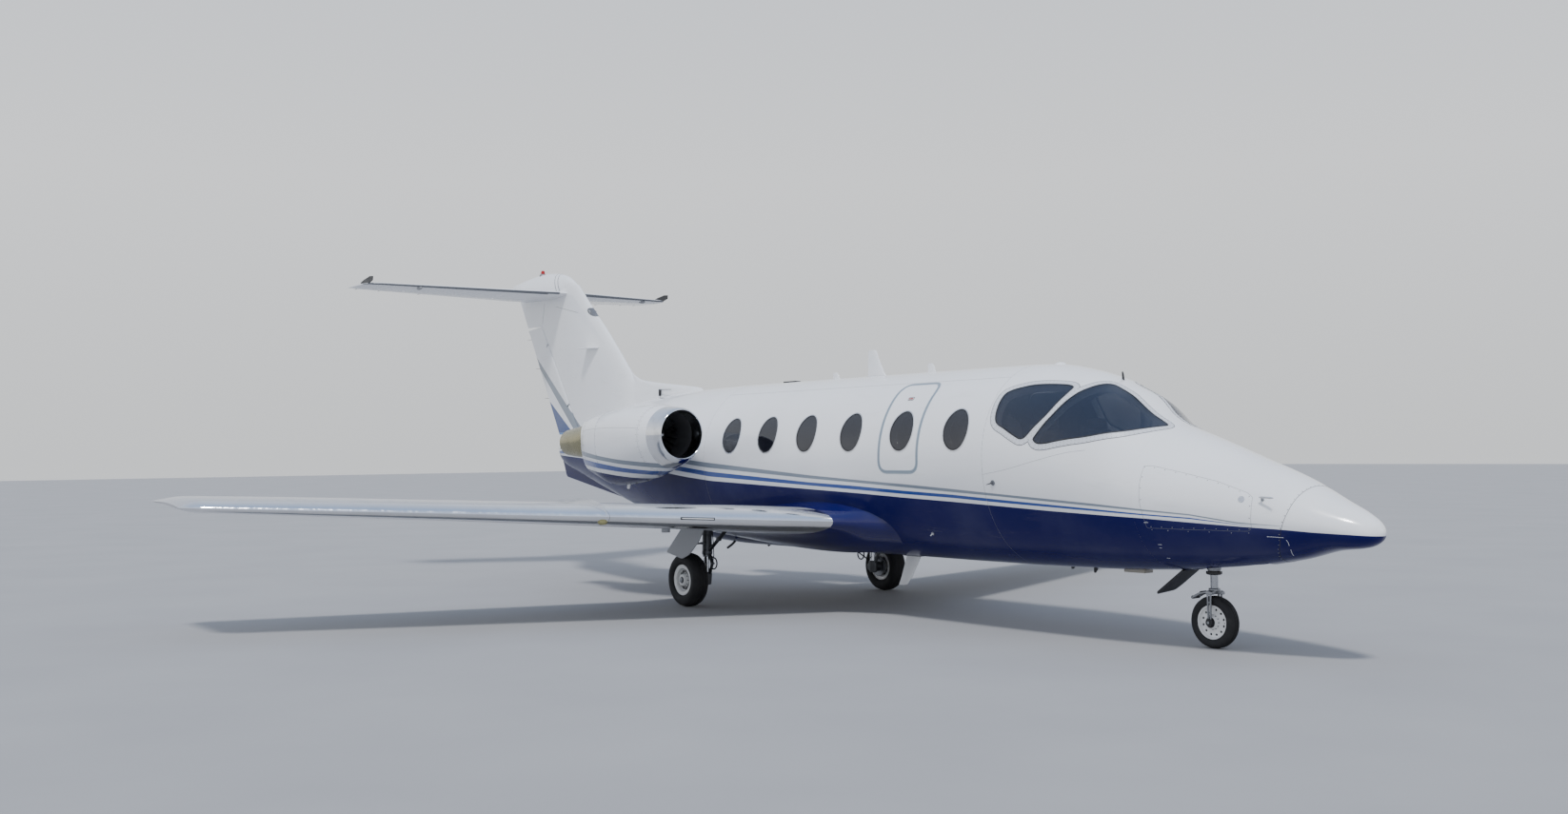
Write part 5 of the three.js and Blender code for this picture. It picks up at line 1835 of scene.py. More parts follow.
@dataclass
class Wing(Assembly):
    """Both half wings with their flaps and root fairings."""

    rib: float = 950.0
    kink: float = 1900.0
    camber: float = 0.015
    steps: int = 26

    SECTIONS = Profile(
        (
            (950, 1, 0.112, 3), (1900, 1, 0.13, 1.9), (4200, 1, 0.122, -0.4), (6450, 1, 0.11, -2.5),
            (6570, 0.93, 0.075, -2.5), (6625, 0.78, 0.02, -2.5),
        )
    )
    FAIRING = Profile(((420, 520, 380, 0.17), (640, 380, 260, 0.15), (820, 120, 90, 0.122), (949.7, 0, 0, 0.112)))
    FLAP_FRONT = ((1010, 7560), (1600, 7560), (1900, 7400), (5400, 8345))

    def edges(self, y: float) -> tuple[float, float]:
        """The stations of the leading and trailing edges.

        Args:
            y: the distance outboard.

        Returns:
            Both stations.
        """
        leading = 5050 + 0.4175 * y
        straight = 7380 + 0.2465 * y
        kinked = 7380 + 0.2465 * self.kink
        t = (self.kink - y) / (self.kink - self.rib)
        return leading, kinked + (7990 - kinked) * t if y < self.kink else straight

    def ring(self, y: float, sign: int, leading: float, chord: float, ratio: float, incidence: float) -> list[Vector]:
        """One section.

        Args:
            y: the distance outboard.
            sign: 1 for port, -1 for starboard.
            leading: the leading edge's station.
            chord: the chord.
            ratio: the thickness as a share of the chord.
            incidence: how far the nose is raised, in degrees.

        Returns:
            The points, from the nose over the top to the tail and back below.
        """
        height, tilt = 923 + 0.0445 * y, math.radians(incidence)
        shares = chord_shares(self.steps)
        made = []
        for way, row in ((1, shares), (-1, shares[:0:-1])):
            for u in row:
                w = 4 * self.camber * u * (1 - u) + way * ratio / 2 * aerofoil(u)
                ahead = u * math.cos(tilt) + w * math.sin(tilt)
                up = w * math.cos(tilt) - u * math.sin(tilt)
                made.append(place(leading + chord * ahead, sign * y, height + chord * up))
        return made

    def section(self, y: float, sign: int) -> list[Vector]:
        """The wing's section.

        Args:
            y: the distance outboard.
            sign: 1 for port, -1 for starboard.

        Returns:
            Its points.
        """
        kept, ratio, incidence = self.SECTIONS.at(y)
        leading, trailing = self.edges(y)
        chord = trailing - leading
        return self.ring(y, sign, leading + chord * (1 - kept) / 2, chord * kept, ratio, incidence)

    def region(self, sign: int, grow: float) -> Solid:
        """The space of the flap.

        Args:
            sign: 1 for port, -1 for starboard.
            grow: how much wider it is.

        Returns:
            The space as a tool.
        """
        ends = {0: -grow, len(self.FLAP_FRONT) - 1: grow}
        front = [(s - grow, sign * (y + ends.get(i, 0))) for i, (y, s) in enumerate(self.FLAP_FRONT)]
        inner, outer = self.FLAP_FRONT[0][0] - grow, self.FLAP_FRONT[-1][0] + grow
        return top_prism("tool", [*front, (9300, sign * outer), (9300, sign * inner)], 300, 1700)

    def mark_chord(self, made: Solid) -> None:
        """Writes each point's share of the chord, for the paint.

        Args:
            made: the wing or the flap.
        """
        mark = made.data.attributes.new("chord", "FLOAT", "POINT")
        shares = []
        for vertex in made.data.vertices:
            leading, trailing = self.edges(abs(vertex.co.y) / METRE)
            shares.append((station_of(vertex.co) - leading) / (trailing - leading))
        mark.data.foreach_set("value", shares)

    def build(self) -> None:
        """Builds both sides."""
        tip = [6450 + 175 * math.sin(math.pi / 2 * k / 10) for k in range(11)]
        outboard = [950, *np.arange(1100, 1900, 160).tolist(), 1900, *np.arange(2100, 6400, 200).tolist(), *tip]
        hull = body_loft("hull", -0.4, 0.0, BODY_END, 72, 120.0)
        for side in Side:
            sign, label = side.value, side.label
            whole = loft("wing_skin_" + label, [self.section(y, sign) for y in outboard])
            flap = cut(copy_of(whole, "flap_skin_" + label), self.region(sign, 0), Cut.KEEP)
            cut(whole, self.region(sign, 0.3))
            cut(whole, tube("tool", [place(6700, sign * 2150, z) for z in (860, 1000)], 0.045, 24), Cut.JOIN)
            for made, node in ((whole, "wing_"), (flap, "flap_")):
                self.mark_chord(made)
                self.kit.hand_in(made, "grey_paint", "wing_paint", replaces=[node + label])
            self.build_details(side)
            rows = []
            for y in np.linspace(420, 949.7, 16):
                ahead, behind, ratio = self.FAIRING.at(y)
                leading, trailing = self.edges(y)
                rows.append(self.ring(y, sign, leading - ahead, trailing - leading + ahead + behind, ratio, 3))
            fairing = cut(loft("wing_fairing_skin_" + label, rows), hull, Cut.REMOVE, keep_tool=True)
            self.kit.hand_in(fairing, "navy_paint", "navy_paint", replaces=["wing_fairing_" + label])
        discard(hull)

    def build_details(self, side: Side) -> None:
        """Builds the strip, joint, fence and lens of a side's leading edge, and its static wicks.

        Args:
            side: the side.
        """
        sign = side.value

        def nose(y: float, back: float) -> Vector:
            """A point a little behind the leading edge."""
            return self.section(y, sign)[0] + Vector((-back * METRE, 0, 0))

        ring = self.section(3032, sign)
        reach = [k for k, p in enumerate(ring) if (ring[0] - p).length < 0.30]
        upper = [ring[k] for k in reach if k <= self.steps]
        lower = [ring[k] for k in reach if k > self.steps]
        crest = [p for p in self.section(3055, sign)[: self.steps + 1] if (ring[0] - p).length < 1.15]
        out, sections = Vector((0, 0.0015, 0)), []
        for k, point in enumerate(crest):
            tall = 0.045 * min(1.0, (k + 0.4) / 4, (len(crest) - k) / 3)
            low, high = point - Vector((0, 0, 0.006)), point + Vector((0, 0, tall))
            sections.append([low - out, high - out, high + out, low + out])
        dome = [(0, -30), (22, -28), (40, -20), (50, -6), (52, 20), (0, 20)]
        parts = [
            self.bar("white_paint", 0.010, *[nose(y, 4) for y in np.linspace(2080, 2373, 8)], sides=16),
            self.bar("black_paint", 0.0145, *[nose(y, 9) for y in np.linspace(2068, 2385, 8)], sides=16),
            self.bar("joint_grey", 0.0022, *reversed(upper), *reversed(lower), sides=8),
            self.kit.paint(loft("fence", sections), "wing_paint"),
            self.spun("amber_lens", dome, "Z", nose(3070, 62) - Vector((0, 0, 0.052)), 32),
        ]
        for y in (5700, 6050, 6350):
            tail = self.section(y, sign)[self.steps]
            ends = (tail + Vector((0.01, 0, 0)), tail - Vector((0.11, 0, 0)))
            parts.append(self.bar("black_paint", 0.0025, *ends, sides=6))
        self.kit.hand_in(join("wing_details_" + side.label, parts), "grey_paint")


# Tail


def wedge(
    hinge: float, rear: float, radius: float, lean: float, edge: float, steps: int, shares: Sequence[float]
) -> list[tuple[float, float]]:
    """A control surface's section: round ahead of its hinge, with straight sides to its trailing edge.

    Args:
        hinge: the hinge's station.
        rear: the trailing edge's station.
        radius: half the thickness at the hinge.
        lean: how far the hinge leans, in radians.
        edge: half the thickness at the trailing edge.
        steps: the steps of the round.
        shares: where the sides' points stand, as shares of the way back.

    Returns:
        Station and offset of each point.
    """
    nose = [math.pi / 2 + math.pi * k / steps for k in range(steps + 1)]
    made = [(hinge + radius / math.cos(lean) * math.cos(t), radius * math.sin(t)) for t in nose]
    for sign, row in ((-1, shares), (1, shares[::-1])):
        made += [(hinge + (rear - hinge) * t, sign * (radius + (edge - radius) * t)) for t in row]
    return made


@dataclass
class Tail(Assembly):
    """Fin, rudder, tailplane and elevators."""

    steps: int = 22

    FIN = Profile(
        ((1960, 10150, 95), (2540, 10700, 100), (3053, 11220, 98), (3400, 11590, 92), (3727, 11975, 86), (4090, 12375, 78))
    )
    DORSAL = Profile(
        ((2250, 8900, 75), (2490, 9250, 60), (2540, 9650, 48), (2600, 10250, 40), (2660, 10680, 34), (2790, 10960, 24))
    )
    BULLET = Profile(
        (
            (12400, 4090, 4040, 14), (12560, 4188, 4000, 58), (12700, 4252, 3975, 80), (13000, 4316, 3950, 102),
            (13400, 4342, 3930, 112), (13900, 4312, 3960, 98), (14200, 4282, 4060, 60), (14410, 4262, 4200, 14),
        )
    )
    PLANE = (
        (0, 12560, 14050, 3985, 52), (170, 12620, 14075, 3992, 50), (2320, 13870, 14700, 4118, 28),
        (2440, 13980, 14730, 4125, 22), (2500, 14130, 14750, 4129, 8),
    )
    HINGE = (12330.0, 0.7)
    TRAILING = (12965.0, 0.6)
    RUDDER = (1962.0, 3568.0, 3538.0)
    ELEVATOR = (178.0, 2425.0, 13640.0, 14468.0)
    CLEAR = 7.0

    def hinge(self, z: float) -> float:
        """The rudder hinge's station at a height."""
        return self.HINGE[0] + self.HINGE[1] * (z - self.RUDDER[0])

    def trailing(self, z: float) -> float:
        """The trailing edge's station at a height."""
        return self.TRAILING[0] + self.TRAILING[1] * (z - self.RUDDER[0])

    def half(self, rows: Profile, station: float, z: float) -> float:
        """Half the fin's thickness."""
        leading, greatest = rows.at(z)
        return greatest * aerofoil((station - leading) / (self.trailing(z) - leading))

    def ring(self, rows: Profile, z: float, rear: float) -> list[Vector]:
        """A level section of the fin.

        Args:
            rows: the fin's or the dorsal fin's table.
            z: the height.
            rear: the station where it ends.

        Returns:
            Its points.
        """
        front = rows.at(z)[0]
        stations = [front + (rear - front) * u for u in chord_shares(self.steps)]
        port = [place(s, self.half(rows, s, z), z) for s in stations]
        return [*port, *[place(s, -self.half(rows, s, z), z) for s in reversed(stations)]]

    def column(self, y: float, index: int) -> float:
        """A column of the tailplane's table at a distance outboard."""
        return float(np.interp(y, [r[0] for r in self.PLANE], [r[index] for r in self.PLANE]))

    def plane_ring(self, y: float, sign: int, grow: float) -> list[Vector]:
        """A section of the tailplane.

        Args:
            y: the distance outboard.
            sign: 1 for port, -1 for starboard.
            grow: how much larger it is all round.

        Returns:
            Its points.
        """
        leading, trailing, height, half = (self.column(y, i) for i in (1, 2, 3, 4))
        shares = chord_shares(self.steps)
        made = []
        for way, row in ((1, shares), (-1, shares[::-1])):
            for u in row:
                station = leading - grow + (trailing - leading + 2 * grow) * u
                made.append(place(station, sign * y, height + way * (half * aerofoil(u) + grow)))
        return made

    def plane(self, name: str, grow: float) -> Solid:
        """The whole tailplane.

        Args:
            name: the object's name.
            grow: how much larger it is all round.

        Returns:
            The tailplane.
        """
        outboard = [0, 90, 170, *np.arange(300, 2300, 170).tolist(), 2320, 2380, 2440, 2475, 2500]
        rings = [self.plane_ring(y, -1, grow) for y in reversed(outboard[1:])]
        return loft(name, [*rings, *[self.plane_ring(y, 1, grow) for y in outboard]])

    def lug_frame(self, point: Vector, direction: Vector) -> Matrix:
        """A place on a hinge line, with its z along the line."""
        turn = Vector((0, 0, 1)).rotation_difference(direction.normalized())
        return Matrix.Translation(point) @ turn.to_matrix().to_4x4()

    def lug(self, point: Vector, direction: Vector, reach: float) -> Solid:
        """A hinge lug: a plate with a round barrel.

        Args:
            point: its place on the hinge line.
            direction: the line's direction.
            reach: the plate's length, in millimetres.

        Returns:
            The lug.
        """
        plate = block("lug", (0, -0.011, -0.016), (reach * METRE, 0.011, 0.016))
        whole = cut(plate, tube("barrel", [(0, 0, -0.016), (0, 0, 0.016)], 0.015, 20), Cut.JOIN)
        whole.data.transform(self.lug_frame(point, direction))
        return whole

    def notch(self, point: Vector, direction: Vector) -> Solid:
        """The notch that a lug stands in.

        Args:
            point: the lug's place on the hinge line.
            direction: the line's direction.

        Returns:
            The notch as a tool.
        """
        made = block("tool", (-0.046, -0.2, -0.0163), (0.4, 0.2, 0.0163))
        made.data.transform(self.lug_frame(point, direction))
        return made

    def build(self) -> None:
        """Builds the fin, the rudder and the tailplane."""
        self.build_fin()
        self.build_tailplane()

    def build_fin(self) -> None:
        """Builds the fin with its bullet, and the rudder."""
        lean = math.atan(self.HINGE[1])

        def ahead(z: float) -> float:
            """The fin's rear edge beside the rudder."""
            return self.hinge(z) - (self.half(self.FIN, self.hinge(z), z) + self.CLEAR) / math.cos(lean)

        def sheet(rows: Profile, heights: Sequence[float], rear: Callable[[float], float]) -> Solid:
            """A part of the fin up to a rear edge."""
            return loft("fin_skin", [self.ring(rows, z, rear(z)) for z in heights])

        fin = sheet(self.FIN, [*np.linspace(1960, 3555, 22).tolist(), 3585], ahead)
        rings = []
        for station in [12400, 12420, 12450, *np.arange(12500, 14400, 60).tolist(), 14410]:
            top, bottom, half = self.BULLET.at(station)
            middle, rise = (top + bottom) / 2, (top - bottom) / 2
            rings.append([place(station, half * math.cos(t), middle + rise * math.sin(t)) for t in turns(32)])
        up = Vector((-self.HINGE[1], 0, 1))
        places = [place(self.hinge(z), 0, z) for z in (2380, 3280)]
        for tool in (
            sheet(self.FIN, [3585, *np.linspace(3620, 4090, 10).tolist()], self.trailing),
            sheet(self.DORSAL, [2250, 2370, *np.linspace(2490, 2790, 16).tolist()], lambda z: 11400.0),
            loft("tool", rings),
            *[self.lug(point, up, 130) for point in places],
        ):
            cut(fin, tool, Cut.JOIN)
        cut(fin, body_loft("tool", -0.4, 0.0, BODY_END, 72, 120.0))
        cut(fin, self.plane("tool", 0.3))
        self.kit.hand_in(fin, "white_paint", "fin_paint", replaces=["fin"])

        foot, top, rear_top = self.RUDDER
        shares = (0.15, 0.3, 0.5, 0.7, 0.85, 1.0)
        rings = []
        for z in np.linspace(foot, top, 18):
            hinge, rear = self.hinge(z), self.trailing(z)
            ring = wedge(hinge, rear, self.half(self.FIN, hinge, z), lean, 5, 12, shares)
            drop = (top - rear_top) * (z > top - 1)
            rings.append([place(s, y, z - drop * max(0.0, (s - hinge) / (rear - hinge))) for s, y in ring])
        rudder = loft("rudder_skin", rings)
        for point in places:
            cut(rudder, self.notch(point, up))
        self.kit.hand_in(rudder, "white_paint", "fin_paint", "rudder", ["rudder"])

    def build_tailplane(self) -> None:
        """Builds the stabilizer and the elevators."""
        inner, outer, hinge_in, hinge_out = self.ELEVATOR
        rake = (hinge_out - hinge_in) / (outer - inner)
        lean = math.atan(rake)
        rise = (self.column(outer, 3) - self.column(inner, 3)) / (outer - inner)
        first, last = inner - self.CLEAR, outer + 2 * self.CLEAR

        def hinge(y: float) -> float:
            """The elevator hinge's station."""
            return hinge_in + rake * (y - inner)

        def half(y: float) -> float:
            """Half the tailplane's thickness at the hinge."""
            leading, trailing = self.column(y, 1), self.column(y, 2)
            return self.column(y, 4) * aerofoil((hinge(y) - leading) / (trailing - leading))

        def ahead(y: float) -> float:
            """The stabilizer's rear edge beside the elevator."""
            return hinge(y) - (half(y) + self.CLEAR) / math.cos(lean)

        stabilizer = self.plane("stabilizer_skin", 0.0)
        corners = [
            (ahead(inner), first), (ahead(inner), inner), (ahead(outer), outer), (ahead(outer), last),
            (15500, last), (15500, first),
        ]
        for side in Side:
            sign, name = side.value, "elevator_" + side.label
            line = Vector((-rake, sign, rise))
            hinges = [place(hinge(y), sign * y, self.column(y, 3)) for y in (650, 1850)]
            cut(stabilizer, top_prism("tool", [(s, sign * y) for s, y in corners], 3700, 4400))
            rings = []
            for y in np.linspace(inner, outer, 14):
                ring = wedge(hinge(y), self.column(y, 2), half(y), lean, 4, 10, (0.2, 0.45, 0.75, 1.0))
                rings.append([place(s, sign * y, self.column(y, 3) + w) for s, w in ring])
            elevator = loft("elevator_skin_" + side.label, rings)
            for point in hinges:
                cut(stabilizer, self.lug(point, line, 110), Cut.JOIN)
                cut(elevator, self.notch(point, line))
            self.kit.hand_in(elevator, "white_paint", "white_paint", name, [name])
        self.kit.hand_in(stabilizer, "white_paint", ("white_paint", "joint_grey"), replaces=["stabilizer"])

        def leading_edge(point: Vector, normal: Vector) -> bool:
            """Whether a face belongs to the dark strip of the leading edge."""
            out = abs(point.y) / METRE
            return out > 200 and station_of(point) < self.column(out, 1) + 46 and normal.x > 0.1 and normal.z < 0.75

        second_material(stabilizer, leading_edge)


# Engines


@dataclass
class Engine(Assembly):
    """One engine with its nacelle, fan, core, nozzle and pylon."""

    side: Side
    out: float = 1330.0
    height: float = 1885.0
    around: int = 80

    NACELLE = Profile(
        (
            (7860, 320, 378, 342, 1), (8150, 350, 465, 384, 0.95), (8500, 340, 541, 401, 0.86),
            (8950, 308, 580, 370, 0.82), (9300, 262, 500, 304, 0.82), (9550, 232, 440, 222, 0.82),
        )
    )
    LIP = Profile(
        (
            (7643, 276, 276, 270, 1), (7646, 283, 285, 276, 1), (7665, 293, 300, 286, 1), (7720, 305, 335, 305, 1),
            (7800, 315, 362, 328, 1), (7859.7, 320, 378, 342, 1),
        )
    )
    THROAT = ((7640, 276), (7643, 275), (7646, 271), (7665, 266), (7720, 262), (7862, 270))
    DUCT = ((7855, 270), (7860, 270), (8050, 285), (8700, 285), (9300, 226), (9555, 194))
    NOZZLE = Profile(((9550.3, 20, 206), (9750, 50, 200), (10000, 62, 182), (10200, 65, 160)))
    NOZZLE_WALL = 10.0

    @property
    def centre(self) -> Point:
        """The engine's centre line, as an offset from the aircraft's."""
        return (0.0, self.side.value * self.out * METRE, self.height * METRE)

    def along(self, name: str, profile: Outline, segments: int = 80) -> Solid:
        """A profile of station and radius turned about the engine's centre line."""
        return turned(name, [(r, LENGTH / 2 - s) for s, r in profile], segments, "X", self.centre)

    def skin(self, rows: Profile, station: float, angle: float, grow: float = 0.0) -> Vector:
        """A point of a cowling.

        Args:
            rows: the cowling's table.
            station: the station.
            angle: the angle, where 0 is port and a quarter turn is up.
            grow: how far outside the cowling the point is.

        Returns:
            The point.
        """
        up, down, across, power = rows.at(station)
        c, s = math.cos(angle), math.sin(angle)
        wide = math.copysign(abs(c) ** power, c) * (across + grow)
        tall = math.copysign(abs(s) ** power, s) * ((up if s > 0 else down) + grow)
        return place(station, wide, tall) + Vector(self.centre)

    def cowling(self, name: str, rows: Profile, stations: Sequence[float], grow: float = 0.0) -> Solid:
        """A cowling's outside as a solid."""
        return loft(name, [[self.skin(rows, s, t, grow) for t in turns(self.around)] for s in stations])

    def outer(self, name: str, grow: float = 0.0) -> Solid:
        """The nacelle's outside as a solid."""
        return self.cowling(name, self.NACELLE, np.linspace(7860, 9550, 36).tolist(), grow)

    def hoop(self, station: float, wide: float, lift: float) -> Solid:
        """A thin band round the nacelle.

        Args:
            station: its middle.
            wide: half its width.
            lift: how far its face stands off the cowling.

        Returns:
            The band.
        """
        corners = ((-wide, lift), (wide, lift), (wide, -2.0), (-wide, -2.0))
        sections = [[self.skin(self.NACELLE, station + s, t, g) for s, g in corners] for t in turns(120)]
        return closed_strip("line", sections)

    def out_of(self, station: float, angle: float) -> tuple[Vector, Vector]:
        """A point of the nacelle's skin and the way out of it."""
        here = self.skin(self.NACELLE, station, angle)
        return here, (self.skin(self.NACELLE, station, angle, 10) - here).normalized()

    def build(self) -> None:
        """Builds the engine's pieces."""
        label, hand_in, axis = self.side.label, self.kit.hand_in, Vector(self.centre)

        def inward(point: Vector, normal: Vector) -> bool:
            """Whether a face of the nacelle belongs to its duct."""
            across = Vector((0, point.y - axis.y, point.z - axis.z))
            return across.length < 0.30 and normal.dot(across) < 0

        nacelle = self.outer("nacelle_skin_" + label)
        cut(nacelle, self.along("tool", [(self.DUCT[0][0], 0), *self.DUCT, (self.DUCT[-1][0], 0)]))
        hand_in(nacelle, "white_paint", ("livery_paint", "duct_grey"), replaces=["nacelle_" + label])
        # The duct's inside takes the near-black grey, a painted shade inside the intake
        second_material(nacelle, inward)
        stations = [7643, 7644.5, 7646, 7650, 7656, 7665, 7680, 7700, 7720, 7760, 7800, 7830, 7859.7]
        lip = self.cowling("inlet_lip_ring_" + label, self.LIP, stations)
        cut(lip, self.along("tool", [(self.THROAT[0][0], 0), *self.THROAT, (self.THROAT[-1][0], 0)]))
        hand_in(lip, "polished_metal", "polished_metal", replaces=["inlet_lip_" + label], angle=50)
        self.build_fan()
        core = [
            (9480, 0), (9480, 90), (9120, 215), (8980, 215), (8980, 257.2), (8900, 257.2), (8900, 215), (8360, 215),
            (8300, 150), (8280.3, 60), (8280.3, 0),
        ]
        case = self.along("engine_core_case_" + label, core)
        hand_in(case, "engine_metal", "core_metal", replaces=["engine_core_" + label])
        self.build_nozzle()
        self.build_details()
        self.build_pylon()

    def build_nozzle(self) -> None:
        """Builds the drooping exhaust nozzle with its rolled edge."""
        name, centre = self.side.label, Vector(self.centre)

        def pipe(smaller: float) -> Solid:
            """The nozzle's outside, or its bore where it is smaller by the wall.

            Args:
                smaller: how much smaller than the outside it is.

            Returns:
                The solid.
            """
            rings = []
            for station in np.linspace(9550.3, 10200.0, 20):
                drop, radius = self.NOZZLE.at(station)
                middle, r = centre + Vector((0, 0, -drop * METRE)), radius - smaller
                rings.append([place(station, r * math.cos(t), r * math.sin(t)) + middle for t in turns(self.around)])
            return loft("nozzle", rings)

        nozzle, bore = pipe(0.0), pipe(self.NOZZLE_WALL)
        for vertex in bore.data.vertices:
            station = station_of(vertex.co)
            vertex.co.x += METRE * 5 * ((station < 9551) - (station > 10199))
        cut(nozzle, bore)
        drop, radius = self.NOZZLE.at(10200)
        middle = centre + place(10196, 0, -drop)
        sections = []
        for angle in turns(self.around):
            out = Vector((0, math.cos(angle), math.sin(angle)))
            bead = [(radius - 3 + 5 * math.cos(t), 4 * math.sin(t)) for t in turns(8)]
            sections.append([middle + out * r * METRE + Vector((METRE * x, 0, 0)) for r, x in bead])
        seam = self.along("seam", [(9556, 207), (9556, 211), (9574, 211), (9574, 207)])
        seam.data.transform(Matrix.Translation((0, 0, -22 * METRE)))
        rolled = closed_strip("rolled_edge", sections)
        paint = self.kit.paint
        # The nozzle's olive tint is a painted reflection of the ground
        parts = [paint(nozzle, "tinted_metal"), paint(rolled, "tinted_metal"), paint(seam, "dull_metal")]
        whole = join("exhaust_nozzle_shell_" + name, parts)
        self.kit.hand_in(whole, "nozzle_metal", replaces=["exhaust_nozzle_" + name])

    def build_details(self) -> None:
        """Builds the cowling's joints, its fasteners, latches and drain mast."""
        label, kit, below = self.side.label, self.kit, math.radians(-90)
        lines = [self.hoop(s, 1.1, 0.4) for s in (8010, 8955, 9420)]
        for angle in (math.radians(168), math.radians(12), below):
            rings = []
            for station in np.linspace(8010, 9420, 40):
                here, out = self.out_of(station, angle)
                side, high, low = out.cross(Vector((1, 0, 0))).normalized() * 1.1 * METRE, out * 0.0004, out * 0.002
                rings.append([here + side + high, here - side + high, here - side - low, here + side - low])
            lines.append(loft("line", rings))
        kit.hand_in(join("cowling_joint_lines_" + label, lines), "tyre_rubber", "joint_grey")
        spots = [self.out_of(s, t) for s in (7990, 8030, 8940, 9405) for t in turns(40)]
        self.studs("cowling_fasteners_" + label, spots, 5)
        latches = []
        for station in (8150, 8400, 8650, 8850):
            here, _ = self.out_of(station, below)
            low, high = here + Vector((-0.03, -0.012, -0.003)), here + Vector((0.03, 0.012, 0.004))
            latches.append(block("latch", low, high, 0.002))
        kit.hand_in(join("cowling_latches_" + label, latches), "gear_metal", "dull_metal")
        foot, _ = self.out_of(8800, below)
        rings = []
        for drop, half, wide in ((-6, 42, 9), (18, 36, 7), (50, 26, 6)):
            middle = foot + Vector((-0.25 * drop * METRE, 0, -drop * METRE))
            round_it = [(half * METRE * math.cos(t), wide * METRE * math.sin(t), 0) for t in turns(16)]
            rings.append([middle + Vector(p) for p in round_it])
        parts = [kit.paint(loft("mast", rings), "white_paint")]
        for x in (-0.016, 0.006):
            start = foot + Vector((x - 0.008, 0, -0.044))
            parts.append(self.bar("dull_metal", 0.0035, start, start + Vector((-0.008, 0, -0.03)), sides=10))
        kit.hand_in(join("drain_mast_" + label, parts), "white_paint")

    def build_fan(self) -> None:
        """Builds the fan with its twisted blades and spinner."""
        name, station = "fan_" + self.side.label, 8190.0
        hub = [(90, 0), (90, 26), (50, 30), (50, 85), (-40, 85), (-60, 76), (-85, 60), (-110, 40), (-135, 20), (-150, 0)]
        parts = [self.along("hub", [(station + s, r) for s, r in hub], 48)]
        middle = Vector((place(station, 0, 0).x, 0, 0)), Vector(self.centre)
        for angle in turns(20):
            spin = Matrix.Rotation(angle, 4, "X")
            rings = []
            for t in np.linspace(0, 1, 7):
                radius, pitch = 70 + (270 - 70) * t, math.radians(25 + 30 * t)
                ring = []
                for u, w in ((-1, 0), (-0.5, 1), (0, 1.2), (0.5, 1), (1, 0), (0.5, -0.6), (0, -0.8), (-0.5, -0.6)):
                    a, b = u * 38, w * 3.2
                    x = a * math.cos(pitch) - b * math.sin(pitch)
                    y = a * math.sin(pitch) + b * math.cos(pitch)
                    ring.append(spin @ Vector((x * METRE, y * METRE, radius * METRE)) + middle[0] + middle[1])
                rings.append(ring)
            parts.append(loft("blade", rings))
        whole = join("fan_rotor_" + self.side.label, parts)
        self.kit.hand_in(whole, "engine_metal", "fan_metal", name, [name])

    def build_pylon(self) -> None:
        """Builds the stub between the fuselage and the nacelle."""
        shares = chord_shares(20)
        rings = []
        for y in np.linspace(450, self.out - 150, 10):
            rows = [(1, u) for u in shares] + [(-1, u) for u in reversed(shares[1:])]
            rings.append([place(8180 + 1300 * u, self.side.value * y, 1800 + way * 62 * aerofoil(u)) for way, u in rows])
        pylon = loft("engine_pylon_skin_" + self.side.label, rings)
        cut(pylon, body_loft("tool", -0.4, 0.0, BODY_END, 72, 120.0))
        cut(pylon, self.outer("tool", 0.4))
        self.kit.hand_in(pylon, "white_paint", "white_paint", replaces=["engine_pylon_" + self.side.label])


# Landing gear


@dataclass(frozen=True)
class WheelSize:
    """A wheel's measures, in millimetres."""

    tyre: float
    wide: float
    rim: float
    bore: float
    hub: float
    holes: int
    lip: float
    hole: float


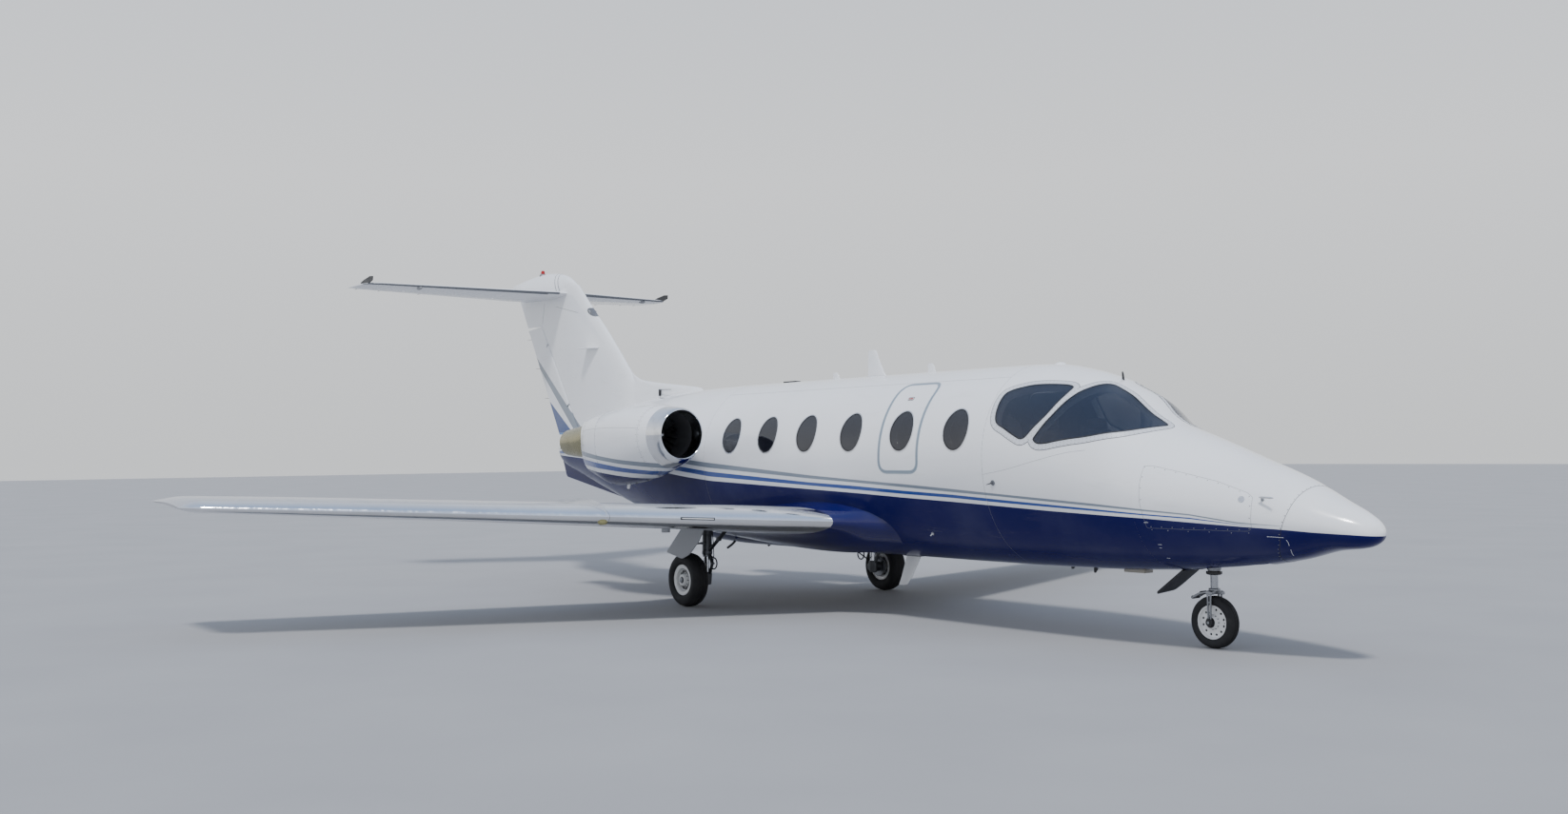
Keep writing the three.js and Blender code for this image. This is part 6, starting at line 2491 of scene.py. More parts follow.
@dataclass
class Wheel(Assembly):
    """A tyre on its rim, turned about the Y axis."""

    size: WheelSize
    centre: Point
    body: str
    node: str

    def at(self, station: float, y: float, z: float) -> Vector:
        """A point ahead of the wheel's middle, to port of it and above it."""
        return Vector(self.centre) + Vector((station, y, z)) * METRE

    def across(
        self, finish: str, spot: tuple[float, float], ends: tuple[float, float], radius: float, sides: int
    ) -> Solid:
        """A bar along the axle's direction.

        Args:
            finish: its finish.
            spot: its distance from the axle and its angle.
            ends: where it starts and ends.
            radius: its radius.
            sides: the points round it.

        Returns:
            The bar.
        """
        reach, angle = spot
        x, z = reach * math.cos(angle), reach * math.sin(angle)
        return self.rod(finish, radius, *[(x, y, z) for y in ends], sides=sides)

    def build(self) -> None:
        """Builds the tyre and the rim."""
        s, half = self.size, self.size.wide / 2
        wall, holes = s.tyre - s.rim, s.holes
        outside = [
            (s.rim + 3, -half * 0.72), (s.rim + 9, -half * 0.84), (s.rim + 25, -half * 0.93),
            (s.rim + wall * 0.45, -half),
            (s.rim + wall * 0.62, -half * 0.985), (s.rim + wall * 0.8, -half * 0.9),
            (s.rim + wall * 0.92, -half * 0.72),
            (s.tyre - 3, -half * 0.52),
        ]
        groove = ((0, -0.06), (5, -0.045), (5, 0.045), (0, 0.06))
        tread = [(s.tyre - deep, half * (middle + wide)) for middle in (-0.33, 0.0, 0.33) for deep, wide in groove]
        profile = [*outside, *tread, *[(r, -y) for r, y in reversed(outside)]]
        tyre = turned(self.node + "_tyre_rubber", profile, 96, "Y", self.centre)
        self.kit.hand_in(tyre, "tyre_rubber", "tyre_rubber", self.body, [self.node_name("tyre")], 50)
        inner = s.rim - s.lip
        profile = [
            (s.bore, -s.hub), (s.bore + 22, -s.hub), (s.bore + 26, -s.hub + 5), (s.bore + 30, -half * 0.62),
            (s.bore + 40, -half * 0.40), (inner - 12, -half * 0.36), (inner - 4, -half * 0.42), (inner, -half * 0.66),
            (inner + 5, -half * 0.74), (s.rim - 8, -half * 0.78), (s.rim - 4, -half * 0.82),
            (s.rim + 2.4, -half * 0.8),
        ]
        rim = turned("disc", [*profile, *[(r, -y) for r, y in reversed(profile)]], 96, "Y", self.centre)
        ring = inner - 14 - s.hole
        spots = [(ring, 2 * math.pi * (k + 0.5) / holes) for k in range(holes)]
        for spot in spots:
            cut(rim, self.across("rim_paint", spot, (-s.wide, s.wide), s.hole, 16))
        parts = [self.kit.paint(rim, "rim_paint")]
        # Dark rubber rods fill the rim's holes: painted shade seen through them
        parts += [self.across("seal_rubber", spot, (-half * 0.30, half * 0.30), s.hole - 0.3, 16) for spot in spots]
        # On the main wheels a near-black dish fills the rim's recess: painted shade of the recess
        dish = [(s.bore + 43, half * 0.405), (inner - 15, half * 0.37), (inner - 15, half * 0.40), (s.bore + 43, half * 0.43)]
        cap = [(s.bore + 1, s.hub - 4), (s.bore + 20, s.hub - 4), (s.bore + 20, s.hub + 0.25), (s.bore + 1, s.hub + 0.25)]
        for sign in (-1, 1):
            if s.lip > 30:
                floor = turned("dish", [(r, sign * y) for r, y in dish], 96, "Y", self.centre)
                for spot in spots:
                    cut(floor, self.across("duct_grey", spot, (-200, 200), s.hole, 16))
                parts.append(self.kit.paint(floor, "duct_grey"))
            else:
                parts.append(self.spun("seal_rubber", [(r, sign * y) for r, y in cap], "Y", self.centre, 48))
        for angle in turns(holes):
            for sign in (-1, 1):
                ends = (sign * half * 0.3, sign * half * 0.62)
                parts.append(self.across("dull_metal", (s.bore + 33, angle), ends, 5.5, 6))
        parts.append(self.across("seal_rubber", (inner - 7, 0.0), (-half * 0.3, -half * 0.72), 3.5, 8))
        self.kit.hand_in(join(self.node + "_wheel_rim", parts), "white_rim", (), self.body, [self.node_name("rim")])

    def node_name(self, what: str) -> str:
        """The node of the tyre or the rim."""
        kind, _, side = self.node.partition("_")
        return f"{kind}_{what}_{side}" if side else f"{kind}_{what}"


@dataclass
class NoseGear(Assembly):
    """The nose leg, its fork and wheel, and the well's rear door."""

    station: float = 1543.0

    DOOR = ((0, -110), (368, -110), (322, 96), (240, 110), (0, 110))

    def at(self, station: float, y: float, z: float) -> Vector:
        """A point ahead of the wheel's station, in millimetres."""
        return place(self.station - station, y, z)

    def upright(self, finish: str, profile: Outline) -> Solid:
        """A shape turned about the leg's line, from radius and height."""
        return self.spun(finish, profile, "Z", self.at(0, 0, 0), 48)

    def build(self) -> None:
        """Builds the gear."""
        size = WheelSize(218, 112, 140, 26, 64, 12, 10, 10.5)
        Wheel(self.kit, size, tuple(self.at(0, 0, 218)), "nose_wheel", "nose").build()
        self.build_leg()
        self.build_fork()
        self.build_door()

    def build_leg(self) -> None:
        """Builds the leg, its drag brace and what is clamped to it."""
        leg = [(0, 640.4), (46, 640.4), (52, 646), (52, 652), (58, 655), (58, 686), (52, 690), (52, 984.7), (0, 984.7)]
        lamp, spot = [(0, 0), (30, 0), (40, 18), (43, 50), (39, 52), (0, 52)], self.at(62, 0, 742)
        parts = [
            self.upright("gear_metal", leg),
            self.upright("strut_chrome", [(0, 500.3), (31, 500.3), (31, 640), (0, 640)]),
            self.upright("black_paint", [(0, 612), (52, 612), (66, 620), (66, 640), (0, 640)]),
            self.rod("gear_metal", 15, (0, 0, 690), (215, 0, 828), (430, 0, 965)),
            self.rod("gear_metal", 21, (0, -34, 692), (0, 34, 692)),
            self.rod("gear_metal", 20, (215, -24, 828), (215, 24, 828)),
            self.rod("gear_metal", 22, (420, -38, 958), (420, 38, 958)),
            self.chunk("gear_metal", (450, -30, 925), (380, 30, 984.7)),
            self.rod("dull_metal", 17, (-58, -72, 742), (-58, 60, 742)),
            self.rod("chrome_metal", 7, (-58, 60, 742), (-58, 84, 742)),
            self.chunk("gear_metal", (-34, -30, 724), (-78, 22, 760)),
            self.rod("seal_rubber", 5, (-40, -40, 960), (-62, -44, 860), (-56, -30, 770), (-48, -26, 700), (-40, -14, 655)),
            self.rod("seal_rubber", 5, (24, -50, 970), (40, -56, 880), (44, -50, 790), (40, -40, 700)),
            self.spun("dull_metal", lamp, "X", spot, 32),
            self.spun("clear_lens", [(0, 52.5), (38, 52.5), (34, 58), (18, 63), (0, 64)], "X", spot, 32),
            self.chunk("gear_metal", (70, -10, 730), (40, 10, 754)),
        ]
        self.kit.hand_in(join("nose_leg_strut", parts), "gear_metal", replaces=["nose_leg"])

    def build_fork(self) -> None:
        """Builds the fork that turns with the wheel."""
        rows = ((-83, 456, 24, 10), (-80, 462, 30, 14), (-62, 466, 34, 17), (-30, 467, 34, 17))
        rings = []
        for y, z, half, tall in (*rows, *[(-y, *rest) for y, *rest in reversed(rows)]):
            ring = []
            for angle in turns(24):
                c, s = (math.copysign(abs(v) ** 0.5, v) for v in (math.cos(angle), math.sin(angle)))
                ring.append(self.at(half * c, y, z + tall * s))
            rings.append(ring)
        parts = [
            self.kit.paint(loft("crown", rings), "gear_metal"),
            self.upright("gear_metal", [(0, 474), (44, 474), (48, 480), (48, 494), (44, 500), (0, 500)]),
            self.rod("gear_metal", 25, (0, -66.3, 218), (0, 66.3, 218)),
            self.rod("gear_metal", 11, (-30, -22, 468), (-120, -30, 452), (-196, -36, 412)),
            self.rod("gear_metal", 11, (-30, 22, 468), (-120, 30, 452), (-196, 36, 412)),
            self.rod("black_paint", 14, (-192, -44, 414), (-192, 44, 414)),
            self.rod("black_paint", 16, (-112, -34, 455), (-112, 34, 455)),
            self.chunk("gear_metal", (92, -16, 454), (28, 16, 478)),
            self.rod("dull_metal", 7, (78, 0, 450), (78, 0, 486)),
        ]
        boss = [(0, 64.4), (30, 64.4), (33, 68), (33, 84), (29, 88.3), (16, 88.3), (16, 84), (0, 84)]
        for sign in (-1, 1):
            y = sign * 73.3
            for x in (-15, 15):
                parts.append(self.rod("gear_metal", 8.5, (x, y, 462), (x * 0.9, y, 340), (x * 0.7, y, 222)))
            for z in (300, 385):
                parts.append(self.chunk("gear_metal", (14, y - 4, z - 7), (-14, y + 4, z + 7), 1.5))
            parts.append(self.spun("black_paint", [(r, sign * y) for r, y in boss], "Y", self.at(0, 0, 218)))
            parts.append(self.rod("gear_metal", 13, (0, sign * 84, 218), (0, sign * 95, 218), sides=6))
        self.kit.hand_in(join("nose_fork_casting", parts), "gear_metal", (), "nose_fork", ["nose_fork"])

    def build_door(self) -> None:
        """Builds the well's rear door with its rim and ribs."""
        middle = LENGTH / 2
        outline = rounded([(middle + aft, y) for aft, y in self.DOOR], 26)

        def bar(finish: str, aft: tuple[float, float], y: tuple[float, float], top: float, bevel: float) -> Solid:
            """A block that stands on the door's plate."""
            low, high = place(middle + aft[0], y[0], 9.2), place(middle + aft[1], y[1], top)
            return self.kit.paint(block("bar", low, high, bevel * METRE), finish)

        plate = self.kit.paint(top_prism("plate", outline, 0, 9), "black_paint")
        rim = cut(top_prism("rim", grown(outline, -5), 9.2, 17), top_prism("tool", grown(outline, -15), 5, 25))
        parts = [plate, self.kit.paint(rim, "seal_rubber")]
        for aft, high in ((70, 98), (150, 98), (230, 96), (300, 80)):
            parts.append(bar("joint_grey", (aft + 5, aft - 5), (-98, high), 15, 1.5))
        parts.append(bar("dull_metal", (350, 20), (-104, -96), 12, 1.0))
        parts += [bar("gear_metal", (60, 4), (y - 9, y + 9), 26, 3.0) for y in (-50, 50)]
        door = join("nose_door_panel", parts)
        door.data.transform(Matrix.Translation(place(1768, 0, 640)) @ Matrix.Rotation(math.radians(-37), 4, "Y"))
        self.kit.hand_in(door, "navy_paint", replaces=["nose_gear_door"])


@dataclass
class MainGear(Assembly):
    """One main leg with its wheel, brake and door."""

    side: Side
    station: float = 7403.0
    out: float = 1420.0
    inboard: float = 225.0
    ahead: float = 40.0

    DOOR = ((7260, 930), (6890, 890), (7017, 718), (7194, 578), (7332, 525), (7653, 584))

    def at(self, station: float, y: float, z: float) -> Vector:
        """A point ahead of the leg's line, outboard of it and above the ground, in millimetres."""
        return place(self.station - self.ahead - station, self.side.value * (self.out - self.inboard + y), z)

    def upright(self, finish: str, profile: Outline) -> Solid:
        """A shape turned about the leg's line, from radius and height."""
        return self.spun(finish, profile, "Z", self.at(0, 0, 0), 48)

    def on_axle(self, finish: str, profile: Outline, segments: int = 56) -> Solid:
        """A shape turned about the axle, from radius and distance outboard of the wheel's middle."""
        sign = self.side.value
        return self.spun(finish, [(r, sign * y) for r, y in profile], "Y", place(self.station, sign * self.out, 290), segments)

    def arm(self, start: Point, end: Point, wide: tuple[float, float], deep: float) -> Solid:
        """A flat arm that changes its width between two points of the leg's plane.

        Args:
            start: the first point.
            end: the second point.
            wide: the width at each.
            deep: the thickness.

        Returns:
            The arm.
        """
        a, b = self.at(*start), self.at(*end)
        along = (b - a).normalized()
        up = along.cross(Vector((0, 1, 0))).normalized()
        out = Vector((0, deep / 2 * METRE, 0))
        first, last = wide[0] * 0.5, wide[1] * 0.5
        rings = []
        ends = ((a - along * first * METRE, first), (a, wide[0]), (b, wide[1]), (b + along * last * METRE, last))
        for point, width in ends:
            half = up * width / 2 * METRE
            rings.append([point + half + out, point - half + out, point - half - out, point + half - out])
        # The arm is the darkened metal: painted shade
        return self.kit.paint(loft("arm", rings), "leg_metal")

    def build(self) -> None:
        """Builds the gear."""
        label, sign = self.side.label, self.side.value
        size, centre = WheelSize(290, 196, 164, 36, 84, 10, 40, 13), tuple(place(self.station, sign * self.out, 290))
        Wheel(self.kit, size, centre, "main_wheel_" + label, "main_" + label).build()
        self.build_leg()
        self.build_door()

    def build_leg(self) -> None:
        """Builds the leg, axle, brake, torque links, brace and hoses."""
        label = self.side.label
        foot = [(0, 224), (36, 226), (44, 234), (50, 300), (52, 340), (50, 360), (42, 366), (0, 366)]
        leg = [(0, 555), (52, 555), (58, 562), (58, 596), (53, 600), (53, 770), (58, 776), (58, 900), (0, 900)]
        axle = [
            (0, -255), (40, -253), (48, -246), (52, -180), (56, -122), (60, -118), (60, -84.3), (35, -84.3),
            (35, 84), (0, 84),
        ]
        hose = [(-44, -20, 850), (-70, -30, 700), (-74, -20, 540), (-66, 20, 420), (-60, 70, 330), (-70, 96, 300)]
        line = [(20, -56, 830), (10, -74, 690), (-6, -92, 540), (-4, -70, 420), (-10, 10, 372), (-30, 90, 372)]
        # Leg, axle, links, brace and brake are the darkened metal: painted shade
        parts = [
            self.upright("leg_metal", foot),
            self.upright("chrome_metal", [(0, 360), (36, 360), (36, 548), (0, 548)]),
            self.upright("dull_metal", [(0, 532), (46, 532), (50, 536), (50, 556), (0, 556)]),
            self.upright("leg_metal", leg),
            self.on_axle("leg_metal", axle),
            self.on_axle("dull_metal", [(60.5, -116), (116, -116), (120, -112), (120, -96), (114, -91), (60.5, -91)]),
            self.on_axle("core_metal", [(60.5, -91), (104, -91), (104, -89.6), (60.5, -89.6)]),
            self.on_axle("dull_metal", [(0, 84), (30, 84), (30, 97), (22, 100), (0, 100)], 6),
            self.rod("leg_metal", 20, (5, 0, 572), (215, -10, 733), (430, -20, 900)),
            self.rod("leg_metal", 26, (6, -34, 574), (6, 34, 574)),
            self.rod("chrome_metal", 12, (215, -10, 733), (330, -15, 823)),
            self.rod("leg_metal", 24, (215, -30, 733), (215, 12, 733)),
            self.arm((46, 0, 556), (104, 0, 462), (34, 20), 30),
            self.arm((104, 0, 458), (44, 0, 352), (20, 34), 22),
            self.rod("dull_metal", 10, (106, -22, 460), (106, 22, 460)),
            self.rod("dull_metal", 12, (44, -24, 556), (44, 24, 556)),
            self.rod("dull_metal", 12, (42, -22, 352), (42, 22, 352)),
            self.rod("seal_rubber", 6, *hose),
            self.rod("seal_rubber", 5, *line),
        ]
        loop = []
        for k in range(15):
            turn = math.radians(-200 + 290 * k / 14)
            loop.append((-70 + 62 * math.cos(turn), -128 - 8 * k / 14, 446 + 62 * math.sin(turn)))
        parts.append(self.rod("seal_rubber", 8, (-50, -40, 380), *loop, (-20, -70, 530), sides=12))
        hub, wide = place(self.station, self.side.value * (self.out - 107), 290), Vector((0, 0.017, 0))
        for angle in (35, 80, 125, 170, 215):
            turn = math.radians(angle)
            middle = hub + Vector((math.cos(turn), 0, math.sin(turn))) * 0.098
            parts.append(self.bar("leg_metal", 0.016, middle - wide, middle + wide * 0.4, sides=16))
        self.kit.hand_in(join("main_leg_strut_" + label, parts), "gear_metal", replaces=["main_leg_" + label])

    def build_door(self) -> None:
        """Builds the door that hangs outboard of the wheel, with its ribs and link."""
        label, outline, reach = self.side.label, rounded(self.DOOR, 34), self.inboard + 114

        def layer(shape: Outline, low: float, high: float) -> Solid:
            """A plate between two distances outboard of the wheel's middle."""
            return side_prism("plate", shape, self.side.value * (self.out + low), self.side.value * (self.out + high))

        plate = self.kit.paint(layer(outline, 114, 124), "grey_paint")
        rim = cut(layer(grown(outline, -6), 107, 113.8), layer(grown(outline, -20), 100, 120))
        parts = [plate, self.kit.paint(rim, "joint_grey")]
        parts += [self.rod("gear_metal", 9, (x, 60, 680), (x * 0.8, reach, 680)) for x in (-18, 18)]
        parts.append(self.rod("dull_metal", 12, (-28, reach - 6, 680), (28, reach - 6, 680)))
        parts.append(self.rod("gear_metal", 14, (-26, 62, 680), (26, 62, 680)))
        door = join("main_door_panel_" + label, parts)
        self.kit.hand_in(door, "grey_paint", replaces=["main_gear_door_" + label])


# Furnishings


@dataclass
class Furnishings(Assembly):
    """Seats with padded cushions, the instrument panel and the yokes."""

    base: float = 940.3

    PILOTS = ((2620, -330, 1), (2620, 330, 1))
    CABIN = ((5000, -1), (5560, 1), (6500, 1))

    def build(self) -> None:
        """Builds the furnishings."""
        cushion = self.puffed("cushion", (-0.196, -0.188, 0.0), (0.196, 0.188, 0.085))
        back = self.puffed("back", (-0.034, -0.186, 0.0), (0.034, 0.186, 0.52))
        head = self.puffed("head", (-0.026, -0.12, 0.0), (0.026, 0.12, 0.10))
        shapes = (cushion, back, head)
        self.build_row("cockpit_seats", self.PILOTS, shapes)
        for side in Side:
            rows = [(station, side.value * 400, facing) for station, facing in self.CABIN]
            self.build_row("cabin_seats_" + side.label, rows, shapes)
        discard(*shapes)
        self.build_panel()

    def puffed(self, name: str, low: Point, high: Point) -> Solid:
        """A cushion blown up as cloth from a rounded block.

        Args:
            name: the object's name.
            low: the block's lowest corner, in metres.
            high: its highest corner.

        Returns:
            The cushion.
        """
        pad = block(name, low, high, min(0.02, (high[0] - low[0]) * 0.3))
        remesh = pad.modifiers.new("even", "REMESH")
        remesh.mode = "VOXEL"
        remesh.voxel_size = 0.011
        bake_modifiers(pad)
        rest = [v.co.copy() for v in pad.data.vertices]
        cloth = pad.modifiers.new("blown", "CLOTH")
        cloth.settings.use_pressure = True
        cloth.settings.uniform_pressure_force = 3.0
        cloth.settings.effector_weights.gravity = 0.0
        scene = bpy.context.scene
        for frame_number in range(1, 13):
            scene.frame_set(frame_number)
        bake_modifiers(pad)
        scene.frame_set(1)
        for vertex, start in zip(pad.data.vertices, rest):
            moved = vertex.co - start
            if moved.length > 0.014:
                vertex.co = start + moved.normalized() * 0.014
        return pad

    def build_row(self, node: str, rows: Sequence[tuple[float, float, int]], shapes: Sequence[Solid]) -> None:
        """Builds the seats that stand for one node.

        Args:
            node: the node.
            rows: the station, y and facing of each seat.
            shapes: the cushion, the backrest and the headrest.
        """
        pads, frames, middle = [], [], rows[0][1]
        for station, y, facing in rows:
            turn = Matrix.Rotation(0.0 if facing > 0 else math.pi, 4, "Z")

            def spot(aft: float, side: float, z: float) -> Point:
                """A point of the seat."""
                return station + facing * aft, y + side, self.base + z

            for shape, aft, z in zip(shapes, (212, 455, 458), (322, 400, 920)):
                twin = copy_of(shape, "pad")
                twin.data.transform(Matrix.Translation(place(*spot(aft, 0, z))) @ turn)
                pads.append(twin)
            for side in (-196, 196):
                arm = [spot(aft, side, z) for aft, z in ((420, 560), (180, 560), (150, 548), (140, 500))]
                frames.append(self.rod("panel_plastic", 14, *arm, sides=10))
            frames += [
                self.chunk("cabin_lining", spot(80, -105, 0), spot(400, 105, 296), 20),
                self.chunk("panel_plastic", spot(12, -200, 298), spot(440, 200, 316), 6),
                self.chunk("cabin_lining", spot(492, -190, 330), spot(516, 190, 960), 10),
            ]
        if node == "cockpit_seats":
            rails = [((2960, -330), (2860, 330), 30, 4)]
        else:
            rear, front = rows[-1][0] + 200, rows[0][0] - 200
            rails = [((rear, middle + y - 9), (front, middle + y + 9), 18, 3) for y in (-28, 28)]
        for low, high, tall, bevel in rails:
            frames.append(self.chunk("dull_metal", (*low, self.base), (*high, self.base + tall), bevel))
        self.kit.hand_in(join(node + "_frames", frames), "panel_plastic", replaces=[node])
        padding = self.kit.hand_in(join(node + "_padding", pads), "seat_leather", "seat_leather", angle=60)

    def build_panel(self) -> None:
        """Builds the instrument panel with its screens, glareshield, pedestal and yokes."""
        parts = [
            self.chunk("panel_plastic", (2150, -450, 1330), (1990, 450, 1636), 12),
            self.chunk("black_paint", (2262, -430, 1640), (1990, 430, 1680), 18),
            self.chunk("panel_plastic", (2560, -110, 941), (2152, 110, 1398), 15),
        ]
        parts += [self.chunk("cabin_glass", (2153, y - 92, 1455), (2146, y + 92, 1600)) for y in (-330, -110, 110, 330)]
        knobs = [(x, y) for x in (2240, 2300, 2360) for y in (-55, 0, 55)]
        parts += [self.rod("dull_metal", 9, (x, y, 1398), (x, y, 1412), sides=12) for x, y in knobs]
        parts += [self.chunk("dull_metal", (2452, y - 8, 1396), (2436, y + 8, 1470), 4) for y in (-28, 28)]
        yoke = ((-120, 1470), (-128, 1410), (-60, 1388), (0, 1400), (60, 1388), (128, 1410), (120, 1470))
        for y in (-330, 330):
            parts.append(self.rod("dull_metal", 16, (2150, y, 1400), (2290, y, 1400), sides=14))
            parts.append(self.rod("black_paint", 13, *[(2300, y + w, z) for w, z in yoke], sides=12))
        self.kit.hand_in(join("instrument_panel_unit", parts), "panel_plastic", replaces=["instrument_panel"])


# Fittings


@dataclass
class Fittings(Assembly):
    """Probes, antennas, lamps, seams and static wicks that stand on the skin."""

    tail: Tail

    def blade(self, finish: str, sections: Sequence[Point], thick: float, level: float | None = None) -> Solid:
        """A swept blade.

        Args:
            finish: its finish.
            sections: front station, rear station and height from root to tip; y in place of height on a level blade.
            thick: its greatest thickness at the root.
            level: the height of a blade that stands out sideways.

        Returns:
            The blade.
        """
        shares = chord_shares(12)
        rings = []
        for k, (front, rear, reach) in enumerate(sections):
            half = thick / 2 * (1 - 0.55 * k / (len(sections) - 1))
            ring = []
            for way, row in ((1, shares), (-1, shares[::-1])):
                for u in row:
                    station, across = front + (rear - front) * u, way * half * aerofoil(u)
                    ring.append(place(station, across, reach) if level is None else place(station, reach, level + across))
            rings.append(ring)
        return self.kit.paint(loft("blade", rings), finish)

    def disc(
        self, finish: str, spot: tuple[Vector, Vector], ends: tuple[float, float], radius: float, sides: int
    ) -> Solid:
        """A round bar through the skin, between two heights over it, in metres."""
        return self.bar(finish, radius, *[spot[0] + spot[1] * end for end in ends], sides=sides)

    def build(self) -> None:
        """Builds the fittings."""
        self.build_roof()
        self.build_belly()
        self.build_probes()
        self.build_fin_fittings()
        self.build_wicks()

    def build_roof(self) -> None:
        """Builds the antennas on the crown."""
        top, spike = BODY.at(5850)[1], BODY.at(2476)[1]
        mast = ((5700, 5990, -6), (5725, 5992, 30), (5810, 5996, 180), (5850, 5985, 270), (5880, 5970, 283))
        dome = [(0, 20), (24, 18), (44, 10), (54, -4), (54, -20), (0, -20)]
        parts = [
            self.blade("white_paint", [(front, rear, top + z) for front, rear, z in mast], 34),
            self.chunk("frame_paint", (6000, -34, top - 5), (5690, 34, top + 5), 2.0),
            self.chunk("black_paint", (7470, -45, top - 6), (7250, 45, top + 13), 5.0),
            self.blade("black_paint", [(2462, 2492, spike - 6), (2470, 2494, spike + 50), (2478, 2494, spike + 74)], 8),
            self.spun("white_paint", dome, "Z", place(3220, 0, BODY.at(3220)[1])),
        ]
        for s, tall in ((4981, 92), (6537, 74)):
            rows = [(s - 60, s + 60, top - 6), (s - 36, s + 62, top + tall * 0.7), (s - 6, s + 58, top + tall)]
            parts.append(self.blade("white_paint", rows, 16))
        self.kit.hand_in(join("roof_antennas", parts), "white_paint")

    def build_belly(self) -> None:
        """Builds the antennas, mast and lamp under the fuselage."""
        low = BODY.at(5280)[2]
        mast = ((5177, 5398, 6), (5215, 5425, -60), (5330, 5490, -230), (5400, 5530, -308), (5440, 5530, -318))
        parts = [
            self.blade("white_paint", [(front, rear, low + z) for front, rear, z in mast], 30),
            self.chunk("joint_grey", (5412, -36, low + 4), (5160, 36, low - 7), 2.5),
            self.chunk("antenna_tan", (2461, -58, BODY.at(2300)[2] + 8), (2227, 58, 585), 6.0),
        ]
        for s, tip in ((2824, 552), (3096, 572)):
            root = BODY.at(s)[2]
            rows = [(s - 26, s + 30, root + 5), (s - 10, s + 32, (root + tip) / 2), (s + 6, s + 30, tip)]
            parts.append(self.blade("black_paint", rows, 12))
        for sign in (-1, 1):
            pipe = [(8110, sign * 300, 628), (8170, sign * 300, 590), (8260, sign * 300, 548)]
            point, normal = skin_at(4349, sign * 590, 880)
            end = point + normal * 0.026 - Vector((0.02, 0, 0.012))
            parts += [
                self.rod("black_paint", 15, *pipe, sides=12),
                self.disc("rim_metal", (point, normal), (-0.004, 0.014), 0.016, 20),
                self.bar("rim_metal", 0.006, point + normal * 0.01, end, sides=10),
            ]
        self.kit.hand_in(join("belly_antennas", parts), "white_paint")

    def build_probes(self) -> None:
        """Builds the pitot heads, the static plates and the angle vanes of both sides."""
        parts = []
        for sign in (-1, 1):
            point, normal = skin_at(775, sign * 395, 1262)
            plate, vane = skin_at(930, sign * 440, 1262), skin_at(3307, sign * 815, 1379)
            end, arm = point + normal * 0.045, vane[0] + vane[1] * 0.038
            tip, back = end + Vector((0.108, 0, -0.004)), end - Vector((0.018, 0, 0))
            mast = (point - normal * 0.006, point + normal * 0.02, end)
            pitot = (back, end, end * 0.2 + tip * 0.8, tip)
            wing = (arm + Vector((0.012, 0, 0.002)), arm - Vector((0.048, 0, 0.012)))
            parts += [
                self.bar("dull_metal", [0.014, 0.010, 0.008], *mast, sides=16),
                self.bar("polished_metal", [0.006, 0.0085, 0.0075, 0.0045], *pitot, sides=16),
                self.disc("rim_metal", plate, (-0.003, 0.0025), 0.026, 28),
                self.disc("joint_grey", vane, (-0.004, 0.006), 0.024, 28),
                self.bar("dull_metal", 0.006, vane[0], arm),
                self.bar("black_paint", [0.006, 0.003], *wing),
            ]
        self.kit.hand_in(join("air_data_probes", parts), "gear_metal")

    def on_fin(self, station: float, z: float, sign: int, lift: float = 0.0) -> Vector:
        """A point on the fin's side."""
        return place(station, sign * (self.tail.half(self.tail.FIN, station, z) + lift), z)

    def bullet_seam(self, station: float) -> Solid:
        """A seam round the bullet.

        Args:
            station: the seam's station.

        Returns:
            The seam.
        """
        sections = []
        for angle in turns(48):
            section = []
            for shift, lift in ((-3, -3), (-3, 1.2), (3, 1.2), (3, -3)):
                high, low, half = self.tail.BULLET.at(station + shift)
                z = (high + low) / 2 + ((high - low) / 2 + lift) * math.sin(angle)
                section.append(place(station + shift + (z - 4290) * 0.28, (half + lift) * math.cos(angle), z))
            sections.append(section)
        return self.kit.paint(closed_strip("bullet_seam", sections), "joint_grey")

    def lamp_window(self) -> Solid:
        """The clear piece in the fin's leading edge."""
        tail, rings = self.tail, []
        for k in range(13):
            rise = -66 + 132 * k / 12
            z = 3664 + rise
            front = tail.FIN.at(z)[0]
            depth = 20 + 92 * math.sqrt(max(0.0, 1 - (rise / 67) ** 2))
            rows = [front - 2.5 + (depth + 2.5) * u for u in chord_shares(12)]
            port = [place(s, tail.half(tail.FIN, max(s, front), z) + 2.5, z) for s in rows]
            starboard = [place(s, -tail.half(tail.FIN, max(s, front), z) - 2.5, z) for s in reversed(rows)]
            rings.append([*port, *starboard])
        return self.kit.paint(loft("lamp_window", rings), "windshield_glass")

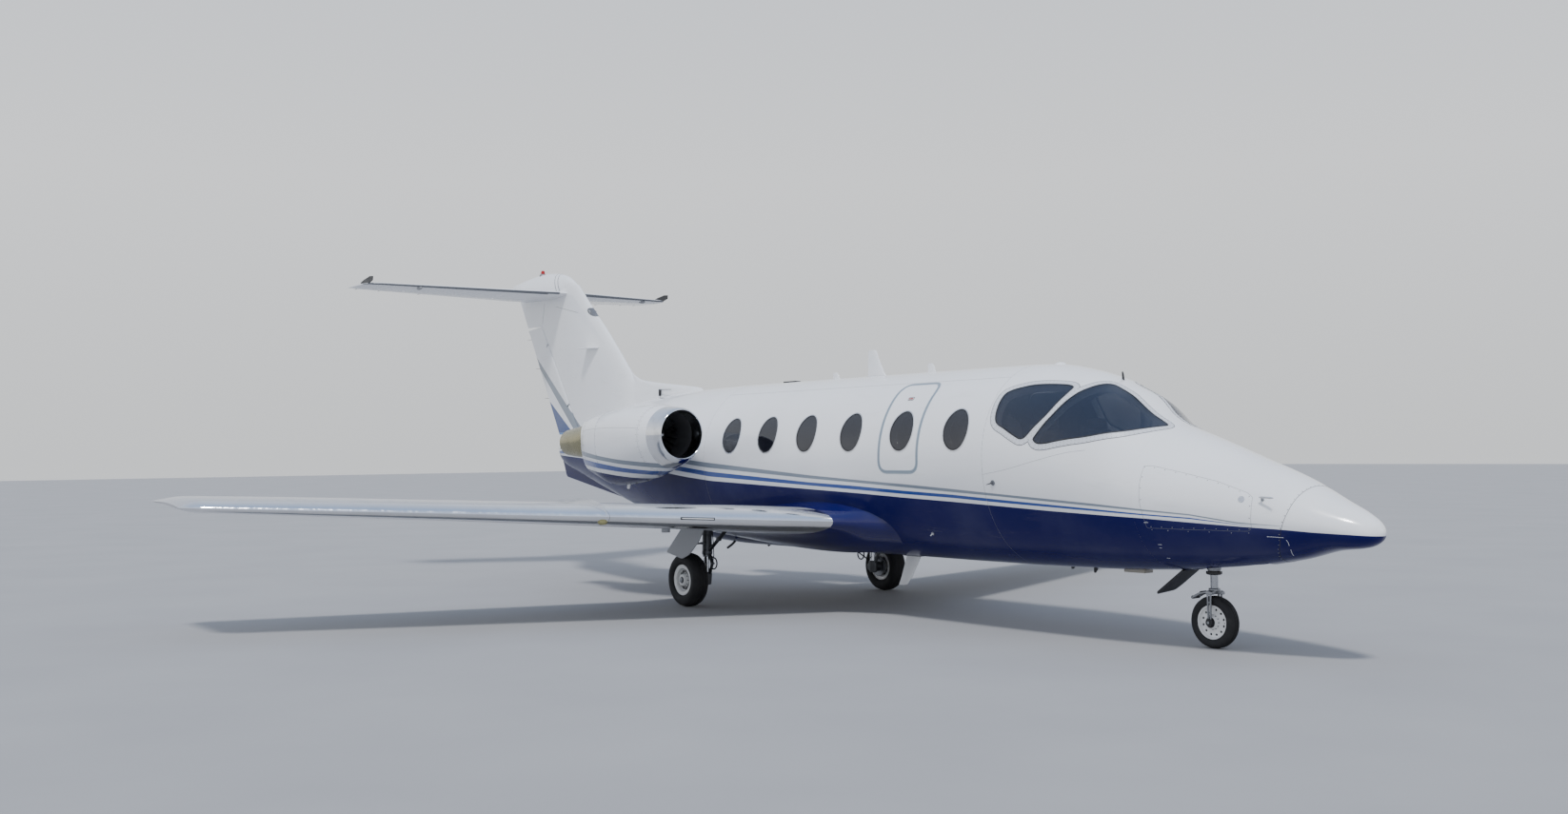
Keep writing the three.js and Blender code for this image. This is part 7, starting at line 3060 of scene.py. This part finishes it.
    def build_fin_fittings(self) -> None:
        """Builds the beacon, lamp, blades and seams of the fin and its bullet, and the vent on the dorsal fin."""
        spot = place(13464, 0, self.tail.BULLET.at(13464)[0])
        seat = [(0, 14.5), (36, 14.5), (46, 6), (52, -20), (0, -20)]
        blade = ((11650, 11975, 70), (11690, 11985, 120), (11800, 12005, 190), (11900, 12012, 240), (11950, 12010, 252))
        seams = (
            ((12908, 3820), (12700, 3775), (12480, 3728), (12256, 3680)),
            ((13395, 3600), (13360, 3700), (13320, 3790), (13300, 3900)),
        )
        parts = [
            self.spun("red_lens", [(0, 70), (14, 67), (26, 54), (30, 36), (30, 14), (0, 14)], "Z", spot),
            self.spun("dull_metal", seat, "Z", spot),
            self.bullet_seam(12868),
            self.bullet_seam(12948),
            self.lamp_window(),
            self.chunk("black_paint", (10118, -88, 2420), (10092, -54, 2508)),
            self.rod("dull_metal", 5, (10104, -84, 2500), (9960, -92, 2498), (9800, -98, 2492), sides=12),
        ]
        for sign in (-1, 1):
            parts.append(self.blade("white_paint", [(front, rear, sign * y) for front, rear, y in blade], 24, 3146))
            for rows in seams:
                parts.append(self.bar("joint_grey", 0.0026, *[self.on_fin(s, z, sign, -0.6) for s, z in rows], sides=8))
            ring = [(20, -2), (30, -2), (30, 3), (20, 3)]
            parts.append(self.spun("rim_metal", ring, "Y", self.on_fin(11990, 3664, sign, 1.5)))
        self.kit.hand_in(join("fin_fittings", parts), "white_paint")
        for side in Side:
            self.build_tip(side)

    def build_tip(self, side: Side) -> None:
        """Builds the black vane on a tip of the tailplane and the bump under its leading edge.

        Args:
            side: the side.
        """
        corners = [(13895, 4160), (13886, 4218), (13985, 4226), (14200, 4196), (14330, 4166), (14330, 4128), (14040, 4128)]
        vane = self.kit.paint(side_prism("vane", rounded(corners, 8), side.value * 2448, side.value * 2462), "black_paint")
        front, z = self.tail.column(1850, 1) + 60, self.tail.column(1850, 3) - 30
        rows = ((-70, 4), (-50, 18), (-10, 28), (40, 28), (90, 16), (130, 3))
        path = [place(front + s, side.value * 1850, z) for s, _ in rows]
        bump = self.bar("grey_paint", [r * METRE for _, r in rows], *path, sides=24)
        self.kit.hand_in(join("tailplane_tip_" + side.label, [vane, bump]), "grey_paint")

    def build_wicks(self) -> None:
        """Builds the static wicks on the rudder and the elevators."""
        edges = [("rudder", [(self.tail.trailing(z), 0, z, 130, 8) for z in (2500, 2950, 3400)])]
        for side in Side:
            rows = [(self.tail.column(y, 2), side.value * y, self.tail.column(y, 3), 110, 0) for y in (1500, 2050, 2360)]
            edges.append(("elevator_" + side.label, rows))
        for body, rows in edges:
            pairs = [((s - 8, y, z), (s + back, y, z + up)) for s, y, z, back, up in rows]
            wicks = [self.rod("black_paint", 2.5, *pair, sides=6) for pair in pairs]
            name = body.replace("_", "_wicks_") if "_" in body else body + "_wicks"
            self.kit.hand_in(join(name, wicks), "panel_plastic", (), body)


# Studio


@dataclass
class Studio:
    """Floor, light and camera."""

    eye: Point = (13.626, -10.325, 1.67)
    yaw: float = -53.1361
    pitch: float = 1.7572
    roll: float = 0.5775
    focal: float = 1555.77
    width: float = 1647.0

    def build(self) -> None:
        """Builds the studio."""
        self.build_floor()
        self.build_lights()
        self.build_camera()

    def build_floor(self) -> None:
        """Builds the pale floor."""
        mesh, reach = bpy.data.meshes.new("floor"), 120.0
        corners = [(-reach, -reach, 0), (reach, -reach, 0), (reach, reach, 0), (-reach, reach, 0)]
        mesh.from_pydata(corners, [], [(0, 1, 2, 3)])
        floor = link("floor", mesh)
        graph = Graph("floor_finish")
        colour = graph.mix(graph.noise(0.6, 5.0), (0.30, 0.30, 0.31), (0.36, 0.36, 0.37))
        floor.data.materials.append(graph.surface(base_color=colour, roughness=0.85))

    def build_lights(self) -> None:
        """Builds the sky and the soft lights."""
        world = bpy.data.worlds.new("sky")
        bpy.context.scene.world = world
        world.use_nodes = True
        tree = world.node_tree
        tree.nodes.clear()
        kinds = ("OutputWorld", "Background", "TexCoord", "SeparateXYZ", "ValToRGB")
        output, background, coordinates, split, ramp = [tree.nodes.new("ShaderNode" + kind) for kind in kinds]
        for source, target in (
            (coordinates.outputs["Generated"], split), (split.outputs["Z"], ramp), (ramp.outputs[0], background),
            (background.outputs[0], output),
        ):
            tree.links.new(source, target.inputs[0])
        elements = ramp.color_ramp.elements
        elements[0].position, elements[0].color = 0.0, (0.78, 0.80, 0.82, 1)
        elements[1].position, elements[1].color = 1.0, (0.42, 0.55, 0.80, 1)
        elements.new(0.18).color = (0.92, 0.94, 0.97, 1)
        background.inputs[1].default_value = 1.1
        sun = bpy.data.lights.new("sun", "SUN")
        sun.energy = 2.6
        sun.angle = math.radians(8)
        link("sun", sun).rotation_euler = (math.radians(28), math.radians(-8), math.radians(60))

    def build_camera(self) -> None:
        """Builds the camera at the photograph's view."""
        yaw, pitch, roll = (math.radians(a) for a in (self.yaw, self.pitch, self.roll))
        forward = Vector((math.sin(yaw) * math.cos(pitch), math.cos(yaw) * math.cos(pitch), math.sin(pitch)))
        right = Vector((math.cos(yaw), -math.sin(yaw), 0))
        down = forward.cross(right)
        turned_right = math.cos(roll) * right + math.sin(roll) * down
        turned_down = -math.sin(roll) * right + math.cos(roll) * down
        lens = bpy.data.cameras.new("photo_view")
        lens.sensor_width = 36.0
        lens.lens = self.focal / self.width * lens.sensor_width
        lens.clip_end = 500.0
        camera = link("photo_view", lens)
        turn = Matrix((turned_right, -turned_down, -forward)).transposed().to_4x4()
        camera.matrix_world = Matrix.Translation(self.eye) @ turn
        bpy.context.scene.camera = camera


def main() -> None:
    """Builds the aircraft and its studio."""
    logging.basicConfig(level=logging.INFO, format="%(message)s")
    Studio().build()
    kit = Kit()
    Fuselage(kit).build()
    Wing(kit).build()
    tail = Tail(kit)
    tail.build()
    Fittings(kit, tail).build()
    for side in Side:
        Engine(kit, side).build()
        MainGear(kit, side).build()
    NoseGear(kit).build()
    Furnishings(kit).build()


if __name__ == "__main__":
    main()
